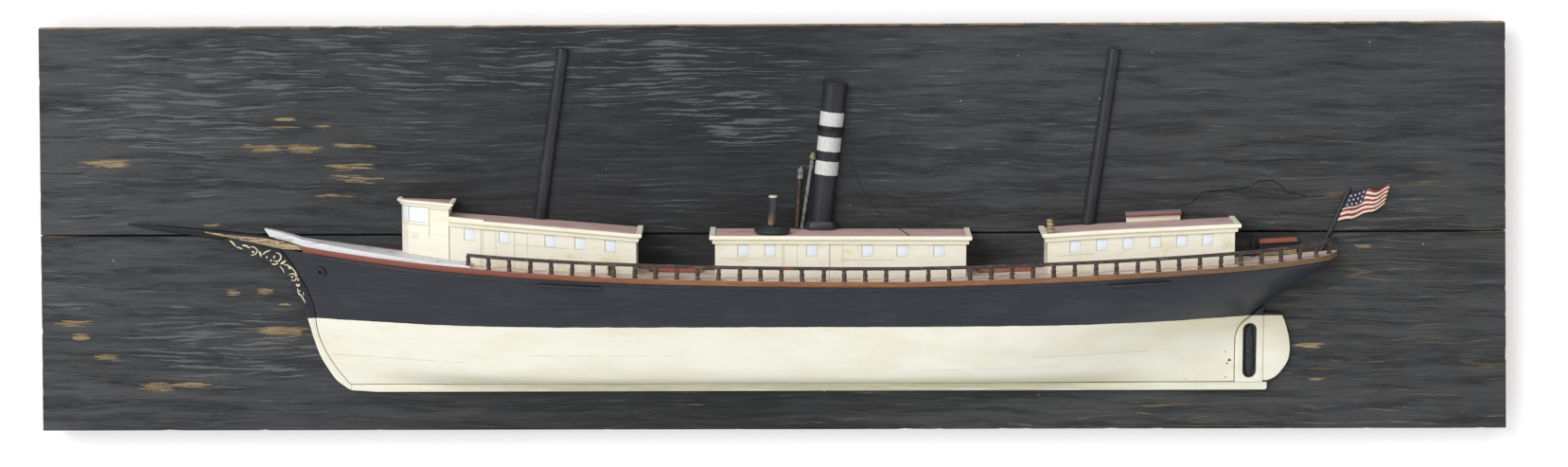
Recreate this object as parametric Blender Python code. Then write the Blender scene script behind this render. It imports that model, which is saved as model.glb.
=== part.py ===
"""Half hull model of a screw steamer on a two-plank backboard.

Metres, +Z up. The board hangs on a wall at Y = 0 and faces -Y, with the bow to -X.
"out" is the distance in front of the board's face, so y = BOARD_FACE - out.
The origin is the middle of the centre batten's back, where it lies on the wall.
"""

import math

import bmesh
import bpy
from mathutils import Vector

# Driving sizes of the backboard: two planks on three battens.
PLANK_THICKNESS = 0.020
BATTEN_THICKNESS = 0.020
BATTEN_WIDTH = 0.060
BATTEN_HEIGHT = 0.400
BATTEN_SPACING = 0.620
BOARD_LEFT = -0.915
BOARD_RIGHT = 0.915
BOARD_TOP = (0.2485, 0.2568)
BOARD_BOTTOM = (-0.2580, -0.2543)
PLANK_SEAM = (-0.0107, -0.0041)
BOARD_SKEW = 0.007
SEAM_GAP = 0.0014
WORN_EDGE = 0.0012
BATTEN_EDGE = 0.0015
BOARD_FACE = -(PLANK_THICKNESS + BATTEN_THICKNESS)

# Glued and touching pieces keep this much air between their meshes, and a cut-out this much round its spar.
# A cutter for such a cut-out is sunk into the board behind.
GAP = 0.0003
CLEARANCE = 0.0004
CUTTER_SUNK = 0.002

# Driving sizes of the ship.
HALF_BEAM = 0.093
HALF_BEAM_WATERLINE = 0.091
HALF_SIDING = 0.0078
STERN_SIDING = 0.0050
WATERLINE = -0.1118
KEEL_TOP = -0.1961
TRIM = 0.0028
KEEL_DEPTH = 0.0094
KEEL_START = -0.5283
KEEL_END = 0.6186
STEM_RAKE_ABOVE = 0.038
STEM_RAKE_BELOW = 0.0435
STEM_AT_WATER = -0.572
FULL_FORWARD = -0.170
FULL_AFT = 0.150
DEADRISE = 0.22
BILGE_ROUNDNESS = 4.0
SHEER_LOW = -0.0627
SHEER_LOW_X = 0.140
SHEER_FORWARD = (0.0727, 2.35)
SHEER_AFT = (0.0660, 1.55)
STERN_TIP = 0.703
STERN_PROFILE = (
    (-0.2200, 0.5785),
    (-0.1386, 0.5785),
    (-0.1254, 0.5824),
    (-0.1171, 0.5893),
    (-0.1100, 0.5985),
    (-0.1035, 0.6050),
    (-0.0828, 0.6340),
    (-0.0613, 0.6680),
    (-0.0410, 0.6990),
    (-0.0300, 0.7030),
)

# Deck and what edges it.
DECK_THICKNESS = 0.0070
DECK_OVERHANG = 0.0012
DECK_START = -0.5855
MOULDING_HEIGHT = 0.0048
MOULDING_PROUD = 0.0014
CHANNEL_HEIGHT = 0.0030
CHANNEL_PROUD = 0.0042
FORE_CHANNEL = (-0.2873, -0.2113)
AFT_CHANNEL = (0.4131, 0.4885)
LIFT_START = -0.6340
LIFT_END = -0.3720
LIFT_HEIGHT_AFT = 0.0030
LIFT_RISE = 0.0068
LIFT_INSET = 0.0006
HEAD_TIP = -0.7084
HEAD_MEETS_DECK = -0.612
HEAD_LIFT = {"start": -0.627, "height": -0.0086, "run": 0.0415}

# Hull mesh: stations along it, and rows below and above the waterline.
HULL_STATIONS = 36
HULL_ROWS_BELOW = 9
HULL_ROWS_ABOVE = 4
MOULDING_SKIP = 4

# Stem, keel, stern frame, rudder and screw.
STEM_FORE_EDGE = (
    (-0.6862, -0.0130),
    (-0.6774, -0.0188),
    (-0.6669, -0.0263),
    (-0.6552, -0.0334),
    (-0.6376, -0.0394),
    (-0.6248, -0.0444),
    (-0.6150, -0.0500),
    (-0.6073, -0.0597),
    (-0.5998, -0.0735),
    (-0.5912, -0.0895),
    (-0.5867, -0.1015),
    (-0.5819, -0.1135),
    (-0.5751, -0.1372),
    (-0.5665, -0.1611),
    (-0.5567, -0.1779),
    (-0.5474, -0.1910),
    (-0.5369, -0.1994),
    (KEEL_START - GAP, -0.2046),
)
STEM_TOP = (-0.6200, -0.6400, -0.6600, -0.6740)
KEEL_FOREFOOT = ((-0.4950, KEEL_TOP + TRIM * -0.4950 - KEEL_DEPTH), (KEEL_START, -0.2048))
KEEL_CORNER = 0.003
FRAME_FRONT = 0.0074
APERTURE = {"left": 0.5879, "right": 0.6053, "low": -0.1890, "high": -0.1195}
RUDDER_HINGE = 0.6135
RUDDER_SET_BACK = 0.0012
RUDDER_OUTLINE = (
    (0.6191, -0.1922),
    (0.6285, -0.1880),
    (0.6378, -0.1784),
    (0.6448, -0.1664),
    (0.6469, -0.1532),
    (0.6454, -0.1364),
    (0.6404, -0.1184),
    (0.6354, -0.1066),
    (RUDDER_HINGE, -0.1066),
    (RUDDER_HINGE, -0.1922),
)
SCREW = {"height": -0.1552, "reach": 0.0318, "half_width": 0.0058, "depth": 0.0034}
SCREW_HUB = {"share": 0.05, "half_width": 0.0066, "depth": 0.0048}
SCREW_STEPS = 16
HAWSE_AT = (-0.5620, -0.0525)
HAWSE_PROFILE = ((0.0030, 0.0), (0.0061, 0.0), (0.0055, 0.0012), (0.0036, 0.0012))
HAWSE_SIDES = 20
HAWSE_CLEAR = 0.0009

# Railing.
RAIL_START = -0.3757
RAIL_HEIGHT = 0.0180
RAIL_DEPTH = 0.0033
RAIL_WIDTH = 0.0046
RAIL_INSET = 0.0042
BALUSTER_FIRST = -0.3745
BALUSTER_PITCH = 0.0257
BALUSTER_COUNT = 43
BALUSTER_SIDES = 6
BALUSTER_PROFILE = ((0.0027, 0.0), (0.0022, 0.62), (0.0028, 1.0))
RAIL_SECTION = (
    (-RAIL_WIDTH / 2, -RAIL_DEPTH),
    (RAIL_WIDTH / 2, -RAIL_DEPTH),
    (RAIL_WIDTH / 2, -0.0008),
    (RAIL_WIDTH / 4, 0.0),
    (-RAIL_WIDTH / 4, 0.0),
    (-RAIL_WIDTH / 2, -0.0008),
)

# Deckhouses. The cornice's section is (distance beyond the wall, height over the roof line).
CORNICE_PROFILE = (
    (0.0003, -0.0103),
    (0.0032, -0.0096),
    (0.0040, -0.0052),
    (0.0068, -0.0044),
    (0.0070, 0.0),
    (0.0003, 0.0),
)
ROOF_THICKNESS = 0.0030
ROOF_RECESS = 0.0016
WINDOW_DEPTH = 0.0010
WINDOW_WIDTH = 0.0112
WINDOW_HEIGHT = 0.0140
WINDOW_DROP = 0.0010
DOOR_WIDTH = 0.0160
DOOR_HEIGHT = 0.0380
DOOR_DEPTH = 0.0006
CUTTER_REACH = 0.004
LEDGE_STEP = 0.0002
LIFT_STEP = (LIFT_END + 0.0001, LIFT_END + 0.0007)

# Each house: its two ends, the wall's distance out and the cornice's top as curves over x, and the middles of
# its windows and doors. A ledge is where the cornice's top is raised, up to an x and by a height.
HOUSES = {
    "forward_house": {
        "ends": (-0.3995, -0.1688),
        "front": ((-0.42, 0.0490), (-0.36, 0.0545), (-0.28, 0.0610), (-0.20, 0.0640), (-0.16, 0.0650)),
        "top": (
            (-0.42, 0.0202),
            (-0.355, 0.0152),
            (-0.307, 0.0118),
            (-0.2526, 0.0077),
            (-0.1944, 0.0029),
            (-0.15, -0.0010),
        ),
        "crown": 0.0020,
        "windows": (-0.3746, -0.3316, -0.2747, -0.2376, -0.2005),
        "doors": (-0.3500, -0.3110),
        "joins_left": True,
        "ledge": (-0.3560, 0.0018),
        "extra_stations": LIFT_STEP,
    },
    "mid_house": {
        "ends": (-0.0713, 0.2380),
        "front": ((-0.1, 0.0660), (0.3, 0.0660)),
        "top": ((-0.1, -0.0014), (0.3, -0.0022)),
        "crown": 0.0020,
        "windows": (-0.0368, -0.0036, 0.0477, 0.1162, 0.1593, 0.2047),
        "doors": (0.0221, 0.0783),
    },
    "aft_house": {
        "ends": (0.3385, 0.5688),
        "front": ((0.3, 0.0660), (0.6, 0.0660)),
        "top": (
            (0.30, -0.0015),
            (0.3333, 0.0007),
            (0.388, 0.0045),
            (0.4462, 0.0077),
            (0.5043, 0.0103),
            (0.60, 0.0152),
        ),
        "crown": 0.0010,
        "windows": (0.3723, 0.4050, 0.4376, 0.4705, 0.5037, 0.5355),
        "doors": (),
    },
}
PILOTHOUSE_PLAN = ((-0.4615, GAP), (-0.4615, 0.0150), (-0.4530, 0.0270), (-0.4005, 0.0500), (-0.4005, GAP))
PILOTHOUSE_TOP = 0.0386
PILOTHOUSE_SLOPE = -0.034
PILOTHOUSE_WINDOW_HEIGHT = 0.0180
# The pilothouse's two windows: both ends of their walls in plan, and the share of the wall left at each side.
PILOTHOUSE_WINDOWS = (
    ((-0.4615, 0.0150), (-0.4530, 0.0270), 0.14),
    ((-0.4530, 0.0270), (-0.4275, 0.0382), 0.05),
)

# Deck and roof fittings, as lathe profiles of (radius, height) and places of (x, out).
HATCHES = {"hatch_fore": -0.1538, "hatch_aft": 0.2550}
HATCH_LENGTH = 0.0658
HATCH_DEPTH = 0.033
HATCH_HEIGHT = 0.0048
LID_EDGE = 0.0008
BITT_AT = (-0.2010, 0.0770)
BITT_PROFILE = (
    (0.0026, 0.0),
    (0.0022, 0.0012),
    (0.0018, 0.0060),
    (0.0024, 0.0078),
    (0.0024, 0.0105),
    (0.0014, 0.0120),
)
BINNACLE_AT = (0.5990, 0.0065)
BINNACLE_PROFILE = (
    (0.0032, 0.0),
    (0.0026, 0.0020),
    (0.0017, 0.0090),
    (0.0033, 0.0150),
    (0.0033, 0.0190),
    (0.0014, 0.0212),
    (0.0017, 0.0235),
    (0.0008, 0.0252),
)
LOCKER = (0.6060, 0.6530)
LOCKER_MIDDLE = 0.6295
LOCKER_SLOPE = 0.06
# The stern locker's layers: bottom, top and depth.
LOCKER_LAYERS = {
    "plinth": (0.0008, 0.0062, 0.0105),
    "case": (0.0065, 0.0158, 0.0075),
    "lid": (0.0161, 0.0210, 0.0135),
}
SKYLIGHT = {"left": 0.4405, "right": 0.5075, "depth": 0.0072, "height": 0.0066}
SKYLIGHT_LID = {"overhang": 0.0012, "bottom": 0.0069, "front": 0.0030, "back": 0.0060, "depth": 0.0105}
STUB_AT = (0.3440, 0.0585)
STUB_PROFILE = ((0.0044, 0.0), (0.0043, 0.0080), (0.0038, 0.0150), (0.0030, 0.0172))
STUB_LEAN = -0.20
STUB_CLEAR = 0.0012
SAUCER_AT = (-0.0010, 0.0425)
SAUCER_PROFILE = ((0.0190, 0.0), (0.0222, 0.0030), (0.0224, 0.0048), (0.0070, 0.0086), (0.0070, 0.0088))
VENT_PROFILE = ((0.0052, 0.0), (0.0052, 0.0360), (0.0050, 0.0370))
VENT_LEAN = 0.03
VENT_CLEAR = 0.0010

# Spars and fittings.
SPAR_SIDES = 14
FOREMAST = {"foot": (-0.2915, 0.0090), "head": (-0.2606, 0.2234), "radii": (0.0083, 0.0074)}
MAINMAST = {"foot": (0.3930, 0.0050), "head": (0.4237, 0.2234), "radii": (0.0083, 0.0075)}
BOWSPRIT_TIP = (-0.8052, 0.0038)
BOWSPRIT_HEEL = (-0.6125, -0.0183)
BOWSPRIT_RADII = ((0.0, 0.0010), (0.14, 0.0030), (0.40, 0.0051), (0.68, 0.0062), (1.0, 0.0064))
FUNNEL_FOOT = (0.0596, 0.0060)
FUNNEL_HEAD = (0.0777, 0.1822)
FUNNEL_RADIUS = 0.0149
FUNNEL_RIM = 0.0026
COLLAR_PROFILE = ((0.0196, 0.0), (0.0198, 0.0056), (0.0164, 0.0104))
COLLAR_PLAN = ((-1.0, 0.0), (-1.0, 0.50), (-0.72, 0.98), (0.72, 0.98), (1.0, 0.50), (1.0, 0.0))
FUNNEL_SIDES = 18
STRAP_UP_FUNNEL = 0.1160
STRAP_WIDTH = 0.0062
STRAP_THICKNESS = 0.0012
STEAM_PIPE = {
    "foot": (0.0360, 0.0032),
    "head": (0.0485, 0.0845),
    "radii": ((0.0025, 0.0), (0.0025, 0.98), (0.0021, 1.0)),
}
GALLEY_PIPE = {
    "foot": (0.0298, 0.0032),
    "head": (0.0330, 0.0605),
    "radii": ((0.0029, 0.0), (0.0027, 0.98), (0.0024, 1.0)),
}
WHISTLE_AT = (0.0487, 0.0042, 0.0850)
WHISTLE_LEAN = 0.14
WHISTLE_PROFILE = (
    (0.0016, 0.0),
    (0.0038, 0.0018),
    (0.0040, 0.0050),
    (0.0026, 0.0068),
    (0.0030, 0.0085),
    (0.0012, 0.0098),
)
LANTERN_AT = (0.0334, 0.0044, 0.0611)
LANTERN_LEAN = 0.08
LANTERN_PROFILE = (
    (0.0020, 0.0),
    (0.0040, 0.0012),
    (0.0034, 0.0030),
    (0.0034, 0.0098),
    (0.0042, 0.0104),
    (0.0010, 0.0150),
    (0.0006, 0.0160),
)
FLAGSTAFF_FOOT = (0.6905, -0.0150)
FLAGSTAFF_HEAD = (0.7195, 0.0508)
FLAGSTAFF_RADII = ((0.0, 0.0030), (0.6, 0.0029), (1.0, 0.0022))
FLAG_CORNERS = {
    "hoist_top": (0.7163, 0.0420),
    "fly_top": (0.7674, 0.0541),
    "hoist_low": (0.7026, 0.0090),
    "fly_low": (0.7609, 0.0291),
}
FLAG_THICKNESS = 0.0016
FLAG_WAVE = 0.0014
FLAG_OUT = 0.0026
FLAG_CLEAR = 0.0016
FLAG_CELLS = (14, 5)
CHAIN_THICKNESS = 0.0014
CHAIN_STEPS = 36
CHAIN_ROUTE = (
    (0.0858, 0.0140, 0.1165),
    (0.0901, 0.0215, 0.1001),
    (0.0977, 0.0271, 0.0845),
    (0.1054, 0.0337, 0.0650),
    (0.1140, 0.0396, 0.0468),
    (0.1241, 0.0448, 0.0325),
    (0.1345, 0.0496, 0.0212),
    (0.1456, 0.0540, 0.0122),
    (0.1554, 0.0575, 0.0058),
    (0.1635, 0.0602, 0.0012),
    (0.1678, 0.0620, -0.0019),
)


def trim(x):
    """The model hangs a little down by the bow."""
    return TRIM * x


def sheer(x):
    """Height of the hull's top edge."""
    rise, power = SHEER_FORWARD if x < SHEER_LOW_X else SHEER_AFT
    return SHEER_LOW + rise * abs(x - SHEER_LOW_X) ** power


def deck_top(x):
    return sheer(x) + GAP + DECK_THICKNESS


def along(points, value):
    """Smooth curve through (key, result) points, read at a key."""
    last = len(points) - 2
    i = 0
    while i < last and value > points[i + 1][0]:
        i += 1
    (k1, r1), (k2, r2) = points[i], points[i + 1]
    before = points[max(i - 1, 0)]
    after = points[min(i + 2, last + 1)]
    t = min(max((value - k1) / (k2 - k1), 0.0), 1.0)
    slope1 = (r2 - before[1]) / (k2 - before[0])
    slope2 = (after[1] - r1) / (after[0] - k1)
    span = k2 - k1
    a = slope1 * span - (r2 - r1)
    b = -slope2 * span + (r2 - r1)
    return r1 + t * (r2 - r1) + t * (1 - t) * (a * (1 - t) + b * t)


def stem_x(z):
    """Where the planking ends on the stem, at a height."""
    water = WATERLINE + trim(STEM_AT_WATER)
    if z > water:
        return STEM_AT_WATER - STEM_RAKE_ABOVE * ((z - water) / 0.081) ** 1.65
    return STEM_AT_WATER + STEM_RAKE_BELOW * ((water - z) / 0.085) ** 1.8


def stern_x(z):
    """Where the planking ends aft, at a height: the stern frame, then the counter."""
    return along(STERN_PROFILE, z)


def mix3(level, keel, water, deck):
    """Blend of three values, for a level of 0 at the keel, 1 at the waterline and 2 at the deck."""
    if level < 1:
        return keel + (water - keel) * level
    return water + (deck - water) * (level - 1)


def hull_half(x, z):
    """Half breadth of the hull at a place along it and a height."""
    keel = KEEL_TOP + trim(x)
    water = WATERLINE + trim(x)
    if z < water:
        level = max((z - keel) / (water - keel), 0.0)
        rise = level * (water - keel) / (HALF_BEAM_WATERLINE * DEADRISE)
        fullness = rise / (1 + rise**BILGE_ROUNDNESS) ** (1 / BILGE_ROUNDNESS)
    else:
        level = 1 + min((z - water) / (sheer(x) - water), 1.0)
        fullness = 1.0
    bow = stem_x(z)
    stern = stern_x(z)
    forward = min(max((x - bow) / (FULL_FORWARD - bow), 0.0), 1.0)
    aft = min(max((stern - x) / (stern - FULL_AFT), 0.0), 1.0)
    entrance = 1 - (1 - forward ** mix3(level, 1.7, 1.25, 1.0)) ** mix3(level, 3.6, 3.2, 2.8)
    run = 1 - (1 - aft ** mix3(level, 2.4, 1.1, 1.0)) ** mix3(level, 3.0, 3.2, 6.0)
    run = run ** (1 / mix3(level, 1.0, 1.0, 2.0))
    siding = HALF_SIDING + (STERN_SIDING - HALF_SIDING) * (1 - aft)
    beam = mix3(level, HALF_BEAM_WATERLINE, HALF_BEAM_WATERLINE, HALF_BEAM)
    return siding + (beam - siding) * fullness * entrance * run


def deck_half(x):
    """Half breadth of the deck's edge."""
    return hull_half(min(x, STERN_TIP), sheer(x))


def spaced(start, end, count, even=0.35):
    """Stations that crowd towards both ends."""
    result = []
    for i in range(count + 1):
        u = i / count
        s = even * u + (1 - even) * (1 - math.cos(math.pi * u)) / 2
        result.append(start + (end - start) * s)
    return result


def place(x, out, z):
    return Vector((x, BOARD_FACE - out, z))


def paint(name, colour, roughness=0.55, metallic=0.0):
    material = bpy.data.materials.get(name)
    if material is None:
        material = bpy.data.materials.new(name)
        material.use_nodes = True
        shader = material.node_tree.nodes["Principled BSDF"]
        shader.inputs["Base Color"].default_value = (*colour, 1.0)
        shader.inputs["Roughness"].default_value = roughness
        shader.inputs["Metallic"].default_value = metallic
    return material


BOARD_PAINT = ("worn_slate_paint", (0.050, 0.054, 0.058), 0.6)
BATTEN_WOOD = ("bare_pine", (0.36, 0.24, 0.14), 0.7)
BLACK_PAINT = ("blue_black_paint", (0.050, 0.053, 0.064), 0.45)
CREAM_PAINT = ("cream_paint", (0.83, 0.81, 0.70), 0.5)
WHITE_PAINT = ("worn_white_paint", (0.72, 0.72, 0.70), 0.6)
BARE_WOOD = ("bare_old_wood", (0.36, 0.26, 0.14), 0.65)
DECK_BROWN = ("worn_brown_paint", (0.26, 0.11, 0.055), 0.6)
RAIL_BROWN = ("dark_brown_paint", (0.065, 0.040, 0.034), 0.5)
ROOF_RED = ("dusty_red_paint", (0.27, 0.14, 0.13), 0.6)
LID_ORANGE = ("red_oxide_paint", (0.38, 0.12, 0.065), 0.6)
PIPE_GREY = ("grey_metal", (0.22, 0.22, 0.22), 0.5)
IRON = ("old_iron", (0.05, 0.045, 0.04), 0.5, 0.8)
FLAG_RED = ("flag_red_paint", (0.45, 0.06, 0.04), 0.6)


def add_piece(name, mesh_points, mesh_faces, finish, smooth=None):
    """One named solid, with its faces turned outwards."""
    mesh = bpy.data.meshes.new(name)
    mesh.from_pydata(mesh_points, [], mesh_faces)
    work = bmesh.new()
    work.from_mesh(mesh)
    bmesh.ops.recalc_face_normals(work, faces=work.faces)
    work.to_mesh(mesh)
    work.free()
    mesh.materials.append(paint(*finish))
    piece = bpy.data.objects.new(name, mesh)
    bpy.context.scene.collection.objects.link(piece)
    piece.parent = bpy.data.objects["half_hull_model"]
    if smooth is not None:
        mesh.shade_smooth()
        mesh.set_sharp_from_angle(angle=math.radians(smooth))
    return piece


def ring_grid(rings):
    """Points and faces of a closed solid through rings of equal length, capped at both ends."""
    size = len(rings[0])
    points = [point for ring in rings for point in ring]
    faces = []
    for row in range(len(rings) - 1):
        for k in range(size):
            nearer = row * size + k
            other = row * size + (k + 1) % size
            faces.append((nearer, other, other + size, nearer + size))
    faces.append(tuple(range(size)))
    faces.append(tuple(range(len(points) - size, len(points))))
    return points, faces


def joined(solids):
    """Several closed solids as one list of points and one of faces."""
    points, faces = [], []
    for more_points, more_faces in solids:
        faces += [tuple(index + len(points) for index in face) for face in more_faces]
        points += more_points
    return points, faces


def between(start, end, share):
    """A point on the line between two."""
    return tuple(a + (b - a) * share for a, b in zip(start, end))


def half_slab(name, stations, front, low, high, finish, back=GAP):
    """A layer from the board out to front(x), between the heights low(x, out) and high(x, out)."""
    rings = []
    for x in stations:
        far = front(x)
        ends = ((back, low(x, back)), (far, low(x, far)), (far, high(x, far)), (back, high(x, back)))
        rings.append([place(x, out, z) for out, z in ends])
    return add_piece(name, *ring_grid(rings), finish)


def offset_path(path, distance):
    """The plan path moved outwards by a distance, with mitred corners."""
    result = []
    for i, (x, out) in enumerate(path):
        before = path[max(i - 1, 0)]
        after = path[min(i + 1, len(path) - 1)]
        normals = []
        for a, b in ((before, (x, out)), ((x, out), after)):
            dx, dy = b[0] - a[0], b[1] - a[1]
            length = math.hypot(dx, dy)
            if length > 0:
                normals.append((-dy / length, dx / length))
        nx = sum(n[0] for n in normals)
        ny = sum(n[1] for n in normals)
        length = math.hypot(nx, ny)
        nx, ny = nx / length, ny / length
        stretch = 1 / max(nx * normals[0][0] + ny * normals[0][1], 0.3)
        result.append((x + nx * distance * stretch, out + ny * distance * stretch))
    return result


def sweep(path, profile, height, ledge=None):
    """A moulding: a profile of (offset, z) run along a plan path on top of height(x, out).

    A ledge, as (x, rise), lifts the moulding's top edge up to that x.
    """
    rows = [(offset_path(path, offset), dz) for offset, dz in profile]
    rings = []
    for i, (x, out) in enumerate(path):
        base = height(x, out)
        lift = ledge[1] if ledge and x < ledge[0] else 0.0
        corners = [(row[i], base + dz + lift * (dz == 0)) for row, dz in rows]
        rings.append([place(at[0], max(at[1], GAP), z) for at, z in corners])
    return ring_grid(rings)


def plate(name, outline, back, front, finish, bevel=0.0):
    """A flat piece: an outline of (x, z) points cut from a board, lying from back to front."""
    rings = [[place(x, out, z) for x, z in outline] for out in (back, front)]
    piece = add_piece(name, *ring_grid(rings), finish)
    if bevel:
        round_edges(piece, bevel)
    return piece


def round_edges(piece, width, segments=1, angle=40):
    modifier = piece.modifiers.new("rounded_edges", "BEVEL")
    modifier.width = width
    modifier.segments = segments
    modifier.limit_method = "ANGLE"
    modifier.angle_limit = math.radians(angle)


def cut_with(piece, cutter):
    """Cuts one piece to clear another, and hides the cutter."""
    cutter.hide_render = True
    cutter.display_type = "WIRE"
    modifier = piece.modifiers.new("cut_by_" + cutter.name, "BOOLEAN")
    modifier.operation = "DIFFERENCE"
    modifier.object = cutter


def half_round(name, foot, head, radii, finish, grow=0.0, sunk=0.0, sides=SPAR_SIDES, seat=None):
    """A D-shaped spar with its flat on the board, from foot to head.

    radii are (fraction of the length, radius). A seat is the height, at (x, out), of what the foot stands on.
    A cutter is grown by its clearance, and sunk into the board behind.
    """
    length = math.dist(foot, head)
    lean = math.atan2(head[0] - foot[0], head[1] - foot[1])
    rings = []
    for fraction, radius in radii:
        wide = radius + grow
        ring = []
        for k in range(sides + 1):
            across = wide * math.cos(math.pi * k / sides)
            out = GAP + wide * math.sin(math.pi * k / sides)
            height = length * fraction
            if seat and fraction == 0:
                rise = seat(foot[0] + across, out) + GAP - foot[1]
                height = (rise + across * math.sin(lean)) / math.cos(lean)
            ring.append(Vector((across, -out, height)))
        if sunk:
            ring.insert(0, Vector((ring[0].x, sunk, ring[0].z)))
            ring.append(Vector((ring[-1].x, sunk, ring[-1].z)))
        rings.append(ring)
    spar = add_piece(name, *ring_grid(rings), finish, smooth=40)
    spar.location = (foot[0], BOARD_FACE, foot[1])
    spar.rotation_euler = (0, lean, 0)
    return spar


def turned(name, profile, finish, sides=12, lean=0.0, at=(0, 0, 0)):
    """A lathe-turned piece from (radius, z) points, standing at a place and leaning in the board's plane."""
    spins = [2 * math.pi * k / sides for k in range(sides)]
    rings = [[Vector((r * math.cos(a), r * math.sin(a), z)) for a in spins] for r, z in profile]
    piece = add_piece(name, *ring_grid(rings), finish, smooth=40)
    piece.location = place(*at)
    piece.rotation_euler = (0, lean, 0)
    return piece


def start_scene():
    for old in list(bpy.data.objects):
        bpy.data.objects.remove(old)
    root = bpy.data.objects.new("half_hull_model", None)
    bpy.context.scene.collection.objects.link(root)


def build_backboard():
    low_left = BOARD_LEFT - BOARD_SKEW / 2
    low_right = BOARD_RIGHT + BOARD_SKEW
    high_left = BOARD_LEFT + BOARD_SKEW / 2
    high_right = BOARD_RIGHT - BOARD_SKEW
    half_gap = SEAM_GAP / 2
    upper = [
        (high_left, BOARD_TOP[0]),
        (high_right, BOARD_TOP[1]),
        (BOARD_RIGHT, PLANK_SEAM[1] + half_gap),
        (BOARD_LEFT, PLANK_SEAM[0] + half_gap),
    ]
    lower = [
        (BOARD_LEFT, PLANK_SEAM[0] - half_gap),
        (BOARD_RIGHT, PLANK_SEAM[1] - half_gap),
        (low_right, BOARD_BOTTOM[1]),
        (low_left, BOARD_BOTTOM[0]),
    ]
    for name, outline in (("upper_plank", upper), ("lower_plank", lower)):
        plate(name, outline, -PLANK_THICKNESS + GAP, 0.0, BOARD_PAINT, bevel=WORN_EDGE)
    for name, step in (("batten_left", -1), ("batten_middle", 0), ("batten_right", 1)):
        x = step * BATTEN_SPACING
        sides = (x - BATTEN_WIDTH / 2, x + BATTEN_WIDTH / 2)
        ends = (-BATTEN_HEIGHT / 2, BATTEN_HEIGHT / 2)
        outline = [(sides[0], ends[0]), (sides[1], ends[0]), (sides[1], ends[1]), (sides[0], ends[1])]
        plate(name, outline, BOARD_FACE, -PLANK_THICKNESS, BATTEN_WOOD, bevel=BATTEN_EDGE)


def hull_rows():
    """Height functions of the hull's rows, from the keel to the deck, with one on the waterline."""
    rows = []
    for j in range(HULL_ROWS_BELOW):
        part = (j / HULL_ROWS_BELOW) ** 1.7
        rows.append(lambda x, p=part: KEEL_TOP + GAP + trim(x) + (WATERLINE - KEEL_TOP - GAP) * p)
    for j in range(HULL_ROWS_ABOVE):
        part = j / HULL_ROWS_ABOVE
        rows.append(lambda x, p=part: (WATERLINE + trim(x)) * (1 - p) + (sheer(x) - MOULDING_HEIGHT) * p)
    rows.append(lambda x: sheer(x) - MOULDING_HEIGHT)
    rows.append(sheer)
    return rows


def hull_row_points(row):
    """One row of the hull's skin, from the stem to the stern."""
    bow, stern = -0.57, 0.6
    for _ in range(12):
        bow = stem_x(row(bow))
        stern = stern_x(row(stern))
    return [(x, hull_half(x, row(x)), row(x)) for x in spaced(bow, stern, HULL_STATIONS)]


def hull_ends(end):
    """The hull's outline at its stem (end 0) or its stern (end -1), from the keel up, as (x, z)."""
    return [(skin_row[end][0], skin_row[end][2]) for skin_row in map(hull_row_points, hull_rows())]


def build_hull():
    skin = [hull_row_points(row) for row in hull_rows()]
    size = HULL_STATIONS + 1
    points = [place(*point) for row in skin for point in row]
    faces = []
    for j in range(len(skin) - 1):
        for i in range(HULL_STATIONS):
            corner = j * size + i
            faces.append((corner, corner + 1, corner + 1 + size, corner + size))
    top = (len(skin) - 1) * size
    border = list(range(size))
    border += [j * size + HULL_STATIONS for j in range(1, len(skin))]
    border += [top + i for i in range(HULL_STATIONS - 1, -1, -1)]
    border += [j * size for j in range(len(skin) - 2, 0, -1)]
    flat = []
    for index in border:
        point = points[index]
        flat.append(len(points))
        points.append(Vector((point.x, BOARD_FACE - GAP, point.z)))
    for k in range(len(border)):
        following = (k + 1) % len(border)
        faces.append((border[k], border[following], flat[following], flat[k]))
    faces.append(tuple(flat))
    piece = add_piece("hull", points, faces, CREAM_PAINT, smooth=50)
    piece.data.materials.append(paint(*BLACK_PAINT))
    for face in piece.data.polygons:
        if face.center.z > WATERLINE + trim(face.center.x):
            face.material_index = 1


def build_stem():
    """The cutwater: its fore edge sweeps up to the knee of the head."""
    seam = [(KEEL_START - GAP, KEEL_TOP + trim(KEEL_START))]
    seam += [(x - GAP, z) for x, z in hull_ends(0)]
    top = [(x, wedge_low(x) - GAP) for x in STEM_TOP]
    piece = plate("stem", list(STEM_FORE_EDGE) + seam + top, GAP, HALF_SIDING, BLACK_PAINT)
    piece.data.materials.append(paint(*CREAM_PAINT))
    return piece


def build_keel():
    top_right = KEEL_TOP + trim(KEEL_END)
    centre_x = KEEL_END - KEEL_CORNER
    centre_z = top_right - KEEL_DEPTH + KEEL_CORNER
    outline = [(KEEL_START, KEEL_TOP + trim(KEEL_START)), (KEEL_END, top_right)]
    for step in range(4):
        angle = math.pi / 2 * step / 3
        outline.append((centre_x + KEEL_CORNER * math.cos(angle), centre_z - KEEL_CORNER * math.sin(angle)))
    plate("keel", outline + list(KEEL_FOREFOOT), GAP, HALF_SIDING, CREAM_PAINT)


def stadium(left, right, low, high, steps=7):
    """An upright slot with round ends."""
    radius = (right - left) / 2
    middle = (left + right) / 2
    outline = []
    for centre, start in ((high - radius, 0.0), (low + radius, math.pi)):
        for k in range(steps + 1):
            angle = start + math.pi * k / steps
            outline.append((middle + radius * math.cos(angle), centre + radius * math.sin(angle)))
    return outline


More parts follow.
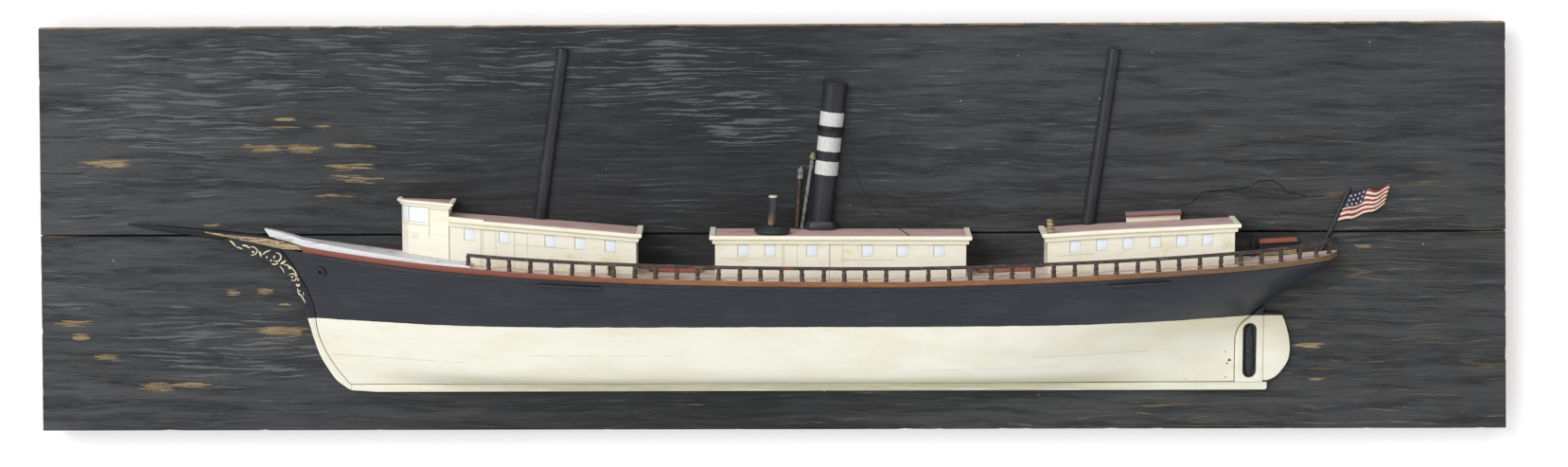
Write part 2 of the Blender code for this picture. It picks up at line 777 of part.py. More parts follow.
def build_stern():
    keel_line = KEEL_TOP + trim(0.6) + GAP
    post = RUDDER_HINGE - GAP
    ends = hull_ends(-1)
    inside = [end for end in ends if end[0] < post]
    (x1, z1), (x2, z2) = inside[-1], ends[len(inside)]
    under_counter = (post, z1 + (z2 - z1) * (post - x1) / (x2 - x1))
    seam = [(x + GAP, z - GAP) for x, z in inside + [under_counter]]
    outline = [(seam[0][0], keel_line)] + seam[1:-1] + [(post, seam[-1][1]), (post, keel_line)]
    frame = plate("stern_frame", outline, GAP, FRAME_FRONT, CREAM_PAINT)
    frame.data.materials.append(paint(*BLACK_PAINT))
    cut_with(frame, plate("aperture_cutter", stadium(**APERTURE), -FRAME_FRONT, 2 * FRAME_FRONT, CREAM_PAINT))

    rudder = plate("rudder", RUDDER_OUTLINE, GAP, FRAME_FRONT - RUDDER_SET_BACK, CREAM_PAINT)
    rudder.data.materials.append(paint(*BLACK_PAINT))
    build_propeller()


def build_propeller():
    """A two-bladed screw, edge on, in the aperture: long blades either side of a ringed hub."""
    middle = (APERTURE["left"] + APERTURE["right"]) / 2
    rings = []
    for step in range(SCREW_STEPS + 1):
        along_blade = -1 + 2 * step / SCREW_STEPS
        at_hub = abs(along_blade) < SCREW_HUB["share"]
        rounded = math.sqrt(max(1 - abs(along_blade) ** 3.5, 0.02))
        wide = SCREW_HUB["half_width"] if at_hub else SCREW["half_width"] * rounded
        deep = SCREW_HUB["depth"] if at_hub else SCREW["depth"]
        z = SCREW["height"] + SCREW["reach"] * along_blade
        angles = [math.pi * k / 6 for k in range(7)]
        rings.append([place(middle + wide * math.cos(a), GAP + deep * math.sin(a), z) for a in angles])
    add_piece("propeller", *ring_grid(rings), BLACK_PAINT, smooth=40)


def build_deck():
    stations = spaced(DECK_START, STERN_TIP + DECK_OVERHANG, 36)
    half_slab(
        "deck",
        stations,
        lambda x: deck_half(min(x, STERN_TIP)) + DECK_OVERHANG,
        lambda x, out: sheer(x) + GAP,
        lambda x, out: deck_top(x),
        DECK_BROWN,
    )
    build_sheer_moulding()
    for name, (left, right) in (("channel_fore", FORE_CHANNEL), ("channel_aft", AFT_CHANNEL)):
        rings = []
        for x in (left + (right - left) * k / 6 for k in range(7)):
            high = sheer(x) - MOULDING_HEIGHT - GAP
            low = high - CHANNEL_HEIGHT
            side = hull_half(x, high) + 2 * GAP
            ends = ((0.0, high), (CHANNEL_PROUD, high), (0.7 * CHANNEL_PROUD, low), (0.0, low))
            rings.append([place(x, side + out, z) for out, z in ends])
        add_piece(name, *ring_grid(rings), BLACK_PAINT)


def build_sheer_moulding():
    """The black strip under the deck's edge, on the hull's two top rows."""
    lower = hull_row_points(lambda x: sheer(x) - MOULDING_HEIGHT)
    upper = hull_row_points(sheer)
    rings = []
    for low, high in zip(lower[MOULDING_SKIP:-1], upper[MOULDING_SKIP:-1]):
        ends = ((low, GAP), (low, MOULDING_PROUD), (high, MOULDING_PROUD), (high, GAP))
        rings.append([place(x, out + proud, z) for (x, out, z), proud in ends])
    add_piece("sheer_moulding", *ring_grid(rings), BLACK_PAINT)


def lift_height(x):
    """Thickness of the raised foredeck, which tapers aft."""
    part = max((LIFT_END - x) / (LIFT_END - LIFT_START), 0.0)
    return LIFT_HEIGHT_AFT + LIFT_RISE * part**1.3


def wedge_low(x):
    """Underside of the head rail."""
    return along(((HEAD_TIP, -0.0056), (-0.6696, -0.0135), (-0.6285, -0.0218), (-0.6100, -0.0253)), x)


def wedge_high(x):
    """Top of the head rail."""
    return along(((HEAD_TIP, -0.0043), (-0.6696, -0.0094), (-0.6201, -0.0144), (-0.5860, -0.0214)), x)


def bow_half(x):
    """Plan outline of the head, ahead of the deck."""
    plan = ((HEAD_TIP, 0.0068), (-0.6600, 0.0092), (-0.6100, 0.0152), (DECK_START, deck_half(DECK_START)))
    return along(plan, x)


def build_bow(stem):
    half_round("bowsprit", BOWSPRIT_TIP, BOWSPRIT_HEEL, BOWSPRIT_RADII, BLACK_PAINT)
    beyond_heel = (BOWSPRIT_HEEL[0] + 0.0040, BOWSPRIT_HEEL[1] - 0.0004)
    spar = (BOWSPRIT_TIP, beyond_heel, BOWSPRIT_RADII)
    clearance = half_round("bowsprit_clearance", *spar, BLACK_PAINT, grow=CLEARANCE, sunk=CUTTER_SUNK)

    head_stations = [HEAD_TIP + (DECK_START - GAP - HEAD_TIP) * k / 12 for k in range(13)]
    head = half_slab(
        "head_rail",
        head_stations,
        lambda x: bow_half(x) + DECK_OVERHANG,
        lambda x, out: max(wedge_low(x), sheer(x) + GAP) if x > HEAD_MEETS_DECK else wedge_low(x),
        lambda x, out: wedge_high(x),
        BARE_WOOD,
    )
    lift_stations = [LIFT_START + (LIFT_END - LIFT_START) * (k / 16) ** 1.2 for k in range(17)]
    lift = half_slab(
        "raised_foredeck",
        lift_stations,
        lambda x: (bow_half(x) if x < DECK_START else deck_half(x)) - LIFT_INSET,
        lambda x, out: lift_bottom(x),
        lambda x, out: lift_top(x),
        WHITE_PAINT,
    )
    for piece in (stem, head, lift):
        cut_with(piece, clearance)


def lift_bottom(x):
    """Underside of the raised foredeck: on the deck, and forward of it on the head rail."""
    if x > DECK_START:
        return deck_top(x) + GAP
    rise = deck_top(DECK_START) + GAP - HEAD_LIFT["height"]
    ramp = HEAD_LIFT["height"] + (x - HEAD_LIFT["start"]) * rise / HEAD_LIFT["run"]
    return max(wedge_high(x) + GAP, ramp)


def lift_top(x):
    return lift_bottom(x) + lift_height(x)


def house_front(house, x):
    return along(house["front"], x)


def house_top(house, x):
    return along(house["top"], x)


def crown(house, x, out):
    """How much a house's roof rises from its front edge towards the board."""
    return house["crown"] * (1 - min(out / house_front(house, x), 1.0) ** 2)


def house_floor(x):
    return (lift_top(x) if x < LIFT_END + GAP else deck_top(x)) + GAP


def wall_top(house, x):
    return house_top(house, x) - ROOF_RECESS - ROOF_THICKNESS - 2 * GAP


def build_walls(name, house, stations):
    """Walls with shallow windows and doors sunk into them."""
    walls = half_slab(
        name + "_walls",
        stations,
        lambda x: house_front(house, x),
        lambda x, out: house_floor(x),
        lambda x, out: wall_top(house, x) + crown(house, x, out),
        CREAM_PAINT,
    )
    openings = [(x, WINDOW_WIDTH, WINDOW_HEIGHT, WINDOW_DEPTH) for x in house["windows"]]
    openings += [(x, DOOR_WIDTH, DOOR_HEIGHT, DOOR_DEPTH) for x in house["doors"]]
    boxes = []
    for x, width, height, depth in openings:
        high = house_top(house, x) + CORNICE_PROFILE[0][1] - WINDOW_DROP
        half = width / 2
        slope = (house_front(house, x + half) - house_front(house, x - half)) / 2
        rings = []
        for side, lean in ((-half, -slope), (half, slope)):
            wall = house_front(house, x) + lean
            fall = house_top(house, x + side) - house_top(house, x)
            inner, outer = wall - depth, wall + CUTTER_REACH
            ends = ((inner, high - height), (outer, high - height), (outer, high), (inner, high))
            rings.append([place(x + side, out, z + fall) for out, z in ends])
        boxes.append(ring_grid(rings))
    cut_with(walls, add_piece(name + "_openings", *joined(boxes), CREAM_PAINT))


def build_house(name, house):
    """Walls, a moulded cornice on the open sides, and the roof inside it."""
    left, right = house["ends"]
    extra = house.get("extra_stations", ())
    plain = [left + (right - left) * k / 10 for k in range(11)]
    plain = [x for x in plain if all(abs(x - e) > 0.004 for e in extra)]
    build_walls(name, house, sorted(plain + list(extra)))

    ledge = house.get("ledge")
    turns = sorted(plain + [ledge[0] - LEDGE_STEP, ledge[0] + LEDGE_STEP]) if ledge else plain
    path = [(x, house_front(house, x)) for x in turns] + [(right, GAP)]
    if not house.get("joins_left"):
        path.insert(0, (left, GAP))
    level = lambda x, out: house_top(house, x) + crown(house, x, out)
    add_piece(name + "_cornice", *sweep(path, CORNICE_PROFILE, level, ledge), CREAM_PAINT)
    half_slab(
        name + "_roof",
        plain,
        lambda x: house_front(house, x),
        lambda x, out: wall_top(house, x) + crown(house, x, out) + GAP,
        lambda x, out: house_top(house, x) - ROOF_RECESS + crown(house, x, out),
        ROOF_RED,
    )


def pilothouse_top(x):
    return PILOTHOUSE_TOP + PILOTHOUSE_SLOPE * (x - PILOTHOUSE_PLAN[0][0])


def plan_prism(name, plan, low, high, finish):
    rings = [[place(x, out, height(x)) for x, out in plan] for height in (low, high)]
    return add_piece(name, *ring_grid(rings), finish)


def build_pilothouse():
    plan = list(PILOTHOUSE_PLAN)
    roof_bottom = lambda x: pilothouse_top(x) - ROOF_RECESS - ROOF_THICKNESS
    dense = plan[:3] + [between(plan[2], plan[3], k / 6) for k in range(1, 6)] + plan[3:]
    floor = lambda x: lift_top(x) + GAP
    walls = plan_prism("pilothouse_walls", dense, floor, lambda x: roof_bottom(x) - GAP, CREAM_PAINT)
    boxes = []
    for start, end, inset in PILOTHOUSE_WINDOWS:
        length = math.dist(start, end)
        normal = (-(end[1] - start[1]) / length, (end[0] - start[0]) / length)
        rings = []
        for share in (inset, 1 - inset):
            x, out = between(start, end, share)
            high = pilothouse_top(x) + CORNICE_PROFILE[0][1] - WINDOW_DROP
            low = high - PILOTHOUSE_WINDOW_HEIGHT
            ends = ((-WINDOW_DEPTH, low), (CUTTER_REACH, low), (CUTTER_REACH, high), (-WINDOW_DEPTH, high))
            rings.append([place(x + normal[0] * off, out + normal[1] * off, z) for off, z in ends])
        boxes.append(ring_grid(rings))
    cut_with(walls, add_piece("pilothouse_openings", *joined(boxes), CREAM_PAINT))
    cornice = sweep(plan, CORNICE_PROFILE, lambda x, out: pilothouse_top(x))
    add_piece("pilothouse_cornice", *cornice, CREAM_PAINT)
    plan_prism("pilothouse_roof", plan, roof_bottom, lambda x: pilothouse_top(x) - ROOF_RECESS, ROOF_RED)


def box(name, ends, depth, low, high, finish, bevel=0.0):
    """A block on the board between two x values, out to a depth; low and high are functions of x."""
    piece = half_slab(name, ends, lambda x: depth, lambda x, out: low(x), lambda x, out: high(x), finish)
    if bevel:
        round_edges(piece, bevel)
    return piece


def build_deck_fittings():
    for name, left in HATCHES.items():
        ends = [left + HATCH_LENGTH * share for share in (0.0, 0.5, 1.0)]
        low = lambda x: deck_top(x) + GAP
        high = lambda x: deck_top(x) + HATCH_HEIGHT
        box(name, ends, HATCH_DEPTH, low, high, LID_ORANGE, bevel=LID_EDGE)
    for name, profile, (x, out), finish in (
        ("bitt", BITT_PROFILE, BITT_AT, DECK_BROWN),
        ("binnacle", BINNACLE_PROFILE, BINNACLE_AT, IRON),
    ):
        turned(name, profile, finish, at=(x, out, deck_top(x) + GAP))
    finishes = {"plinth": BARE_WOOD, "case": BLACK_PAINT, "lid": LID_ORANGE}
    line = lambda x, rise: deck_top(LOCKER_MIDDLE) + rise + LOCKER_SLOPE * (x - LOCKER_MIDDLE)
    for layer, (low, high, depth) in LOCKER_LAYERS.items():
        box(
            "stern_locker_" + layer,
            LOCKER,
            depth,
            lambda x, rise=low: line(x, rise),
            lambda x, rise=high: line(x, rise),
            finishes[layer],
            bevel=LID_EDGE if layer == "lid" else 0.0,
        )


def roof_surface(name, x, out):
    """Height of a deckhouse roof at a place."""
    house = HOUSES[name]
    return house_top(house, x) - ROOF_RECESS + crown(house, x, out)


def build_roof_fittings():
    left, right, depth = SKYLIGHT["left"], SKYLIGHT["right"], SKYLIGHT["depth"]
    seat = lambda x: max(roof_surface("aft_house", x, out) for out in (GAP, depth - 0.0002)) + GAP
    box("skylight", (left, right), depth, seat, lambda x: seat(x) + SKYLIGHT["height"], WHITE_PAINT)
    lid = SKYLIGHT_LID
    rings = []
    for x in (left - lid["overhang"], right + lid["overhang"]):
        low = seat(x) + lid["bottom"]
        ends = ((GAP, low), (lid["depth"], low), (lid["depth"], low + lid["front"]), (GAP, low + lid["back"]))
        rings.append([place(x, out, z) for out, z in ends])
    add_piece("skylight_lid", *ring_grid(rings), LID_ORANGE)

    x, out = STUB_AT
    foot = roof_surface("aft_house", x, out - STUB_PROFILE[0][0]) + STUB_CLEAR
    turned("stove_stub", STUB_PROFILE, BARE_WOOD, lean=STUB_LEAN, at=(x, out, foot))
    x, out = SAUCER_AT
    foot = roof_surface("mid_house", x, out) + 2 * GAP
    saucer = turned("ventilator_base", SAUCER_PROFILE, IRON, sides=24, at=(x, out, foot))
    house = HOUSES["mid_house"]
    saucer.rotation_euler.x = math.atan(2 * house["crown"] * out / house_front(house, x) ** 2)
    foot += SAUCER_PROFILE[-1][1] + VENT_CLEAR
    turned("ventilator_pipe", VENT_PROFILE, BLACK_PAINT, sides=16, lean=VENT_LEAN, at=(x, out, foot))


def build_spars():
    for name, house, mast in (("foremast", "forward_house", FOREMAST), ("mainmast", "aft_house", MAINMAST)):
        radii = ((0.0, mast["radii"][0]), (0.5, sum(mast["radii"]) / 2), (1.0, mast["radii"][1]))
        roof = lambda x, out, name=house: roof_surface(name, x, out)
        half_round(name, mast["foot"], mast["head"], radii, BLACK_PAINT, seat=roof)
    stern_top = lambda x, out: deck_top(min(x, STERN_TIP)) + 2 * GAP
    staff = (FLAGSTAFF_FOOT, FLAGSTAFF_HEAD, FLAGSTAFF_RADII)
    half_round("flagstaff", *staff, BLACK_PAINT, sides=8, seat=stern_top)


def funnel_rake():
    return math.atan2(FUNNEL_HEAD[0] - FUNNEL_FOOT[0], FUNNEL_HEAD[1] - FUNNEL_FOOT[1])


def build_funnel():
    rim = 1 - FUNNEL_RIM / math.dist(FUNNEL_FOOT, FUNNEL_HEAD)
    flare = FUNNEL_RADIUS + 0.0008
    radii = ((0.0, FUNNEL_RADIUS - 0.0006), (rim, FUNNEL_RADIUS), (rim, flare), (1.0, flare))
    roof = lambda x, out: roof_surface("mid_house", x, out)
    half_round("funnel", FUNNEL_FOOT, FUNNEL_HEAD, radii, BLACK_PAINT, sides=FUNNEL_SIDES, seat=roof)
    rings = []
    for spread, rise in COLLAR_PROFILE:
        plan = [(FUNNEL_FOOT[0] + x * spread, GAP + out * spread) for x, out in COLLAR_PLAN]
        rings.append([place(x, out, roof(x, out) + GAP + rise) for x, out in plan])
    base = add_piece("funnel_base", *ring_grid(rings), IRON)
    below = (FUNNEL_FOOT[0] - 0.0010, FUNNEL_FOOT[1] - 0.0100)
    spar = (below, FUNNEL_HEAD, ((0.0, FUNNEL_RADIUS), (1.0, FUNNEL_RADIUS)))
    hole = half_round("funnel_clearance", *spar, IRON, grow=CLEARANCE, sunk=CUTTER_SUNK, sides=FUNNEL_SIDES)
    cut_with(base, hole)
    build_strap()


def build_strap():
    """A flat iron strap bent half round the funnel."""
    inner = FUNNEL_RADIUS + CLEARANCE
    outer = inner + STRAP_THICKNESS
    section = ((inner, 0.0), (outer, 0.0), (outer, STRAP_WIDTH), (inner, STRAP_WIDTH))
    rings = []
    for k in range(FUNNEL_SIDES + 1):
        angle = math.pi * k / FUNNEL_SIDES
        rings.append([Vector((r * math.cos(angle), -GAP - r * math.sin(angle), z)) for r, z in section])
    strap = add_piece("funnel_strap", *ring_grid(rings), IRON, smooth=40)
    rake = funnel_rake()
    x = FUNNEL_FOOT[0] + math.sin(rake) * STRAP_UP_FUNNEL
    z = FUNNEL_FOOT[1] + math.cos(rake) * STRAP_UP_FUNNEL
    strap.location = place(x, 0.0, z)
    strap.rotation_euler = (0, rake, 0)


def build_pipes():
    seat = roof_surface("mid_house", STEAM_PIPE["foot"][0], 0.0) + GAP + CLEARANCE
    pipes = (("steam_pipe", STEAM_PIPE, PIPE_GREY), ("galley_pipe", GALLEY_PIPE, DECK_BROWN))
    for name, pipe, finish in pipes:
        foot, head = (*pipe["foot"], seat), pipe["head"]
        length = math.dist((foot[0], foot[2]), head)
        lean = math.atan2(head[0] - foot[0], head[1] - foot[2])
        profile = [(radius, fraction * length) for radius, fraction in pipe["radii"]]
        turned(name, profile, finish, lean=lean, at=foot)
    turned("steam_whistle", WHISTLE_PROFILE, IRON, lean=WHISTLE_LEAN, at=WHISTLE_AT)
    turned("pipe_lantern", LANTERN_PROFILE, PIPE_GREY, lean=LANTERN_LEAN, at=LANTERN_AT)


def rail_path():
    """Plan path of the railing, from the raised foredeck round the stern to the board."""
    tip = STERN_TIP + DECK_OVERHANG - RAIL_INSET
    path = []
    for x in spaced(RAIL_START, tip, 30, even=0.5):
        path.append((x, deck_half(min(x + RAIL_INSET * 0.6, STERN_TIP)) + DECK_OVERHANG - RAIL_INSET))
    path[-1] = (tip, STERN_SIDING + 0.001)
    path.append((tip + 0.0008, GAP))
    return path


def along_path(path, distance):
    """The point that lies a distance along a plan path."""
    for a, b in zip(path, path[1:]):
        step = math.dist(a, b)
        if distance <= step:
            return between(a, b, distance / step)
        distance -= step
    return path[-1]


def build_railing():
    path = rail_path()
    rail_height = lambda x, out: deck_top(min(x, STERN_TIP)) + RAIL_HEIGHT
    rail = add_piece("railing", *sweep(path, RAIL_SECTION, rail_height), RAIL_BROWN)
    spins = [2 * math.pi * (k + 0.5) / BALUSTER_SIDES for k in range(BALUSTER_SIDES)]
    posts = []
    for number in range(BALUSTER_COUNT):
        x, out = along_path(path, BALUSTER_FIRST - RAIL_START + BALUSTER_PITCH * number)
        on_lift = x < LIFT_END + 0.004
        foot = (lift_top(LIFT_END - 0.003) if on_lift else deck_top(x)) + GAP
        tall = deck_top(x) + RAIL_HEIGHT - RAIL_DEPTH / 2 - foot
        rings = []
        for radius, share in BALUSTER_PROFILE:
            z = foot + tall * share
            rings.append([place(x + radius * math.cos(a), out + radius * math.sin(a), z) for a in spins])
        posts.append(ring_grid(rings))
    balusters = add_piece("balusters", *joined(posts), RAIL_BROWN)
    balusters.hide_render = True
    balusters.display_type = "WIRE"
    join = rail.modifiers.new("balusters", "BOOLEAN")
    join.operation = "UNION"
    join.object = balusters


def flag_point(u, v):
    """A point of the carved flag: u along the fly, v up the hoist. It hangs in soft upright folds."""
    corners = FLAG_CORNERS
    low = between(corners["hoist_low"], corners["fly_low"], u)
    high = between(corners["hoist_top"], corners["fly_top"], u)
    sag = -0.0038 * math.sin(math.pi * u) * (1 - v) + 0.0020 * math.sin(2 * math.pi * u) * v
    x, z = between(low, high, v)
    out = FLAG_OUT + FLAG_WAVE * math.sin(2 * math.pi * (1.6 * u + 0.25 * v)) * min(1.0, 4 * u)
    return x + FLAG_CLEAR, out, z + sag


def build_flag():
    across, up = FLAG_CELLS
    points, faces = [], []
    for front in (0, 1):
        for i in range(across + 1):
            for j in range(up + 1):
                x, out, z = flag_point(i / across, j / up)
                points.append(place(x, out + front * FLAG_THICKNESS, z))
    size = (across + 1) * (up + 1)
    number = lambda i, j, front: front * size + i * (up + 1) + j
    for i in range(across):
        for j in range(up):
            corners = ((i, j), (i + 1, j), (i + 1, j + 1), (i, j + 1))
            for front in (0, 1):
                faces.append(tuple(number(a, b, front) for a, b in corners))
    border = [(i, 0) for i in range(across)] + [(across, j) for j in range(up)]
    border += [(i, up) for i in range(across, 0, -1)] + [(0, j) for j in range(up, 0, -1)]
    for (a, b), (c, d) in zip(border, border[1:] + border[:1]):
        faces.append((number(a, b, 0), number(c, d, 0), number(c, d, 1), number(a, b, 1)))
    add_piece("flag", points, faces, FLAG_RED, smooth=50)


def build_hawse_ring():
    """A turned ring standing on the bow's skin."""
    x, z = HAWSE_AT
    out = hull_half(x, z)
    step = 0.004
    slope_x = (hull_half(x + step, z) - hull_half(x - step, z)) / (2 * step)
    slope_z = (hull_half(x, z + step) - hull_half(x, z - step)) / (2 * step)
    normal = Vector((-slope_x, -1.0, -slope_z)).normalized()
    points, faces = [], []
    size = len(HAWSE_PROFILE)
    for k in range(HAWSE_SIDES):
        angle = 2 * math.pi * k / HAWSE_SIDES
        for radius, rise in HAWSE_PROFILE:
            points.append(Vector((radius * math.cos(angle), radius * math.sin(angle), rise)))
    for k in range(HAWSE_SIDES):
        here, beside = k * size, (k + 1) % HAWSE_SIDES * size
        for m in range(size):
            after = (m + 1) % size
            faces.append((here + m, here + after, beside + after, beside + m))
    ring = add_piece("hawse_ring", points, faces, BLACK_PAINT, smooth=40)
    ring.location = place(x, out, z) + normal * HAWSE_CLEAR
    ring.rotation_euler = normal.to_track_quat("Z", "Y").to_euler()


def smooth_route(route, count):
    """Points at equal parameter steps of a smooth curve through the route."""
    keyed = [[(i, point[axis]) for i, point in enumerate(route)] for axis in range(3)]
    last = len(route) - 1
    return [[along(axis, last * k / (count - 1)) for axis in keyed] for k in range(count)]


def build_chain():
    """The guy chain from the funnel's strap to the roof's edge, as a plain tube."""
    curve = bpy.data.curves.new("guy_chain", "CURVE")
    curve.dimensions = "3D"
    curve.bevel_depth = CHAIN_THICKNESS / 2
    curve.bevel_resolution = 2
    curve.use_fill_caps = True
    route = smooth_route(CHAIN_ROUTE, CHAIN_STEPS)
    spline = curve.splines.new("POLY")
    spline.points.add(len(route) - 1)
    for point, (x, out, z) in zip(spline.points, route):
        point.co = (*place(x, out, z), 1.0)
    curve.materials.append(paint(*IRON))
    chain = bpy.data.objects.new("guy_chain", curve)
    bpy.context.scene.collection.objects.link(chain)
    chain.parent = bpy.data.objects["half_hull_model"]


def main():
    start_scene()
    build_backboard()
    build_hull()
    stem = build_stem()
    build_keel()
    build_stern()
    build_deck()
    build_bow(stem)
    build_pilothouse()
    for name, house in HOUSES.items():
        build_house(name, house)
    build_deck_fittings()
    build_roof_fittings()
    build_spars()
    build_funnel()
    build_pipes()
    build_railing()
    build_flag()
    build_hawse_ring()
    build_chain()


main()
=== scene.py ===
"""Looks of the ship half hull model: its paint, wood and fine relief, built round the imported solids.

Metres, +Z up, with the bow to -X. The board hangs on a wall at Y = 0 and faces -Y. "out" is the distance
in front of the board's face, so y = BOARD_FACE - out. Every mesh holds its place in its own points.
"""

import math
from functools import partial

import bmesh
import bpy
import numpy as np
from bpy.props import FloatProperty, FloatVectorProperty, IntProperty, PointerProperty
from mathutils import Matrix, Vector, noise


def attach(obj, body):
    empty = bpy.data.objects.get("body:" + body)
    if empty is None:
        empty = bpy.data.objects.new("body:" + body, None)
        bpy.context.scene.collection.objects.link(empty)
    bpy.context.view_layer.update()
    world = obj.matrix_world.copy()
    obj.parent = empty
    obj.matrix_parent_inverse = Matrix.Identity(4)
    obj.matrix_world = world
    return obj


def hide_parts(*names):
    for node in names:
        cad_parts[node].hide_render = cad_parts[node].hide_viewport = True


bl_info = {
    "name": "Ship half hull model",
    "version": (1, 0, 0),
    "blender": (4, 5, 0),
    "location": "View3D > Sidebar > Half hull",
    "description": "Builds the painted half hull of a steamer on its plank backboard",
    "category": "Add Mesh",
}

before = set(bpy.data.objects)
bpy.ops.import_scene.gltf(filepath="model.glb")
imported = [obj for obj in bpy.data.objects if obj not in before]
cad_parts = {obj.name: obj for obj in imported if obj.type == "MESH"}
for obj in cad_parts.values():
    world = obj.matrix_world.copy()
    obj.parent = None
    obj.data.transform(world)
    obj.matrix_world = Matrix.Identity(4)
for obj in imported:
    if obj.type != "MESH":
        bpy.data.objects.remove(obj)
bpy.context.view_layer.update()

MM = 0.001

# Backboard: two planks on three battens.
PLANK_THICKNESS = 0.020
BATTEN_THICKNESS = 0.020
BOARD_LEFT = -0.915
BOARD_RIGHT = 0.915
BOARD_TOP = (0.2485, 0.2568)
BOARD_BOTTOM = (-0.2580, -0.2543)
PLANK_SEAM = (-0.0107, -0.0041)
BOARD_SKEW = 0.007
BOARD_FACE = -(PLANK_THICKNESS + BATTEN_THICKNESS)
GAP = 0.0003
CLEARANCE = 0.0004

# Hull lines.
HALF_BEAM = 0.093
HALF_BEAM_WATERLINE = 0.091
HALF_SIDING = 0.0078
STERN_SIDING = 0.0050
WATERLINE = -0.1118
KEEL_TOP = -0.1961
TRIM = 0.0028
KEEL_DEPTH = 0.0094
KEEL_START = -0.5283
KEEL_END = 0.6186
STEM_RAKE_ABOVE = 0.038
STEM_RAKE_BELOW = 0.0435
STEM_AT_WATER = -0.572
FULL_FORWARD = -0.170
FULL_AFT = 0.150
DEADRISE = 0.22
BILGE_ROUNDNESS = 4.0
SHEER_LOW = -0.0627
SHEER_LOW_X = 0.140
SHEER_FORWARD = (0.0727, 2.35)
SHEER_AFT = (0.0660, 1.55)
STERN_TIP = 0.703
STERN_PROFILE = (
    (-0.2200, 0.5785),
    (-0.1386, 0.5785),
    (-0.1254, 0.5824),
    (-0.1171, 0.5893),
    (-0.1100, 0.5985),
    (-0.1035, 0.6050),
    (-0.0828, 0.6340),
    (-0.0613, 0.6680),
    (-0.0410, 0.6990),
    (-0.0300, 0.7030),
)

# Deck and what edges it.
DECK_THICKNESS = 0.0070
DECK_OVERHANG = 0.0012
DECK_START = -0.5855
MOULDING_HEIGHT = 0.0048
MOULDING_PROUD = 0.0014
CHANNEL_HEIGHT = 0.0030
CHANNEL_PROUD = 0.0042
FORE_CHANNEL = (-0.2873, -0.2113)
AFT_CHANNEL = (0.4131, 0.4885)
LIFT_START = -0.6340
LIFT_END = -0.3720
LIFT_HEIGHT_AFT = 0.0030
LIFT_RISE = 0.0068
HEAD_TIP = -0.7084

# Railing.
RAIL_START = -0.3757
RAIL_HEIGHT = 0.0180
RAIL_INSET = 0.0042
BALUSTER_FIRST = -0.3745

# Deckhouses.
ROOF_THICKNESS = 0.0030
ROOF_RECESS = 0.0016
CROWN = 0.0020
CORNICE_LOW = -0.0103
WINDOW_DROP = 0.0010

# Spars and fittings.
FOREMAST = {"foot": (-0.2915, 0.0090), "head": (-0.2606, 0.2234), "radii": (0.0083, 0.0074)}
MAINMAST = {"foot": (0.3930, 0.0050), "head": (0.4237, 0.2234), "radii": (0.0083, 0.0075)}
BOWSPRIT_TIP = (-0.8052, 0.0038)
BOWSPRIT_HEEL = (-0.6125, -0.0183)
BOWSPRIT_RADII = ((0.0, 0.0010), (0.14, 0.0030), (0.40, 0.0051), (0.68, 0.0062), (1.0, 0.0064))
FUNNEL_FOOT = (0.0596, 0.0060)
FUNNEL_HEAD = (0.0777, 0.1822)
FUNNEL_RADIUS = 0.0149
FUNNEL_RIM = 0.0026
FLAGSTAFF_FOOT = (0.6905, -0.0150)
FLAGSTAFF_HEAD = (0.7195, 0.0508)


def linear(text):
    """An sRGB hex value as linear red, green and blue."""
    parts = [int(text[i : i + 2], 16) / 255 for i in (1, 3, 5)]
    return tuple(p / 12.92 if p <= 0.04045 else ((p + 0.055) / 1.055) ** 2.4 for p in parts)


def colour(name, description, text):
    return FloatVectorProperty(
        name=name, description=description, subtype="COLOR", size=3, min=0.0, max=1.0, default=linear(text)
    )


def length(name, description, default):
    return FloatProperty(
        name=name, description=description, default=default, min=0.0, precision=5, unit="LENGTH"
    )


class BoardSettings(bpy.types.PropertyGroup):
    ridge: colour("Worn ridges", "Grey of the rubbed grain ridges", "#606265")
    hollow: colour("Hollows", "Darkest tone of the paint in the grain", "#1f2022")
    ring: colour("Late wood", "Tan lines of late wood through the paint", "#6e604a")
    wood: colour("Bare board", "Old softwood where the paint has gone", "#9c8b69")
    pine: colour("Batten pine", "Bare pine of the battens behind", "#a98a5f")
    relief: length("Grain relief", "Depth of the weathered grain", 0.0003)
    chipping: length("Edge chips", "How far chips eat into the edges", 0.0011)
    seam: length("Plank seam", "Open joint between the planks", 0.0014)


class HullSettings(bpy.types.PropertyGroup):
    topsides: colour("Topsides", "Blue-black oil paint above the waterline", "#292b32")
    bottom: colour("Bottom", "Cream-white oil paint below the waterline", "#e6e5d8")
    soil: colour("Soiling", "Yellowed varnish and dust on the bottom", "#c8bd93")
    scroll: colour("Scrollwork", "Old gilding of the bow ornament", "#ece3c0")
    seam: length("Seams", "Half of the open joints round the hull block", 0.0008)
    waver: length("Paint edge waver", "How far the hand-cut waterline strays", 0.0004)
    stations: IntProperty(
        name="Stations", description="Sections along the hull", default=200, min=24, max=400
    )


class HouseSettings(bpy.types.PropertyGroup):
    wall: colour("House cream", "Oil paint of the deckhouse walls", "#ede7d2")
    joint_soil_and_shade: colour("Creases", "Olive soiling in the joints and round the panes", "#918b68")
    # Joints and window recesses take this olive: soiling with painted shade.
    stain: colour("Yellowing", "Yellowed paint under the mouldings", "#d8d09c")
    pane: colour("Panes", "Pale blue paint of the windows", "#eef4fa")
    # This tone is yellowing in patches, and painted shade on faces that look down, under the mouldings.
    roof: colour("Roof", "Dusty red-brown roof paint", "#c4a39d")
    roof_fresh: colour("Roof runs", "Deeper red where the roof is less dusty", "#b2494a")
    window_width: length("Window width", "Width of a window", 0.0136)
    window_height: length("Window height", "Height of a window", 0.0146)
    window_depth: length("Window depth", "How deep a window is sunk", 0.0014)
    door_width: length("Door width", "Width of a door panel", 0.0160)
    groove: length("Panel joint", "Width of the joints between wall panels", 0.0006)


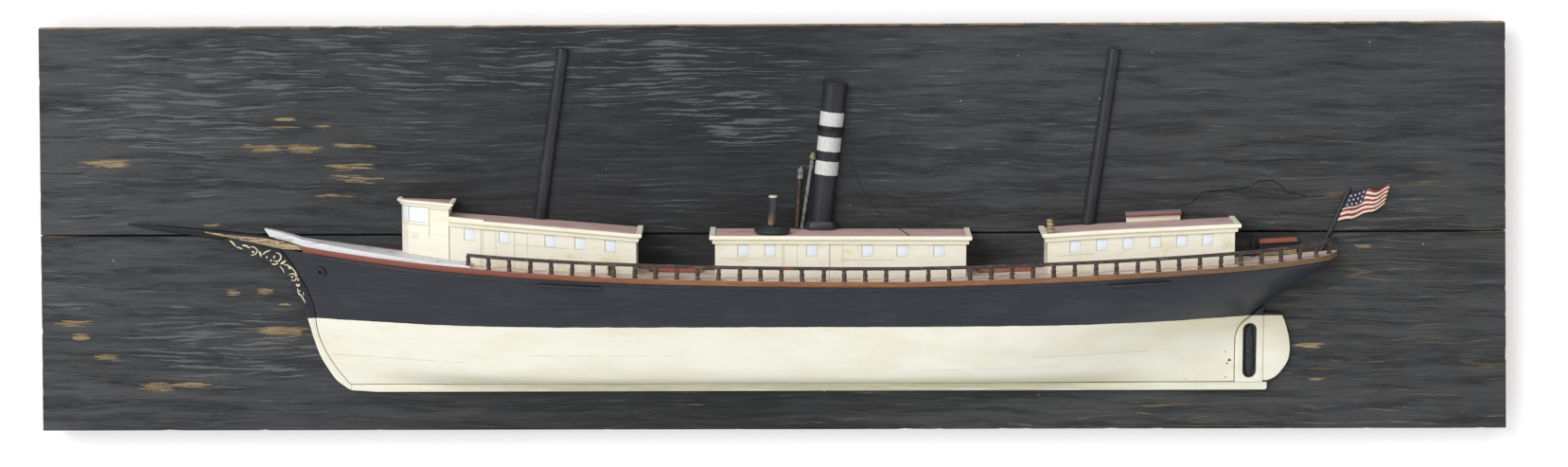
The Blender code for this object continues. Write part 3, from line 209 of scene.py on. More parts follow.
class DeckSettings(bpy.types.PropertyGroup):
    edge: colour("Deck edge", "Worn orange-brown paint of the deck's edge", "#764a2b")
    edge_bow: colour("Deck edge forward", "Redder paint of the deck's edge at the bow", "#7b3f31")
    top: colour("Deck top", "Rubbed mauve-tan deck", "#ecdace")
    rail: colour("Railing", "Dark brown varnished railing", "#2d211d")
    rail_worn: colour("Railing worn", "Greyed brown of the rubbed rail", "#6b5850")
    red: colour("Red lead", "Red that was brushed on feet and lids", "#8a4039")
    foredeck: colour("Foredeck", "Worn white paint of the raised foredeck", "#d6d6d8")
    wood: colour("Bare wood", "Bare old wood of the head rail", "#9d8a6e")
    lid: colour("Lids", "Orange-brown hatch and locker lids", "#975640")
    balusters: IntProperty(
        name="Balusters", description="Turned posts of the railing", default=43, min=2, max=80
    )
    pitch: length("Baluster pitch", "Spacing of the balusters", 0.0257)
    rail_width: length("Rail width", "Width of the railing's cap", 0.0050)
    rail_depth: length("Rail depth", "Height of the railing's cap", 0.0040)


class FunnelSettings(bpy.types.PropertyGroup):
    black: colour("Spar black", "Satin blue-black of the funnel and masts", "#25262c")
    band: colour("Funnel bands", "White bands brushed round the funnel", "#d4d4d2")
    iron: colour("Old iron", "Dark iron of the chain and strap", "#0b0a09")
    slate: colour("Slate grey", "Rubbed grey-green of the funnel's base", "#2b3031")
    grey: colour("Grey paint", "Worn grey of the steam pipe and lantern", "#8f9290")
    link: length("Chain link", "Length of one link, centre to centre", 0.0023)
    wire: length("Chain wire", "Thickness of the chain's wire", 0.0007)


class FlagSettings(bpy.types.PropertyGroup):
    red: colour("Flag red", "Red of the stripes", "#861f1b")
    white: colour("Flag white", "White of the stripes and stars", "#ddd3c0")
    blue: colour("Flag blue", "Blue of the canton", "#171d3a")
    wave: length("Folds", "Depth of the carved folds", 0.0018)


class StageSettings(bpy.types.PropertyGroup):
    wall: colour("Wall", "White wall behind the board", "#ebebed")
    glow: FloatProperty(name="Wall light", description="Light of the lit backdrop", default=0.27, min=0.0)
    floor_glow: FloatProperty(
        name="Floor light", description="Light from a lit white table", default=0.36, min=0.0
    )
    floor: colour("Floor", "Pale floor", "#ecebe8")
    lens: FloatProperty(
        name="Lens", description="Focal length of the camera", default=86.404, min=10.0, unit="CAMERA"
    )
    key: FloatProperty(name="Key light", description="Strength of the large soft light", default=1.6, min=0.0)
    key_spread: FloatProperty(
        name="Key spread", description="How wide the soft light is", default=0.59, subtype="ANGLE"
    )
    top: FloatProperty(
        name="Top light", description="Strength of the wide light overhead", default=0.95, min=0.0
    )
    fill: FloatProperty(name="Sky", description="Strength of the even light all round", default=0.29, min=0.0)


class HalfHullSettings(bpy.types.PropertyGroup):
    board: PointerProperty(type=BoardSettings, name="Board", description="Planks and battens")
    hull: PointerProperty(type=HullSettings, name="Hull", description="Hull block, stem and stern")
    houses: PointerProperty(type=HouseSettings, name="Houses", description="Deckhouses and pilothouse")
    deck: PointerProperty(type=DeckSettings, name="Deck", description="Deck, railing and lids")
    funnel: PointerProperty(type=FunnelSettings, name="Funnel", description="Funnel, spars, pipes and chain")
    flag: PointerProperty(type=FlagSettings, name="Flag", description="Carved flag")
    stage: PointerProperty(type=StageSettings, name="Stage", description="Wall, floor, lights and camera")


def trim(x):
    """The model hangs a little down by the bow."""
    return TRIM * x


def sheer(x):
    """Height of the hull's top edge."""
    rise, power = SHEER_FORWARD if x < SHEER_LOW_X else SHEER_AFT
    return SHEER_LOW + rise * abs(x - SHEER_LOW_X) ** power


def deck_top(x):
    return sheer(x) + GAP + DECK_THICKNESS


def along(points, value):
    """Smooth curve through (key, result) points, read at a key."""
    last = len(points) - 2
    i = 0
    while i < last and value > points[i + 1][0]:
        i += 1
    (k1, r1), (k2, r2) = points[i], points[i + 1]
    before = points[max(i - 1, 0)]
    after = points[min(i + 2, last + 1)]
    t = min(max((value - k1) / (k2 - k1), 0.0), 1.0)
    slope1 = (r2 - before[1]) / (k2 - before[0])
    slope2 = (after[1] - r1) / (after[0] - k1)
    span = k2 - k1
    a = slope1 * span - (r2 - r1)
    b = -slope2 * span + (r2 - r1)
    return r1 + t * (r2 - r1) + t * (1 - t) * (a * (1 - t) + b * t)


def smooth_route(route, count):
    """Points at equal parameter steps of a smooth curve through the route."""
    keyed = [[(i, point[axis]) for i, point in enumerate(route)] for axis in range(len(route[0]))]
    last = len(route) - 1
    return [[along(axis, last * k / (count - 1)) for axis in keyed] for k in range(count)]


def stem_x(z):
    """Where the planking ends on the stem, at a height."""
    water = WATERLINE + trim(STEM_AT_WATER)
    if z > water:
        return STEM_AT_WATER - STEM_RAKE_ABOVE * ((z - water) / 0.081) ** 1.65
    return STEM_AT_WATER + STEM_RAKE_BELOW * ((water - z) / 0.085) ** 1.8


def stern_x(z):
    """Where the planking ends aft, at a height: the stern frame, then the counter."""
    return along(STERN_PROFILE, z)


def mix3(level, keel, water, deck):
    """Blend of three values, for a level of 0 at the keel, 1 at the waterline and 2 at the deck."""
    if level < 1:
        return keel + (water - keel) * level
    return water + (deck - water) * (level - 1)


def hull_half(x, z):
    """Half breadth of the hull at a place along it and a height."""
    keel = KEEL_TOP + trim(x)
    water = WATERLINE + trim(x)
    if z < water:
        level = max((z - keel) / (water - keel), 0.0)
        rise = level * (water - keel) / (HALF_BEAM_WATERLINE * DEADRISE)
        fullness = rise / (1 + rise**BILGE_ROUNDNESS) ** (1 / BILGE_ROUNDNESS)
    else:
        level = 1 + min((z - water) / (sheer(x) - water), 1.0)
        fullness = 1.0
    bow = stem_x(z)
    stern = stern_x(z)
    forward = min(max((x - bow) / (FULL_FORWARD - bow), 0.0), 1.0)
    aft = min(max((stern - x) / (stern - FULL_AFT), 0.0), 1.0)
    entrance = 1 - (1 - forward ** mix3(level, 1.7, 1.25, 1.0)) ** mix3(level, 3.6, 3.2, 2.8)
    run = 1 - (1 - aft ** mix3(level, 2.4, 1.1, 1.0)) ** mix3(level, 3.0, 3.2, 6.0)
    run = run ** (1 / mix3(level, 1.0, 1.0, 2.0))
    siding = HALF_SIDING + (STERN_SIDING - HALF_SIDING) * (1 - aft)
    beam = mix3(level, HALF_BEAM_WATERLINE, HALF_BEAM_WATERLINE, HALF_BEAM)
    return siding + (beam - siding) * fullness * entrance * run


def deck_half(x):
    """Half breadth of the deck's edge."""
    return hull_half(min(x, STERN_TIP), sheer(x))


def spaced(start, end, count, even=0.35):
    """Stations that crowd towards both ends."""
    result = []
    for i in range(count + 1):
        u = i / count
        s = even * u + (1 - even) * (1 - math.cos(math.pi * u)) / 2
        result.append(start + (end - start) * s)
    return result


def place(x, out, z):
    return Vector((x, BOARD_FACE - out, z))


def wedge_low(x):
    return along(((HEAD_TIP, -0.0056), (-0.6696, -0.0135), (-0.6285, -0.0218), (-0.6100, -0.0253)), x)


def wedge_high(x):
    return along(((HEAD_TIP, -0.0043), (-0.6696, -0.0094), (-0.6201, -0.0144), (-0.5860, -0.0214)), x)


def bow_half(x):
    """Plan outline of the head, ahead of the deck."""
    plan = ((HEAD_TIP, 0.0068), (-0.6600, 0.0092), (-0.6100, 0.0152), (DECK_START, deck_half(DECK_START)))
    return along(plan, x)


def lift_bottom(x):
    """Underside of the raised foredeck: on the deck, and forward of it on the head rail."""
    if x > DECK_START:
        return deck_top(x) + GAP
    on_deck = deck_top(DECK_START) + GAP
    return max(wedge_high(x) + GAP, -0.0086 + (x + 0.627) * (on_deck + 0.0086) / 0.0415)


def lift_top(x):
    part = max((LIFT_END - x) / (LIFT_END - LIFT_START), 0.0)
    return lift_bottom(x) + LIFT_HEIGHT_AFT + LIFT_RISE * part**1.3


HOUSES = {
    "forward_house": {
        "ends": (-0.3995, -0.1688),
        "front": ((-0.42, 0.049), (-0.36, 0.0545), (-0.28, 0.061), (-0.2, 0.064), (-0.16, 0.065)),
        "top": (
            (-0.42, 0.0202), (-0.355, 0.0152), (-0.307, 0.0118), (-0.2526, 0.0077), (-0.1944, 0.0029),
            (-0.15, -0.001)
        ),
        "windows": (-0.3746, -0.3316, -0.2747, -0.2376, -0.2005), "doors": (-0.35, -0.311),
        "joins_left": True, "ledge": (-0.356, 0.0018), "crown": CROWN
    },
    "mid_house": {
        "ends": (-0.0713, 0.238), "front": ((-0.1, 0.066), (0.3, 0.066)),
        "top": ((-0.1, -0.0014), (0.3, -0.0022)),
        "windows": (-0.0368, -0.0036, 0.0477, 0.1162, 0.1593, 0.2047), "doors": (0.0221, 0.0783),
        "crown": CROWN
    },
    "aft_house": {
        "ends": (0.3385, 0.5688), "front": ((0.3, 0.066), (0.6, 0.066)),
        "top": (
            (0.3, -0.0015), (0.3333, 0.0007), (0.388, 0.0045), (0.4462, 0.0077), (0.5043, 0.0103),
            (0.6, 0.0152)
        ),
        "windows": (0.3723, 0.405, 0.4376, 0.4705, 0.5037, 0.5355), "doors": (), "crown": 0.001
    }
}


def house_front(house, x):
    return along(house["front"], x)


def house_top(house, x):
    return along(house["top"], x)


def crown(house, x, out):
    """How much a house's roof rises from its front edge towards the board."""
    return house["crown"] * (1 - min(out / house_front(house, x), 1.0) ** 2)


def house_floor(x):
    return (lift_top(x) if x < LIFT_END + GAP else deck_top(x)) + GAP


def roof_surface(name, x, out):
    """Height of a deckhouse roof at a place."""
    return house_top(HOUSES[name], x) - ROOF_RECESS + crown(HOUSES[name], x, out)


def pilothouse_top(x):
    return 0.0386 - 0.034 * (x + 0.4615)


# Kinds of node that come with one option set.
TIMES = ("Math", {"operation": "MULTIPLY"})
PLUS = ("Math", {"operation": "ADD"})
LAYER = ("Mix", {"data_type": "RGBA"})
STEP = ("MapRange", {"interpolation_type": "SMOOTHSTEP"})


def add_node(tree, kind, *values, output=None, **options):
    """Adds a node with its options and gives one output.

    Values and links fill its open sockets in their order, or by name in a dictionary, which may also hold
    options and a ramp's stops.
    """
    name, preset = (kind, {}) if isinstance(kind, str) else kind
    node = tree.nodes.new("ShaderNode" + name)
    settings = {**preset, **options}
    for number, value in enumerate(values):
        settings.update(value if isinstance(value, dict) else {number: value})
    for key, value in settings.items():
        if key == "stops":
            for i, (position, shade) in enumerate(value):
                stop = node.color_ramp.elements[i] if i < 2 else node.color_ramp.elements.new(position)
                stop.position = position
                stop.color = (*shade[:3], 1.0)
        elif isinstance(key, str) and key[0].islower():
            setattr(node, key, value)
        else:
            enabled = [socket for socket in node.inputs if socket.enabled]
            socket = enabled[key] if isinstance(key, int) else next(s for s in enabled if s.name == key)
            if isinstance(value, bpy.types.NodeSocket):
                tree.links.new(value, socket)
            elif socket.type == "RGBA":
                socket.default_value = (*value[:3], 1.0)
            else:
                socket.default_value = value
    return node.outputs[output] if output else next(s for s in node.outputs if s.enabled)


def start_finish(name):
    """An empty finish: its material, its shader, a way to add nodes to it, and the place on the object."""
    material = bpy.data.materials.new(name)
    material.use_nodes = True
    add = partial(add_node, material.node_tree)
    where = add("TexCoord", output="Object")
    return material, material.node_tree.nodes["Principled BSDF"], add, where


def drawn_out(add, where, size_mm, detail=4.0, rough=0.6):
    """Noise whose blots have a size in millimetres along X, Y and Z."""
    scaled = add("Mapping", {"Vector": where, "Scale": [1 / (s * MM) for s in size_mm]})
    return add("TexNoise", {"Vector": scaled, "Scale": 1.0, "Detail": detail, "Roughness": rough})


def finish_off(material, shader, add, coat, roughness, height, depth_mm, gloss=0.5):
    """Joins a finish's colour, roughness and relief to its shader. Dust and chalking take gloss away."""
    tree = material.node_tree
    tree.links.new(coat, shader.inputs["Base Color"])
    if isinstance(roughness, bpy.types.NodeSocket):
        tree.links.new(roughness, shader.inputs["Roughness"])
    else:
        shader.inputs["Roughness"].default_value = roughness
    shader.inputs["Specular IOR Level"].default_value = gloss
    relief = add("Bump", {"Height": height, "Distance": depth_mm * MM, "Strength": 1.0})
    tree.links.new(relief, shader.inputs["Normal"])
    return material


def brushed_paint(name, base, second, strokes_mm, roughness, depth_mm=0.12, worn=None, layers=(), gloss=0.5):
    """Oil paint laid on carved wood with a small brush.

    The eye sees two close tones that run with the strokes, broad soiled clouds and the low ridges of the
    bristles. worn is (colour of what lies under the paint, share of it that shows, size of the patches in
    mm). Each layer takes (add, where, coat) and gives the coat with something laid over it.
    """
    material, shader, add, where = start_finish(name)
    strokes = drawn_out(add, where, strokes_mm, 6.0, 0.65)
    clouds = drawn_out(add, where, (38.0, 30.0, 24.0), 3.0)
    tone = add(PLUS, add(TIMES, strokes, 0.7), add(TIMES, clouds, 0.3))
    coat = add(LAYER, add(STEP, tone, 0.4, 0.62), base, second)
    height = strokes
    if worn:
        under, share, size = worn
        patches = drawn_out(add, where, size, 7.0, 0.7)
        bare = add(STEP, patches, 0.66 - 0.3 * share, 0.7 - 0.3 * share)
        coat = add(LAYER, bare, coat, under)
        height = add("Math", strokes, add(TIMES, bare, 0.8), operation="SUBTRACT")
    for layer in layers:
        coat = layer(add, where, coat)
    sheen = add(
        "MapRange",
        {
            "Value": tone, "From Min": 0.3, "From Max": 0.7, "To Min": roughness - 0.07,
            "To Max": roughness + 0.07
        }
    )
    return finish_off(material, shader, add, coat, sheen, height, depth_mm, gloss)


def facing(add, axis, low, high):
    """1 where the surface faces along an axis, as X, Y or Z."""
    normal = add("NewGeometry", output="Normal")
    return add(STEP, add("SeparateXYZ", normal, output=axis), low, high)


def measure(add, where, axis, low, high):
    """0 to 1 from one place to another along an axis."""
    return add(STEP, add("SeparateXYZ", where, output=axis), low, high)


def ragged_line(add, where, points, half_mm, sway_mm=1.2):
    """A hairline through (x, z) points, from left to right. It frays, thins out and breaks here and there."""
    xs, zs = [p[0] for p in points], [p[1] for p in points]
    low, high = min(zs) - 0.001, max(zs) + 0.001
    x = add("SeparateXYZ", where, output="X")
    z = add("SeparateXYZ", where, output="Z")
    part = add("MapRange", {"Value": x, "From Min": xs[0], "From Max": xs[-1]})
    stops = [((px - xs[0]) / (xs[-1] - xs[0]), [(pz - low) / (high - low)] * 3) for px, pz in points]
    level = add("ValToRGB", {"Fac": part, "stops": stops}, output="Color")
    height = add(PLUS, add(TIMES, level, high - low), low)
    fray = add(TIMES, add(PLUS, drawn_out(add, where, (9.0, 400.0, 400.0), 4.0, 0.7), -0.5), 2 * sway_mm * MM)
    off = add("Math", add(PLUS, add(PLUS, z, fray), add(TIMES, height, -1.0)), operation="ABSOLUTE")
    wide = add(TIMES, drawn_out(add, where, (14.0, 400.0, 400.0), 3.0), 2 * half_mm * MM)
    mark = add(STEP, off, wide, add(TIMES, wide, 0.4))
    within = add(TIMES, add(STEP, x, xs[0], xs[0] + 0.004), add(STEP, x, xs[-1], xs[-1] - 0.004))
    broken = add(STEP, drawn_out(add, where, (24.0, 400.0, 400.0), 2.0), 0.34, 0.4)
    return add(TIMES, add(TIMES, mark, within), broken)


# Tone of the board's paint from its left end to its right: most rubbed at the left, darkest amidships.
BOARD_TONES = (
    (0.0, linear("#55575a")),
    (1.0, linear("#474849")),
    (0.22, linear("#454749")),
    (0.37, linear("#36383a")),
    (0.50, linear("#303234")),
    (0.62, linear("#4b4d4f")),
)


# Cracks in the board's paint, as (x, z) points from left to right, with half their width in mm.
BOARD_CRACKS = (
    (
        (
            (0.4990, 0.0262),
            (0.5210, 0.0300),
            (0.5295, 0.0368),
            (0.5354, 0.0448),
            (0.5520, 0.0452),
            (0.5840, 0.0488),
            (0.5970, 0.0518),
            (0.6050, 0.0577),
            (0.6228, 0.0589),
            (0.6323, 0.0535),
            (0.6405, 0.0440),
            (0.6677, 0.0392),
        ),
        0.9,
    ),
    (((-0.9150, 0.1132), (-0.8800, 0.1128), (-0.8420, 0.1136)), 0.7),
    (((-0.9150, 0.0684), (-0.8900, 0.0672), (-0.8560, 0.0682)), 0.7),
    (((0.5600, 0.0820), (0.6200, 0.0836), (0.6560, 0.0860)), 0.5),
)


def slate_paint(board):
    """Slate-black distemper, once brushed on sawn softwood and since rubbed and dried.

    The eye sees sharp grey streaks where the raised grain has been rubbed, dark soft wood between them,
    flakes that have let go down to tan wood, long lines of late wood towards the stern, thin cracks and a
    few white flecks.
    """
    material, shader, add, where = start_finish("slate_paint")
    x = add("SeparateXYZ", where, output="X")
    z = add("SeparateXYZ", where, output="Z")
    wide_sway = add(TIMES, drawn_out(add, where, (210.0, 80.0, 60.0), 1.0), 0.022)
    short_sway = add(TIMES, drawn_out(add, where, (34.0, 80.0, 14.0), 2.0), 0.005)
    lifted = add("CombineXYZ", {"Z": add(PLUS, wide_sway, short_sway)})
    grained = add("VectorMath", where, lifted, operation="ADD")
    ridges = drawn_out(add, grained, (84.0, 40.0, 3.4), 6.0, 0.60)
    fibres = drawn_out(add, grained, (30.0, 20.0, 0.9), 4.0, 0.62)
    soft = drawn_out(add, grained, (150.0, 60.0, 12.0), 4.0)
    rubbed = add("Attribute", attribute_name="rubbed", output="Fac")
    bare = add("Attribute", attribute_name="bare", output="Fac")
    ringed = add("Attribute", attribute_name="ringed", output="Fac")

    part = add("MapRange", {"Value": x, "From Min": BOARD_LEFT, "From Max": BOARD_RIGHT})
    tone = add("ValToRGB", {"Fac": part, "stops": BOARD_TONES}, output="Color")
    coat = add(LAYER, add(STEP, fibres, 0.34, 0.66, 0.0, 0.55), board.hollow, tone)
    coat = add(LAYER, add(STEP, soft, 0.36, 0.62, 0.0, 0.6), coat, tone)
    faint = add(TIMES, add(STEP, ridges, 0.5, 0.6), add(PLUS, add(TIMES, rubbed, 0.3), 0.1))
    coat = add(LAYER, faint, coat, board.ridge)
    lifted_grain = add(PLUS, ridges, add(TIMES, rubbed, 0.15))
    streaks = add(STEP, lifted_grain, 0.668, 0.677)
    worn_by = add(STEP, drawn_out(add, grained, (60.0, 40.0, 1.6), 3.0), 0.3, 0.62, 0.0, 0.3)
    grey = add(LAYER, worn_by, board.ridge, tone)
    coat = add(LAYER, add(TIMES, streaks, 0.92), coat, grey)
    hairs = add(STEP, drawn_out(add, grained, (26.0, 20.0, 1.1), 3.0, 0.6), 0.655, 0.685, 0.0, 0.55)
    coat = add(LAYER, hairs, coat, board.ridge)

    rings = drawn_out(add, grained, (620.0, 90.0, 24.0), 2.0, 0.35)
    saw = add("Math", add(TIMES, rings, 11.0), 0.5, operation="PINGPONG")
    thin = drawn_out(add, grained, (70.0, 90.0, 9.0), 4.0, 0.65)
    line = add(TIMES, add(STEP, saw, 0.37, 0.47), add(STEP, thin, 0.44, 0.6))
    line = add(TIMES, add(TIMES, line, ringed), add(STEP, fibres, 0.3, 0.52))
    coat = add(LAYER, line, coat, board.ring)

    torn = drawn_out(add, grained, (40.0, 20.0, 2.2), 6.0, 0.62)
    torn = add(PLUS, torn, add(TIMES, bare, 0.2))
    flaked = add(TIMES, add(STEP, torn, 0.612, 0.64), add(STEP, bare, 0.02, 0.12))
    wood_tone = add(STEP, drawn_out(add, where, (50.0, 20.0, 6.0), 3.0), 0.4, 0.62)
    old_wood = add(LAYER, wood_tone, linear("#806d4e"), board.wood)
    old_wood = add(LAYER, add(STEP, fibres, 0.5, 0.7, 0.0, 0.45), old_wood, tone)
    coat = add(LAYER, add(TIMES, flaked, 0.85), coat, old_wood)

    cells = {"feature": "F1", "Vector": where, "Scale": 1 / 0.034}
    flecks = add("TexVoronoi", cells, output="Distance")
    picked = add("TexVoronoi", cells, output="Color")
    chosen = add(STEP, add("SeparateColor", picked, output="Red"), 0.6, 0.62)
    dots = add(STEP, flecks, 0.03, 0.016)
    coat = add(LAYER, add(TIMES, dots, chosen), coat, linear("#aeb0ad"))

    cracked = None
    for points, half_mm in BOARD_CRACKS:
        mark = ragged_line(add, where, points, half_mm)
        cracked = mark if cracked is None else add(PLUS, cracked, mark)
    coat = add(LAYER, add(TIMES, cracked, 0.9), coat, linear("#0c0c0d"))

    ragged = add(STEP, drawn_out(add, where, (26.0, 6.0, 6.0), 5.0, 0.7), 0.42, 0.52)
    raw = add(LAYER, add(STEP, fibres, 0.3, 0.7), tuple((0.75 * c for c in board.wood)), board.pine)
    up = facing(add, "Z", 0.25, 0.6)
    at_top = add(TIMES, up, add(STEP, z, 0.2, 0.22))
    coat = add(LAYER, add(TIMES, at_top, ragged), coat, raw)
    in_seam = add(TIMES, up, add(STEP, z, 0.1, 0.06))
    coat = add(LAYER, in_seam, coat, board.hollow)
    turned_off = facing(add, "Y", -0.9, -0.6)
    ends = add(TIMES, turned_off, add(STEP, add("Math", x, operation="ABSOLUTE"), 0.85, 0.9))
    coat = add(LAYER, add(TIMES, ends, add(TIMES, ragged, 0.75)), coat, raw)
    back = add(LAYER, add(STEP, ridges, 0.4, 0.62), linear("#6d5238"), linear("#8f7351"))
    coat = add(LAYER, facing(add, "Y", 0.4, 0.6), coat, back)

    height = add(PLUS, add(TIMES, ridges, 0.5), add(TIMES, streaks, 0.3))
    height = add(PLUS, height, add(TIMES, fibres, 0.25))
    height = add(PLUS, height, add(TIMES, flaked, -0.45))
    height = add(PLUS, height, add(TIMES, cracked, -0.8))
    rough = add(
        "MapRange", {"Value": ridges, "From Min": 0.35, "From Max": 0.65, "To Min": 0.7, "To Max": 0.52}
    )
    return finish_off(material, shader, add, coat, rough, height, 0.5, 0.2)


def sawn_pine(board):
    """Bare pine, planed: pale bands with darker late wood every few millimetres, going brown with age."""
    material, shader, add, where = start_finish("sawn_pine")
    swayed = add(
        "VectorMath", where,
        add("CombineXYZ", {"X": add(TIMES, drawn_out(add, where, (40.0, 40.0, 160.0), 2.0), 0.02)}),
        operation="ADD"
    )
    rings = drawn_out(add, swayed, (4.5, 30.0, 260.0), 3.0)
    fibres = drawn_out(add, swayed, (0.8, 6.0, 50.0), 4.0)
    coat = add(LAYER, add(STEP, rings, 0.42, 0.6), board.pine, linear("#80613d"))
    coat = add(LAYER, add(STEP, fibres, 0.5, 0.8, 0.0, 0.5), coat, linear("#5f4831"))
    return finish_off(material, shader, add, coat, 0.7, fibres, 0.15)


def waterline_share(add, where, waver):
    """1 above the painted waterline, whose hand-cut edge wavers a little."""
    x = add("SeparateXYZ", where, output="X")
    z = add("SeparateXYZ", where, output="Z")
    above = add("Math", z, add(TIMES, x, TRIM), operation="SUBTRACT")
    stray = add(TIMES, add(PLUS, drawn_out(add, where, (22.0, 30.0, 30.0), 3.0), -0.5), 4 * waver)
    level = add(PLUS, above, stray)
    return add(STEP, level, WATERLINE - 0.0002, WATERLINE + 0.0002)


def scar_line(add, where, start, end, half_mm):
    """A hairline on the XZ plane from one place to another, broken here and there."""
    (x0, z0), (x1, z1) = start, end
    x = add("SeparateXYZ", where, output="X")
    z = add("SeparateXYZ", where, output="Z")
    slope = (z1 - z0) / (x1 - x0)
    on_line = add(PLUS, add(TIMES, x, slope), z0 - slope * x0)
    sway = add(TIMES, add(PLUS, drawn_out(add, where, (16.0, 400.0, 400.0), 3.0), -0.5), 0.0016)
    off = add("Math", add(PLUS, add(PLUS, z, add(TIMES, on_line, -1.0)), sway), operation="ABSOLUTE")
    mark = add(
        "MapRange",
        {"Value": off, "From Min": 0.3 * half_mm * MM, "From Max": half_mm * MM, "To Min": 1.0, "To Max": 0.0}
    )
    within = add(TIMES, add(STEP, x, x0 - 0.003, x0 + 0.003), add(STEP, x, x1 + 0.003, x1 - 0.003))
    broken = add(STEP, drawn_out(add, where, (26.0, 400.0, 400.0), 2.0), 0.36, 0.44)
    return add(TIMES, add(TIMES, mark, within), broken)


def spot(add, where, at, radius_mm):
    """A chip of a radius round a place on the XZ plane, with a ragged edge."""
    flat = add("VectorMath", where, (1.0, 0.0, 1.0), operation="MULTIPLY")
    ragged = add(TIMES, add(PLUS, drawn_out(add, where, (1.6, 400.0, 1.2), 4.0), -0.5), 2.4 * radius_mm * MM)
    near = add("VectorMath", flat, (at[0], 0.0, at[1]), operation="DISTANCE", output="Value")
    settings = {
        "Value": add(PLUS, near, ragged), "From Min": 0.75 * radius_mm * MM, "From Max": radius_mm * MM,
        "To Min": 1.0, "To Max": 0.0
    }
    return add("MapRange", settings)


CHIPS = (
    ((0.5717, -0.1667), 2.2, "#8a4a30"),
    ((0.5660, -0.1560), 1.0, "#8a4a30"),
    ((0.5686, -0.1708), 1.3, "#6d4a38"),
    ((0.5670, -0.1884), 1.1, "#75806a"),
    ((0.5170, -0.1905), 0.9, "#75806a"),
)
HAIRLINES = (
    ((-0.560, -0.0600), (-0.485, -0.0650), 0.45),
    ((-0.552, -0.1590), (-0.380, -0.1600), 0.32),
    ((-0.300, -0.1480), (-0.120, -0.1476), 0.25),
    ((0.320, -0.1520), (0.470, -0.1514), 0.30),
    ((0.180, -0.1660), (0.360, -0.1650), 0.22),
)


def hull_paint(hull):
    """Two coats of old oil paint on the carved block, blue-black over cream, meeting at the waterline.

    The black has a soft sheen and faint strokes fore and aft, and is darker aft under the counter with
    painted shade. The cream is close to white where it was dusted and yellows towards the run, which also
    takes painted shade; painted shade turns it olive towards the keel amidships. It has hairlines over the
    seams of the block and a few chips.
    """
    material, shader, add, where = start_finish("hull_oil_paint")
    strokes = drawn_out(add, where, (70.0, 60.0, 1.6), 5.0, 0.62)
    clouds = drawn_out(add, where, (90.0, 60.0, 26.0), 4.0)
    x = add("SeparateXYZ", where, output="X")
    z = add("SeparateXYZ", where, output="Z")
    cream = add(LAYER, add(STEP, clouds, 0.38, 0.68, 0.0, 0.22), hull.bottom, hull.soil)
    # Yellowing towards the run, partly painted shade where the run turns away from the lamp.
    run = add(TIMES, add(STEP, x, 0.28, 0.62), add(STEP, z, -0.158, -0.112))
    cream = add(LAYER, add(TIMES, run, 0.42), cream, hull.soil)
    # Painted shade: the cream darkens to olive towards the keel amidships, where the bilge turns under.
    garboard_shade = add(STEP, z, -0.172, -0.197)
    amidships = add(TIMES, add(STEP, x, -0.52, -0.3), add(STEP, x, 0.58, 0.38))
    cream = add(LAYER, add(TIMES, add(TIMES, garboard_shade, amidships), 0.5), cream, linear("#aead84"))
    fine = drawn_out(add, where, (30.0, 30.0, 0.8), 5.0, 0.7)
    cream = add(LAYER, add(STEP, fine, 0.58, 0.78, 0.0, 0.35), cream, hull.soil)
    specks = add(STEP, drawn_out(add, where, (1.6, 1.6, 1.6), 3.0), 0.7, 0.76, 0.0, 0.7)
    cream = add(LAYER, specks, cream, linear("#9b9476"))
    for at, radius_mm, shade in CHIPS:
        cream = add(LAYER, spot(add, where, at, radius_mm), cream, linear(shade))

    black = add(LAYER, add(STEP, strokes, 0.4, 0.66, 0.0, 0.55), hull.topsides, linear("#363943"))
    black = add(LAYER, add(STEP, clouds, 0.5, 0.74, 0.0, 0.4), black, linear("#3f4149"))
    # Painted shade: the black is darker aft of x 0.6, under the counter.
    black = add(LAYER, add(TIMES, add(STEP, x, 0.6, 0.7), 0.45), black, linear("#1d1e22"))
    dust = add(STEP, drawn_out(add, where, (2.2, 2.2, 1.4), 4.0, 0.7), 0.7, 0.76, 0.0, 0.35)
    black = add(LAYER, dust, black, linear("#6f7073"))

    above = waterline_share(add, where, hull.waver)
    coat = add(LAYER, above, cream, black)
    marks = None
    for start, end, half_mm in HAIRLINES:
        line = scar_line(add, where, start, end, half_mm)
        marks = line if marks is None else add(PLUS, marks, line)
    coat = add(LAYER, add(TIMES, marks, 0.4), coat, linear("#2b2620"))
    rough = add("MapRange", {"Value": above, "To Min": 0.56, "To Max": 0.4})
    rough = add(PLUS, rough, add(TIMES, add(PLUS, strokes, -0.5), 0.25))
    height = add(PLUS, add(TIMES, strokes, 0.6), add(TIMES, marks, -1.2))
    height = add(PLUS, height, add(TIMES, above, 0.4))
    return finish_off(material, shader, add, coat, rough, height, 0.16, 0.28)


def keel_paint(hull):
    """The bottom's cream on the keel: olive along the middle from dust and painted shade under the hull's
    bulge, and darker on its underside with painted shade.
    """

    def soiled(add, where, coat):
        # Olive along the middle: dust, with painted shade under the hull's bulge.
        middle = add(TIMES, measure(add, where, "X", -0.5, -0.2), measure(add, where, "X", 0.6, 0.35))
        grime = add(TIMES, middle, add(STEP, drawn_out(add, where, (60.0, 30.0, 4.0), 4.0), 0.3, 0.6))
        coat = add(LAYER, add(TIMES, grime, 0.55), coat, linear("#b4b28c"))
        # Painted shade: faces that look down are darker.
        under = facing(add, "Z", -0.2, -0.6)
        return add(LAYER, add(TIMES, under, 0.6), coat, linear("#8a8666"))

    return brushed_paint(
        "keel_oil_paint", hull.bottom, linear("#dedbc2"), (60.0, 30.0, 1.4), 0.55, layers=[soiled]
    )


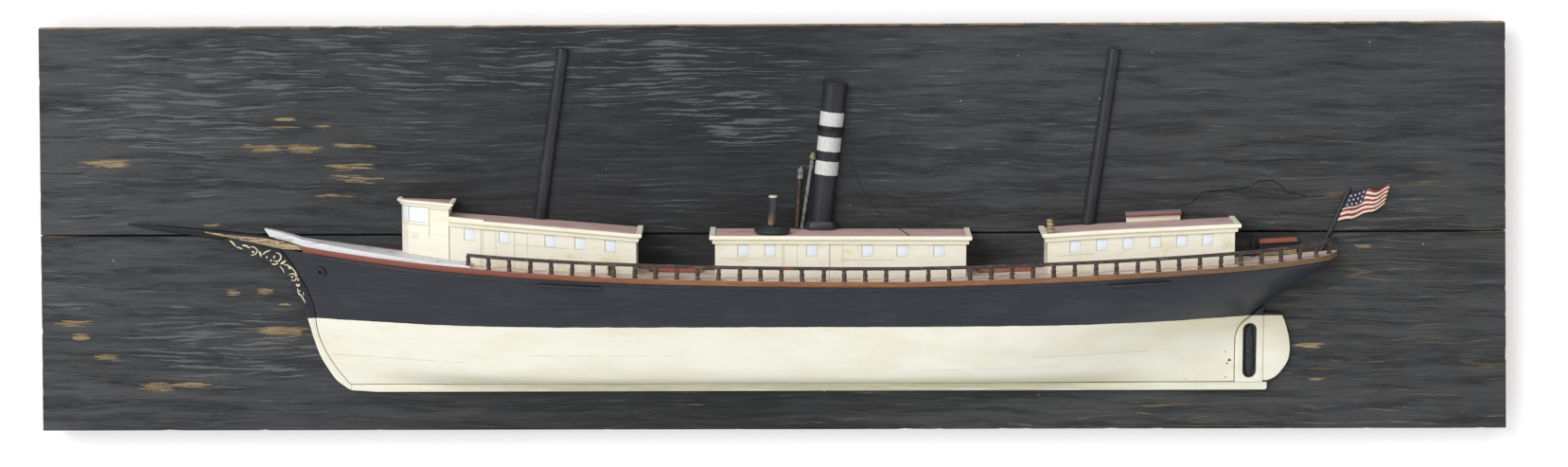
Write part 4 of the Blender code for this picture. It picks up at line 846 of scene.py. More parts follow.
def house_paint(houses):
    """Cream oil paint on thin wall boards: faint lines of the boards along it, yellowing in patches, olive
    soiling with painted shade in the joints and window recesses, and painted shade under the mouldings."""

    def yellowed_and_shaded(add, where, coat):
        cut = add("Attribute", attribute_name="cut", output="Fac")
        # Olive in the joints and window recesses: soiling with painted shade.
        coat = add(LAYER, add(TIMES, cut, 0.75), coat, houses.joint_soil_and_shade)
        stain = add(STEP, drawn_out(add, where, (26.0, 60.0, 14.0), 4.0), 0.56, 0.72, 0.0, 0.55)
        coat = add(LAYER, stain, coat, houses.stain)
        # Painted shade: faces that look down, under the mouldings, take the darker yellow tone.
        below = facing(add, "Z", -0.1, -0.5)
        coat = add(LAYER, add(TIMES, below, 0.6), coat, houses.stain)
        boards = drawn_out(add, where, (80.0, 80.0, 1.1), 3.0, 0.7)
        return add(LAYER, add(STEP, boards, 0.6, 0.74, 0.0, 0.4), coat, linear("#c9c3a6"))

    return brushed_paint(
        "house_cream_paint", houses.wall, linear("#f4f0e4"), (34.0, 34.0, 1.0), 0.5, 0.14, layers=[yellowed_and_shaded]
    )


def pane_paint(houses):
    """Pale blue paint under a thin varnish, smooth enough to catch the lamp: it stands for glass."""
    return brushed_paint("pale_blue_panes", houses.pane, linear("#e9eef4"), (6.0, 6.0, 3.0), 0.28, 0.03)


def roof_paint(houses):
    """Red-brown paint on the roofs, dulled by dust, with deeper red runs where it was wiped."""

    def runs(add, where, coat):
        red = add(STEP, drawn_out(add, where, (90.0, 12.0, 12.0), 5.0, 0.7), 0.56, 0.66, 0.0, 0.8)
        coat = add(LAYER, red, coat, houses.roof_fresh)
        dust = add(STEP, drawn_out(add, where, (40.0, 7.0, 20.0), 5.0), 0.5, 0.74, 0.0, 0.6)
        return add(LAYER, dust, coat, linear("#cdb7b2"))

    return brushed_paint(
        "roof_red_paint", houses.roof, linear("#d0b5af"), (48.0, 2.2, 10.0), 0.6, 0.14, layers=[runs]
    )


def deck_paint(deck):
    """Brown paint rubbed through on the deck: mauve-tan and lined on top, orange-brown along its edge."""

    def top_and_bow(add, where, coat):
        aft = measure(add, where, "X", -0.42, -0.10)
        coat = add(LAYER, add("Math", 1.0, aft, operation="SUBTRACT"), coat, deck.edge_bow)
        stern = measure(add, where, "X", 0.20, 0.60)
        mottle = add(STEP, drawn_out(add, where, (7.0, 5.0, 3.0), 5.0, 0.7), 0.38, 0.56)
        coat = add(LAYER, add(TIMES, stern, mottle), coat, linear("#655640"))
        dark = add(STEP, drawn_out(add, where, (14.0, 12.0, 2.2), 5.0, 0.7), 0.58, 0.7, 0.0, 0.6)
        coat = add(LAYER, dark, coat, linear("#5b3527"))
        lines = drawn_out(add, where, (120.0, 1.8, 20.0), 3.0, 0.7)
        top = add(LAYER, add(STEP, lines, 0.42, 0.62), deck.top, linear("#b39a8c"))
        top = add(LAYER, add(STEP, drawn_out(add, where, (60.0, 8.0, 20.0), 4.0), 0.56, 0.7), top, deck.red)
        return add(LAYER, facing(add, "Z", 0.55, 0.85), coat, top)

    return brushed_paint(
        "deck_brown_paint", deck.edge, linear("#94663f"), (40.0, 20.0, 1.6), 0.58, layers=[top_and_bow]
    )


def rail_paint(deck):
    """Dark brown varnish paint on turned posts, worn through to greyed wood and touched with red lead at
    some feet."""

    def touched(add, where, coat):
        x = add("SeparateXYZ", where, output="X")
        per_post = add(
            "TexWhiteNoise",
            {"W": add("Math", add(TIMES, add(PLUS, x, 0.3873), 1 / deck.pitch), operation="FLOOR")},
            noise_dimensions="1D", output="Value"
        )
        red = add(
            TIMES, add(STEP, per_post, 0.9, 0.92),
            add(STEP, drawn_out(add, where, (8.0, 8.0, 5.0), 4.0), 0.44, 0.56)
        )
        coat = add(LAYER, add(TIMES, red, 0.55), coat, deck.red)
        aft = measure(add, where, "X", 0.52, 0.60)
        pale = add(
            TIMES, add(TIMES, aft, facing(add, "Z", 0.5, 0.8)),
            add(STEP, drawn_out(add, where, (14.0, 8.0, 5.0), 5.0), 0.36, 0.56)
        )
        return add(LAYER, add(TIMES, pale, 0.8), coat, deck.rail_worn)

    under = (deck.rail_worn, 0.35, (10.0, 6.0, 3.0))
    return brushed_paint(
        "railing_brown_paint", deck.rail, linear("#40342e"), (14.0, 5.0, 2.0), 0.42, worn=under,
        layers=[touched]
    )


def foredeck_paint(deck):
    """White paint on the raised foredeck, rubbed to blue-grey patches at its sides and red-brown along the
    top, with a painted highlight on its faces turned forward, towards the lamp."""

    def topped_and_highlit(add, where, coat):
        inboard = add(
            TIMES, facing(add, "Z", 0.5, 0.85),
            measure(add, where, "Y", BOARD_FACE - 0.01, BOARD_FACE - 0.006)
        )
        inboard = add(TIMES, inboard, measure(add, where, "X", -0.56, -0.46))
        coat = add(LAYER, inboard, coat, linear("#a5665c"))
        # Painted highlight: faces turned forward, towards the lamp, are paler.
        return add(LAYER, facing(add, "X", -0.4, -0.8), coat, linear("#e4e2dd"))

    under = (linear("#b0afb5"), 0.32, (34.0, 20.0, 2.2))
    return brushed_paint(
        "foredeck_white_paint", deck.foredeck, linear("#d2d1d3"), (30.0, 12.0, 1.2), 0.6, worn=under,
        layers=[topped_and_highlit]
    )


def bare_wood(deck):
    """Old wood with its varnish gone: tan, with open dark pores drawn along the grain."""
    under = (linear("#4a3a29"), 0.45, (16.0, 6.0, 1.1))
    return brushed_paint(
        "bare_old_wood", deck.wood, linear("#bda582"), (30.0, 6.0, 0.9), 0.66, 0.2, worn=under
    )


def lid_paint(deck):
    """Orange-brown oil paint on lids and hatches, dulled and worn at the rims."""
    under = (linear("#8a7265"), 0.35, (18.0, 10.0, 4.0))
    return brushed_paint("lid_orange_paint", deck.lid, linear("#95543d"), (26.0, 8.0, 2.0), 0.55, worn=under)


def spar_paint(funnel):
    """Blue-black satin paint on planed spars, brushed along them: fine strokes upwards and a soft long
    highlight."""
    under = (linear("#4a4b50"), 0.10, (4.0, 4.0, 22.0))
    return brushed_paint(
        "spar_black_paint", funnel.black, linear("#33343b"), (1.4, 1.4, 40.0), 0.38, 0.06, worn=under,
        gloss=0.32
    )


BANDS = ((0.1222, 0.1398), (0.0908, 0.1088), (0.0612, 0.0784))


def funnel_paint(funnel):
    """The spars' black on the funnel, with three white bands brushed round it that let upright strokes
    through."""

    def banded(add, where, coat):
        rake = math.atan2(FUNNEL_HEAD[0] - FUNNEL_FOOT[0], FUNNEL_HEAD[1] - FUNNEL_FOOT[1])
        offset = add("VectorMath", where, (FUNNEL_FOOT[0], 0.0, FUNNEL_FOOT[1]), operation="SUBTRACT")
        up = add(
            "VectorMath", offset, (math.sin(rake), 0.0, math.cos(rake)), operation="DOT_PRODUCT",
            output="Value"
        )
        up = add(PLUS, up, add(TIMES, add(PLUS, drawn_out(add, where, (5.0, 5.0, 60.0), 3.0), -0.5), 0.0014))
        brush = add(STEP, drawn_out(add, where, (0.9, 0.9, 9.0), 4.0, 0.7), 0.36, 0.58)
        white = add(LAYER, brush, linear("#bdbdbc"), funnel.band)
        for low, high in BANDS:
            inside = add(
                TIMES, add(STEP, up, low - 0.0002, low + 0.0002), add(STEP, up, high + 0.0002, high - 0.0002)
            )
            coat = add(LAYER, inside, coat, white)
        return coat

    return brushed_paint(
        "funnel_banded_paint", funnel.black, linear("#31323a"), (1.4, 1.4, 40.0), 0.36, 0.06, layers=[banded],
        gloss=0.32
    )


def dark_iron(funnel):
    """Wrought iron wire and strap, dark with old lacquer, with brown rust on it: mostly dull, bright at a
    rubbed spot."""
    material, shader, add, where = start_finish("dark_iron")
    rust = add(STEP, drawn_out(add, where, (2.5, 2.5, 2.5), 5.0, 0.7), 0.48, 0.66)
    coat = add(LAYER, add(TIMES, rust, 0.4), funnel.iron, linear("#49352a"))
    shader.inputs["Metallic"].default_value = 0.3
    return finish_off(material, shader, add, coat, 0.5, rust, 0.06)


def slate_grey(funnel):
    """Grey-green paint on the funnel's base and the ventilator's saucer, rubbed pale along the rims."""
    under = (linear("#6c716f"), 0.22, (12.0, 8.0, 4.0))
    return brushed_paint(
        "slate_grey_paint", funnel.slate, linear("#363b3c"), (16.0, 8.0, 3.0), 0.42, worn=under
    )


def grey_paint(funnel):
    """Grey metal paint on the pipe and the lantern, worn to dark lead in places."""
    under = (linear("#45474a"), 0.50, (2.4, 2.4, 7.0))
    return brushed_paint(
        "grey_metal_paint", funnel.grey, linear("#6f7271"), (1.0, 1.0, 9.0), 0.38, 0.06, worn=under
    )


def gilding(hull):
    """Oil gilding on the bow scrolls, gone to a cream-gold size with dark breaks."""
    under = (linear("#5c5238"), 0.10, (2.6, 2.6, 2.0))
    return brushed_paint(
        "old_gilding", hull.scroll, linear("#cfc390"), (2.0, 2.0, 1.6), 0.45, 0.05, worn=under
    )


def bowsprit_paint():
    """The topsides' paint on the bowsprit, thick and unrubbed, so that it stays darker than the board
    behind it."""
    return brushed_paint(
        "bowsprit_paint", linear("#16171c"), linear("#24262d"), (30.0, 4.0, 2.0), 0.36, 0.08, gloss=0.3
    )


def black_paint(hull):
    """The topsides' blue-black on small carved pieces, with dust in its strokes."""
    under = (linear("#4a4b50"), 0.12, (12.0, 8.0, 2.0))
    return brushed_paint(
        "fitting_black_paint", hull.topsides, linear("#33353d"), (18.0, 8.0, 1.4), 0.42, worn=under,
        gloss=0.3
    )


def brown_paint():
    """Brown paint on the galley pipe, the bitt and the vent's foot, with a tan rub where it was handled."""
    under = (linear("#9a7850"), 0.22, (2.6, 2.6, 8.0))
    return brushed_paint(
        "pipe_brown_paint", linear("#3d2b22"), linear("#513a2b"), (1.4, 1.4, 8.0), 0.42, worn=under
    )


def flag_paint(flag):
    """Flat artist's colours on the carved flag: stripes that follow its folds and a dark blue canton."""
    material, shader, add, where = start_finish("flag_oil_paint")
    fly = add("Attribute", attribute_name="fly", output="Fac")
    hoist = add("Attribute", attribute_name="hoist", output="Fac")
    wander = add(TIMES, add(PLUS, drawn_out(add, where, (5.0, 5.0, 3.0), 3.0), -0.5), 0.05)
    level = add(TIMES, add(PLUS, hoist, wander), 5.0)
    within = add("Math", level, operation="FRACT")
    white = add(TIMES, add(STEP, within, 0.54, 0.46), add(STEP, within, 0.0, 0.04))
    stripes = add(LAYER, white, flag.red, flag.white)
    canton = add(TIMES, add(STEP, fly, 0.46, 0.44), add(STEP, hoist, 0.44, 0.47))
    coat = add(LAYER, canton, stripes, flag.blue)
    grime = add(STEP, drawn_out(add, where, (3.0, 3.0, 2.0), 4.0), 0.52, 0.7, 0.0, 0.5)
    coat = add(LAYER, grime, coat, linear("#5f4a3e"))
    return finish_off(material, shader, add, coat, 0.5, within, 0.08)


def stage_paint(name, shade, glow=None):
    """Matt white emulsion of the stage. A backdrop glows, and is open from behind so that the back can be
    seen."""
    material, shader, add, where = start_finish(name)
    mottled = drawn_out(add, where, (400.0, 400.0, 400.0), 2.0)
    coat = add(LAYER, add(STEP, mottled, 0.3, 0.7, 0.0, 0.2), shade, tuple((0.97 * c for c in shade)))
    finish_off(material, shader, add, coat, 0.9, mottled, 0.1)
    if glow:
        shader.inputs["Emission Color"].default_value = (1.0, 1.0, 1.0, 1.0)
        shader.inputs["Emission Strength"].default_value = glow
        tree = material.node_tree
        behind = add("NewGeometry", output="Backfacing")
        clear = add("BsdfTransparent")
        mixed = add("MixShader", behind, shader.outputs[0], clear)
        tree.links.new(mixed, tree.nodes["Material Output"].inputs["Surface"])
    return material


def skylight_paint(settings):
    """The skylight's cover: mauve-grey where dust lies on top, orange-brown along its edge."""

    def dusted(add, where, coat):
        return add(LAYER, facing(add, "Z", 0.5, 0.8), coat, linear("#8e7a80"))

    deck = settings.deck
    return brushed_paint("skylight_cover_paint", deck.lid, deck.edge, (26.0, 8.0, 2.0), 0.55, layers=[dusted])


def vent_paint(settings):
    """Black on the ventilator's pipe, a cream cap painted at its top and a tan painted highlight low
    on its left, where it faces the lamp.
    """

    def capped(add, where, coat):
        z = add("SeparateXYZ", where, output="Z")
        x = add("SeparateXYZ", where, output="X")
        # Painted highlight: tan low on the pipe's left side, which faces the lamp.
        rub = add(TIMES, add(STEP, z, 0.024, 0.016), add(STEP, x, 0.001, -0.003))
        rub = add(TIMES, rub, add(STEP, drawn_out(add, where, (3.0, 3.0, 7.0), 4.0), 0.44, 0.52))
        coat = add(LAYER, rub, coat, linear("#8f7550"))
        return add(LAYER, add(STEP, z, 0.0427, 0.0431), coat, linear("#c9c3a9"))

    funnel = settings.funnel
    return brushed_paint(
        "vent_pipe_paint", funnel.black, linear("#3c3d44"), (1.4, 1.4, 20.0), 0.4, 0.06, layers=[capped]
    )


def whistle_paint():
    """Old yellow-green paint on the turned whistle, dark in its grooves."""
    under = (linear("#56523a"), 0.40, (2.4, 2.4, 1.6))
    return brushed_paint(
        "whistle_paint", linear("#8f9070"), linear("#66664b"), (2.0, 2.0, 1.2), 0.45, worn=under
    )


def star_paint(flag):
    """The white of the flag's stars, soiled like its stripes."""
    return brushed_paint("flag_star_paint", flag.white, linear("#c3b9a6"), (3.0, 3.0, 2.0), 0.5, 0.04)


def new_object(name, points, faces, finishes):
    """A mesh with its faces turned outwards, which holds its place in its own points."""
    mesh = bpy.data.meshes.new(name)
    mesh.from_pydata(points, [], faces)
    work = bmesh.new()
    work.from_mesh(mesh)
    bmesh.ops.recalc_face_normals(work, faces=work.faces)
    work.to_mesh(mesh)
    work.free()
    for finish in finishes:
        mesh.materials.append(finish)
    piece = bpy.data.objects.new(name, mesh)
    bpy.context.scene.collection.objects.link(piece)
    return piece


def round_edges(piece, width, segments=2, angle=38):
    modifier = piece.modifiers.new("rounded_edges", "BEVEL")
    modifier.width = width
    modifier.segments = segments
    modifier.limit_method = "ANGLE"
    modifier.angle_limit = math.radians(angle)


def carve(piece, *cutters):
    """Cuts shapes out of a piece and removes them."""
    for cutter in cutters:
        modifier = piece.modifiers.new("carve", "BOOLEAN")
        modifier.operation = "DIFFERENCE"
        modifier.object = cutter
    keep_result(piece)
    for cutter in cutters:
        bpy.data.objects.remove(cutter)


def keep_result(piece):
    """Replaces a piece's mesh by what its modifiers make of it."""
    bpy.context.view_layer.update()
    graph = bpy.context.evaluated_depsgraph_get()
    made = bpy.data.meshes.new_from_object(piece.evaluated_get(graph))
    piece.modifiers.clear()
    piece.data = made


def settle(piece, replaces=(), edge=0.0, sharp=28.0, segments=2):
    """Rounds a piece's edges and puts it in the frame, in the place of the nodes that it replaces."""
    if edge:
        round_edges(piece, edge, segments)
        keep_result(piece)
    piece.data.shade_smooth()
    piece.data.set_sharp_from_angle(angle=math.radians(sharp))
    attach(piece, "root")
    if replaces:
        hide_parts(*replaces)
    return piece


def ring_grid(rings):
    """Points and faces of a closed solid through rings of equal length, capped at both ends."""
    size = len(rings[0])
    points = [point for ring in rings for point in ring]
    faces = []
    for row in range(len(rings) - 1):
        for k in range(size):
            nearer = row * size + k
            other = row * size + (k + 1) % size
            faces.append((nearer, other, other + size, nearer + size))
    faces.append(tuple(range(size)))
    faces.append(tuple(range(len(points) - size, len(points))))
    return points, faces


def joined(*solids):
    """Several closed solids as one list of points and one of faces."""
    points, faces = [], []
    for more_points, more_faces in solids:
        faces += [tuple(index + len(points) for index in face) for face in more_faces]
        points += more_points
    return points, faces


def slab(stations, front, low, high, back=GAP):
    """A layer from the board out to front(x), between the heights low(x, out) and high(x, out)."""
    rings = []
    for x in stations:
        far = front(x)
        ring = [place(x, back, low(x, back)), place(x, far, low(x, far))]
        for k in range(7):
            out = far + (back - far) * k / 6
            ring.append(place(x, out, high(x, out)))
        rings.append(ring)
    return ring_grid(rings)


def plate(outline, back, front):
    """A flat piece: an outline of (x, z) points cut from a board, lying from back to front."""
    return ring_grid([[place(x, out, z) for x, z in outline] for out in (back, front)])


def block(left, right, back, front, low, high):
    """A box between two x values, two distances out and two heights, which may be functions of x."""
    low_at = low if callable(low) else lambda x: low
    high_at = high if callable(high) else lambda x: high
    rings = []
    for x in (left, right):
        ends = ((back, low_at(x)), (front, low_at(x)), (front, high_at(x)), (back, high_at(x)))
        rings.append([place(x, out, z) for out, z in ends])
    return ring_grid(rings)


def offset_path(path, distance):
    """The plan path moved outwards by a distance, with mitred corners."""
    result = []
    for i, (x, out) in enumerate(path):
        before = path[max(i - 1, 0)]
        after = path[min(i + 1, len(path) - 1)]
        normals = []
        for a, b in ((before, (x, out)), ((x, out), after)):
            dx, dy = b[0] - a[0], b[1] - a[1]
            run = math.hypot(dx, dy)
            if run > 0:
                normals.append((-dy / run, dx / run))
        nx = sum(n[0] for n in normals)
        ny = sum(n[1] for n in normals)
        run = math.hypot(nx, ny)
        nx, ny = nx / run, ny / run
        stretch = 1 / max(nx * normals[0][0] + ny * normals[0][1], 0.3)
        result.append((x + nx * distance * stretch, out + ny * distance * stretch))
    return result


def sweep(path, profile, height, ledge=None):
    """A moulding: a profile of (offset, z) run along a plan path on top of height(x, out).

    A ledge, as (x, rise), lifts the moulding's top edge up to that x.
    """
    rows = [(offset_path(path, offset), dz) for offset, dz in profile]
    rings = []
    for i, (x, out) in enumerate(path):
        base = height(x, out)
        lift = ledge[1] if ledge and x < ledge[0] else 0.0
        rings.append(
            [place(row[i][0], max(row[i][1], GAP), base + dz + lift * (dz > -0.0008)) for (row, dz) in rows]
        )
    return ring_grid(rings)


def half_round(foot, head, radii, grow=0.0, sunk=0.0, sides=28, seat=None):
    """A D-shaped spar with its flat on the board, from foot to head.

    radii are (fraction of the length, radius). A seat is the height, at (x, out), of what the foot is cut
    to fit.
    """
    span = math.dist(foot, head)
    lean = math.atan2(head[0] - foot[0], head[1] - foot[1])
    turn = Matrix.Translation(place(foot[0], 0.0, foot[1])) @ Matrix.Rotation(lean, 4, "Y")
    rings = []
    for fraction, radius in radii:
        wide = radius + grow
        ring = []
        for k in range(sides + 1):
            across = wide * math.cos(math.pi * k / sides)
            out = GAP + wide * math.sin(math.pi * k / sides)
            height = span * fraction
            if seat and fraction == 0:
                rise = seat(foot[0] + across, out) + GAP - foot[1]
                height = (rise + across * math.sin(lean)) / math.cos(lean)
            ring.append(Vector((across, -out, height)))
        if sunk:
            ring.insert(0, Vector((ring[0].x, sunk, ring[0].z)))
            ring.append(Vector((ring[-1].x, sunk, ring[-1].z)))
        rings.append([turn @ point for point in ring])
    return ring_grid(rings)


def turned(profile, sides=28, lean=0.0, tilt=0.0, at=(0, 0, 0)):
    """A lathe-turned solid from (radius, z) points, standing at a place and leaning in the board's plane."""
    turn = Matrix.Translation(place(*at)) @ Matrix.Rotation(lean, 4, "Y") @ Matrix.Rotation(tilt, 4, "X")
    rings = []
    for radius, z in profile:
        ring = []
        for k in range(sides):
            angle = 2 * math.pi * k / sides
            ring.append(turn @ Vector((radius * math.cos(angle), radius * math.sin(angle), z)))
        rings.append(ring)
    return ring_grid(rings)


def value_noise(rng, xs, zs, size_x, size_z):
    """Smooth noise in -1..1 on a grid of places, with blots of a size along X and Z."""
    columns = int((xs.max() - xs.min()) / size_x) + 4
    rows = int((zs.max() - zs.min()) / size_z) + 4
    table = rng.uniform(-1.0, 1.0, (columns, rows))
    u = (xs - xs.min()) / size_x + 0.5
    v = (zs - zs.min()) / size_z + 0.5
    i, j = np.floor(u).astype(int), np.floor(v).astype(int)
    a, b = u - i, v - j
    a, b = a * a * (3 - 2 * a), b * b * (3 - 2 * b)
    low = table[i, j] * (1 - a) + table[i + 1, j] * a
    high = table[i, j + 1] * (1 - a) + table[i + 1, j + 1] * a
    return low * (1 - b) + high * b


PLANK_COLUMNS = 330
PLANK_ROWS = 130
EDGE_STEPS_MM = (0.0, 0.25, 0.6, 1.1, 1.8, 3.0)
EDGE_ROUND = 0.0014
# Places where the paint has rubbed off the board: middle and half size, as (x, z, half width, half height).
BARE_PATCHES = (
    (-0.6085, 0.1354, 0.016, 0.0024),
    (-0.6110, 0.1259, 0.018, 0.0020),
    (-0.5627, 0.1259, 0.013, 0.0024),
    (-0.6360, 0.0985, 0.026, 0.0062),
    (-0.5850, 0.1000, 0.026, 0.0056),
    (-0.5254, 0.1022, 0.030, 0.0026),
    (-0.8311, 0.0797, 0.034, 0.0052),
    (-0.5258, 0.0761, 0.034, 0.0046),
    (-0.5213, 0.0607, 0.036, 0.0046),
    (-0.5429, 0.0393, 0.026, 0.0034),
    (-0.7006, 0.0024, 0.020, 0.0012),
    (-0.6750, -0.0824, 0.010, 0.0046),
    (-0.6359, -0.0812, 0.012, 0.0046),
    (-0.6090, -0.0967, 0.007, 0.0020),
    (-0.6167, -0.1315, 0.032, 0.0080),
    (-0.8333, -0.1639, 0.018, 0.0046),
    (-0.8738, -0.1207, 0.024, 0.0040),
    (-0.8683, -0.1387, 0.012, 0.0046),
    (-0.7724, -0.2024, 0.022, 0.0066),
    (-0.7272, -0.2000, 0.028, 0.0040),
    (0.6703, -0.1495, 0.020, 0.0050),
    (0.6806, -0.1916, 0.012, 0.0026),
    (0.7366, -0.0238, 0.012, 0.0020),
    (0.1861, 0.1259, 0.0022, 0.0170),
)


# Places where the raised grain is rubbed grey, as (x, z, half width, half height, strength).
RUBBED_PATCHES = (
    (-0.600, 0.200, 0.36, 0.062, 0.85),
    (-0.757, 0.135, 0.15, 0.060, 1.0),
    (-0.200, 0.200, 0.28, 0.060, 0.85),
    (-0.040, 0.140, 0.11, 0.050, 0.95),
    (-0.690, -0.150, 0.16, 0.062, 0.95),
    (-0.640, 0.060, 0.16, 0.040, 0.45),
    (-0.850, 0.040, 0.10, 0.090, 0.55),
    (-0.870, -0.070, 0.08, 0.060, 0.45),
    (-0.430, 0.110, 0.12, 0.050, 0.45),
    (0.160, 0.180, 0.14, 0.080, 0.40),
    (0.650, 0.010, 0.26, 0.060, 0.35),
    (0.300, 0.120, 0.20, 0.060, 0.30),
)
RUBBED_ELSEWHERE = 0.16
# Places where the late wood shows through as tan lines.
RINGED_PATCHES = (
    (0.620, -0.236, 0.36, 0.032, 0.80),
    (0.780, -0.170, 0.16, 0.060, 0.85),
    (0.720, -0.080, 0.20, 0.060, 0.55),
    (0.780, 0.020, 0.20, 0.070, 0.60),
    (0.560, 0.110, 0.14, 0.040, 0.22),
    (0.000, -0.236, 0.50, 0.022, 0.20),
    (-0.760, -0.190, 0.20, 0.050, 0.18),
)


def patch_share(x, z, patches, elsewhere=0.0):
    """How strongly each place of the board lies in one of a set of soft-edged patches."""
    share = np.full_like(x, elsewhere)
    for at_x, at_z, half_x, half_z, strength in patches:
        far = ((x - at_x) / half_x) ** 2 + ((z - at_z) / half_z) ** 2
        share = np.maximum(share, strength * np.clip(1.25 - far, 0, 1))
    return share


def graded(count, span_mm):
    """Fractions along an edge that crowd at both ends for its rounding."""
    ends = [step / span_mm for step in EDGE_STEPS_MM]
    inner = [ends[-1] + (1 - 2 * ends[-1]) * (k + 1) / (count + 1) for k in range(count)]
    return np.array(ends + inner + [1 - e for e in reversed(ends)])


def weathered_plank(name, corners, board, seed, finish):
    """One plank: a worn front with raised grain, ragged rounded edges and a flat back. corners run clockwise
    from the top left, as (x, z)."""
    rng = np.random.default_rng(seed)
    (tlx, tlz), (trx, trz), (brx, brz), (blx, blz) = corners
    s = graded(PLANK_COLUMNS, (trx - tlx) / MM)[:, None]
    t = graded(PLANK_ROWS, (tlz - blz) / MM)[None, :]
    x = (tlx * (1 - s) + trx * s) * (1 - t) + (blx * (1 - s) + brx * s) * t
    z = (tlz * (1 - s) + trz * s) * (1 - t) + (blz * (1 - s) + brz * s) * t
    edges = (
        (s * (trx - tlx) + 0 * t, (1.0, 0.0), x * 0 + z),
        ((1 - s) * (trx - tlx) + 0 * t, (-1.0, 0.0), x * 0 + z),
        (t * (tlz - blz) + 0 * s, (0.0, -1.0), x),
        ((1 - t) * (tlz - blz) + 0 * s, (0.0, 1.0), x),
    )
    nearest = np.minimum.reduce([edge[0] for edge in edges])
    moved_x, moved_z = x.copy(), z.copy()
    for number, (away, inward, place_along) in enumerate(edges):
        along_it = place_along - place_along.min()
        slow = 0.5 + 0.5 * value_noise(rng, along_it, along_it * 0, 0.09, 1.0)
        chip = np.clip(value_noise(rng, along_it, along_it * 0, 0.011, 1.0) - 0.35, 0, 1) * 1.5
        bite = 0.3 * board.chipping * slow + board.chipping * chip
        share = np.exp(-away / 0.004)
        moved_x += inward[0] * bite * share
        moved_z += inward[1] * bite * share
    depth = EDGE_ROUND - np.sqrt(np.maximum(EDGE_ROUND**2 - np.maximum(EDGE_ROUND - nearest, 0) ** 2, 0))
    sway = 0.012 * value_noise(rng, x, z, 0.16, 0.05)
    ridges = value_noise(rng, x, z + sway, 0.11, 0.0036) + 0.5 * value_noise(rng, x, z + sway, 0.05, 0.0021)
    hollows = np.clip(0.5 - 0.5 * ridges, 0, 1) * np.clip(nearest / 0.004, 0, 1)
    bare = np.zeros_like(x)
    for at_x, at_z, half_x, half_z in BARE_PATCHES:
        far = ((x - at_x) / half_x) ** 2 + ((z - at_z) / half_z) ** 2
        bare = np.maximum(bare, np.clip(1.15 - 0.75 * far, 0, 1))
    depth = depth + board.relief * (0.8 * hollows + 0.5 * (bare > 0.5))
    columns, rows = x.shape
    points = np.stack([moved_x, BOARD_FACE + depth, moved_z], axis=-1).reshape(-1, 3)
    number = np.arange(columns * rows).reshape(columns, rows)
    quads = np.stack([number[:-1, :-1], number[1:, :-1], number[1:, 1:], number[:-1, 1:]], axis=-1).reshape(
        -1, 4
    )
    border = list(number[:, 0]) + list(number[-1, 1:]) + list(number[-2::-1, -1]) + list(number[0, -2:0:-1])
    behind = points[border].copy()
    behind[:, 1] = -PLANK_THICKNESS - GAP
    first = len(points)
    points = np.concatenate([points, behind])
    faces = [tuple(int(i) for i in quad) for quad in quads]
    count = len(border)
    for k in range(count):
        after = (k + 1) % count
        faces.append((int(border[k]), int(border[after]), first + after, first + k))
    faces.append(tuple(range(first, first + count)))
    piece = new_object(name, [tuple(p) for p in points], faces, [finish])
    shares = {
        "bare": bare,
        "rubbed": patch_share(x, z, RUBBED_PATCHES, RUBBED_ELSEWHERE),
        "ringed": patch_share(x, z, RINGED_PATCHES),
    }
    for kind, share in shares.items():
        attribute = piece.data.attributes.new(kind, "FLOAT", "POINT")
        attribute.data.foreach_set(
            "value", np.concatenate([share.reshape(-1), np.zeros(count)]).astype(np.float32)
        )
    return piece


class HALFHULL_OT_backboard(bpy.types.Operator):
    """Builds the two weathered planks and paints the battens behind them"""

    bl_idname = "half_hull.backboard"
    bl_label = "Backboard"

    def execute(self, context):
        board = context.scene.half_hull.board
        finish = slate_paint(board)
        half_gap = board.seam / 2
        left, right = BOARD_LEFT, BOARD_RIGHT
        upper = [
            (left + BOARD_SKEW / 2, BOARD_TOP[0]),
            (right - BOARD_SKEW, BOARD_TOP[1]),
            (right, PLANK_SEAM[1] + half_gap),
            (left, PLANK_SEAM[0] + half_gap),
        ]
        lower = [
            (left, PLANK_SEAM[0] - half_gap),
            (right, PLANK_SEAM[1] - half_gap),
            (right + BOARD_SKEW, BOARD_BOTTOM[1]),
            (left - BOARD_SKEW / 2, BOARD_BOTTOM[0]),
        ]
        for name, node, corners, seed in (
            ("upper_board", "upper_plank", upper, 11),
            ("lower_board", "lower_plank", lower, 12),
        ):
            settle(weathered_plank(name, corners, board, seed, finish), [node], sharp=50)
        pine = sawn_pine(board)
        for node in ("batten_left", "batten_middle", "batten_right"):
            dress(node, pine)
        return {"FINISHED"}


def dress(node, finish):
    """Gives a solid that stays as it is its finish."""
    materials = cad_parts[node].data.materials
    materials.clear()
    materials.append(finish)


HULL_ROWS_BELOW = 26
HULL_ROWS_ABOVE = 16


def hull_rows():
    """Height functions of the hull's rows, from the keel to the deck, with one on the waterline."""
    rows = []
    for j in range(HULL_ROWS_BELOW):
        part = (j / HULL_ROWS_BELOW) ** 1.5
        rows.append(lambda x, p=part: KEEL_TOP + GAP + trim(x) + (WATERLINE - KEEL_TOP - GAP) * p)
    for j in range(HULL_ROWS_ABOVE):
        part = j / HULL_ROWS_ABOVE
        rows.append(lambda x, p=part: (WATERLINE + trim(x)) * (1 - p) + (sheer(x) - MOULDING_HEIGHT) * p)
    rows.append(lambda x: sheer(x) - MOULDING_HEIGHT)
    rows.append(lambda x: sheer(x) - MOULDING_HEIGHT / 2)
    rows.append(sheer)
    return rows


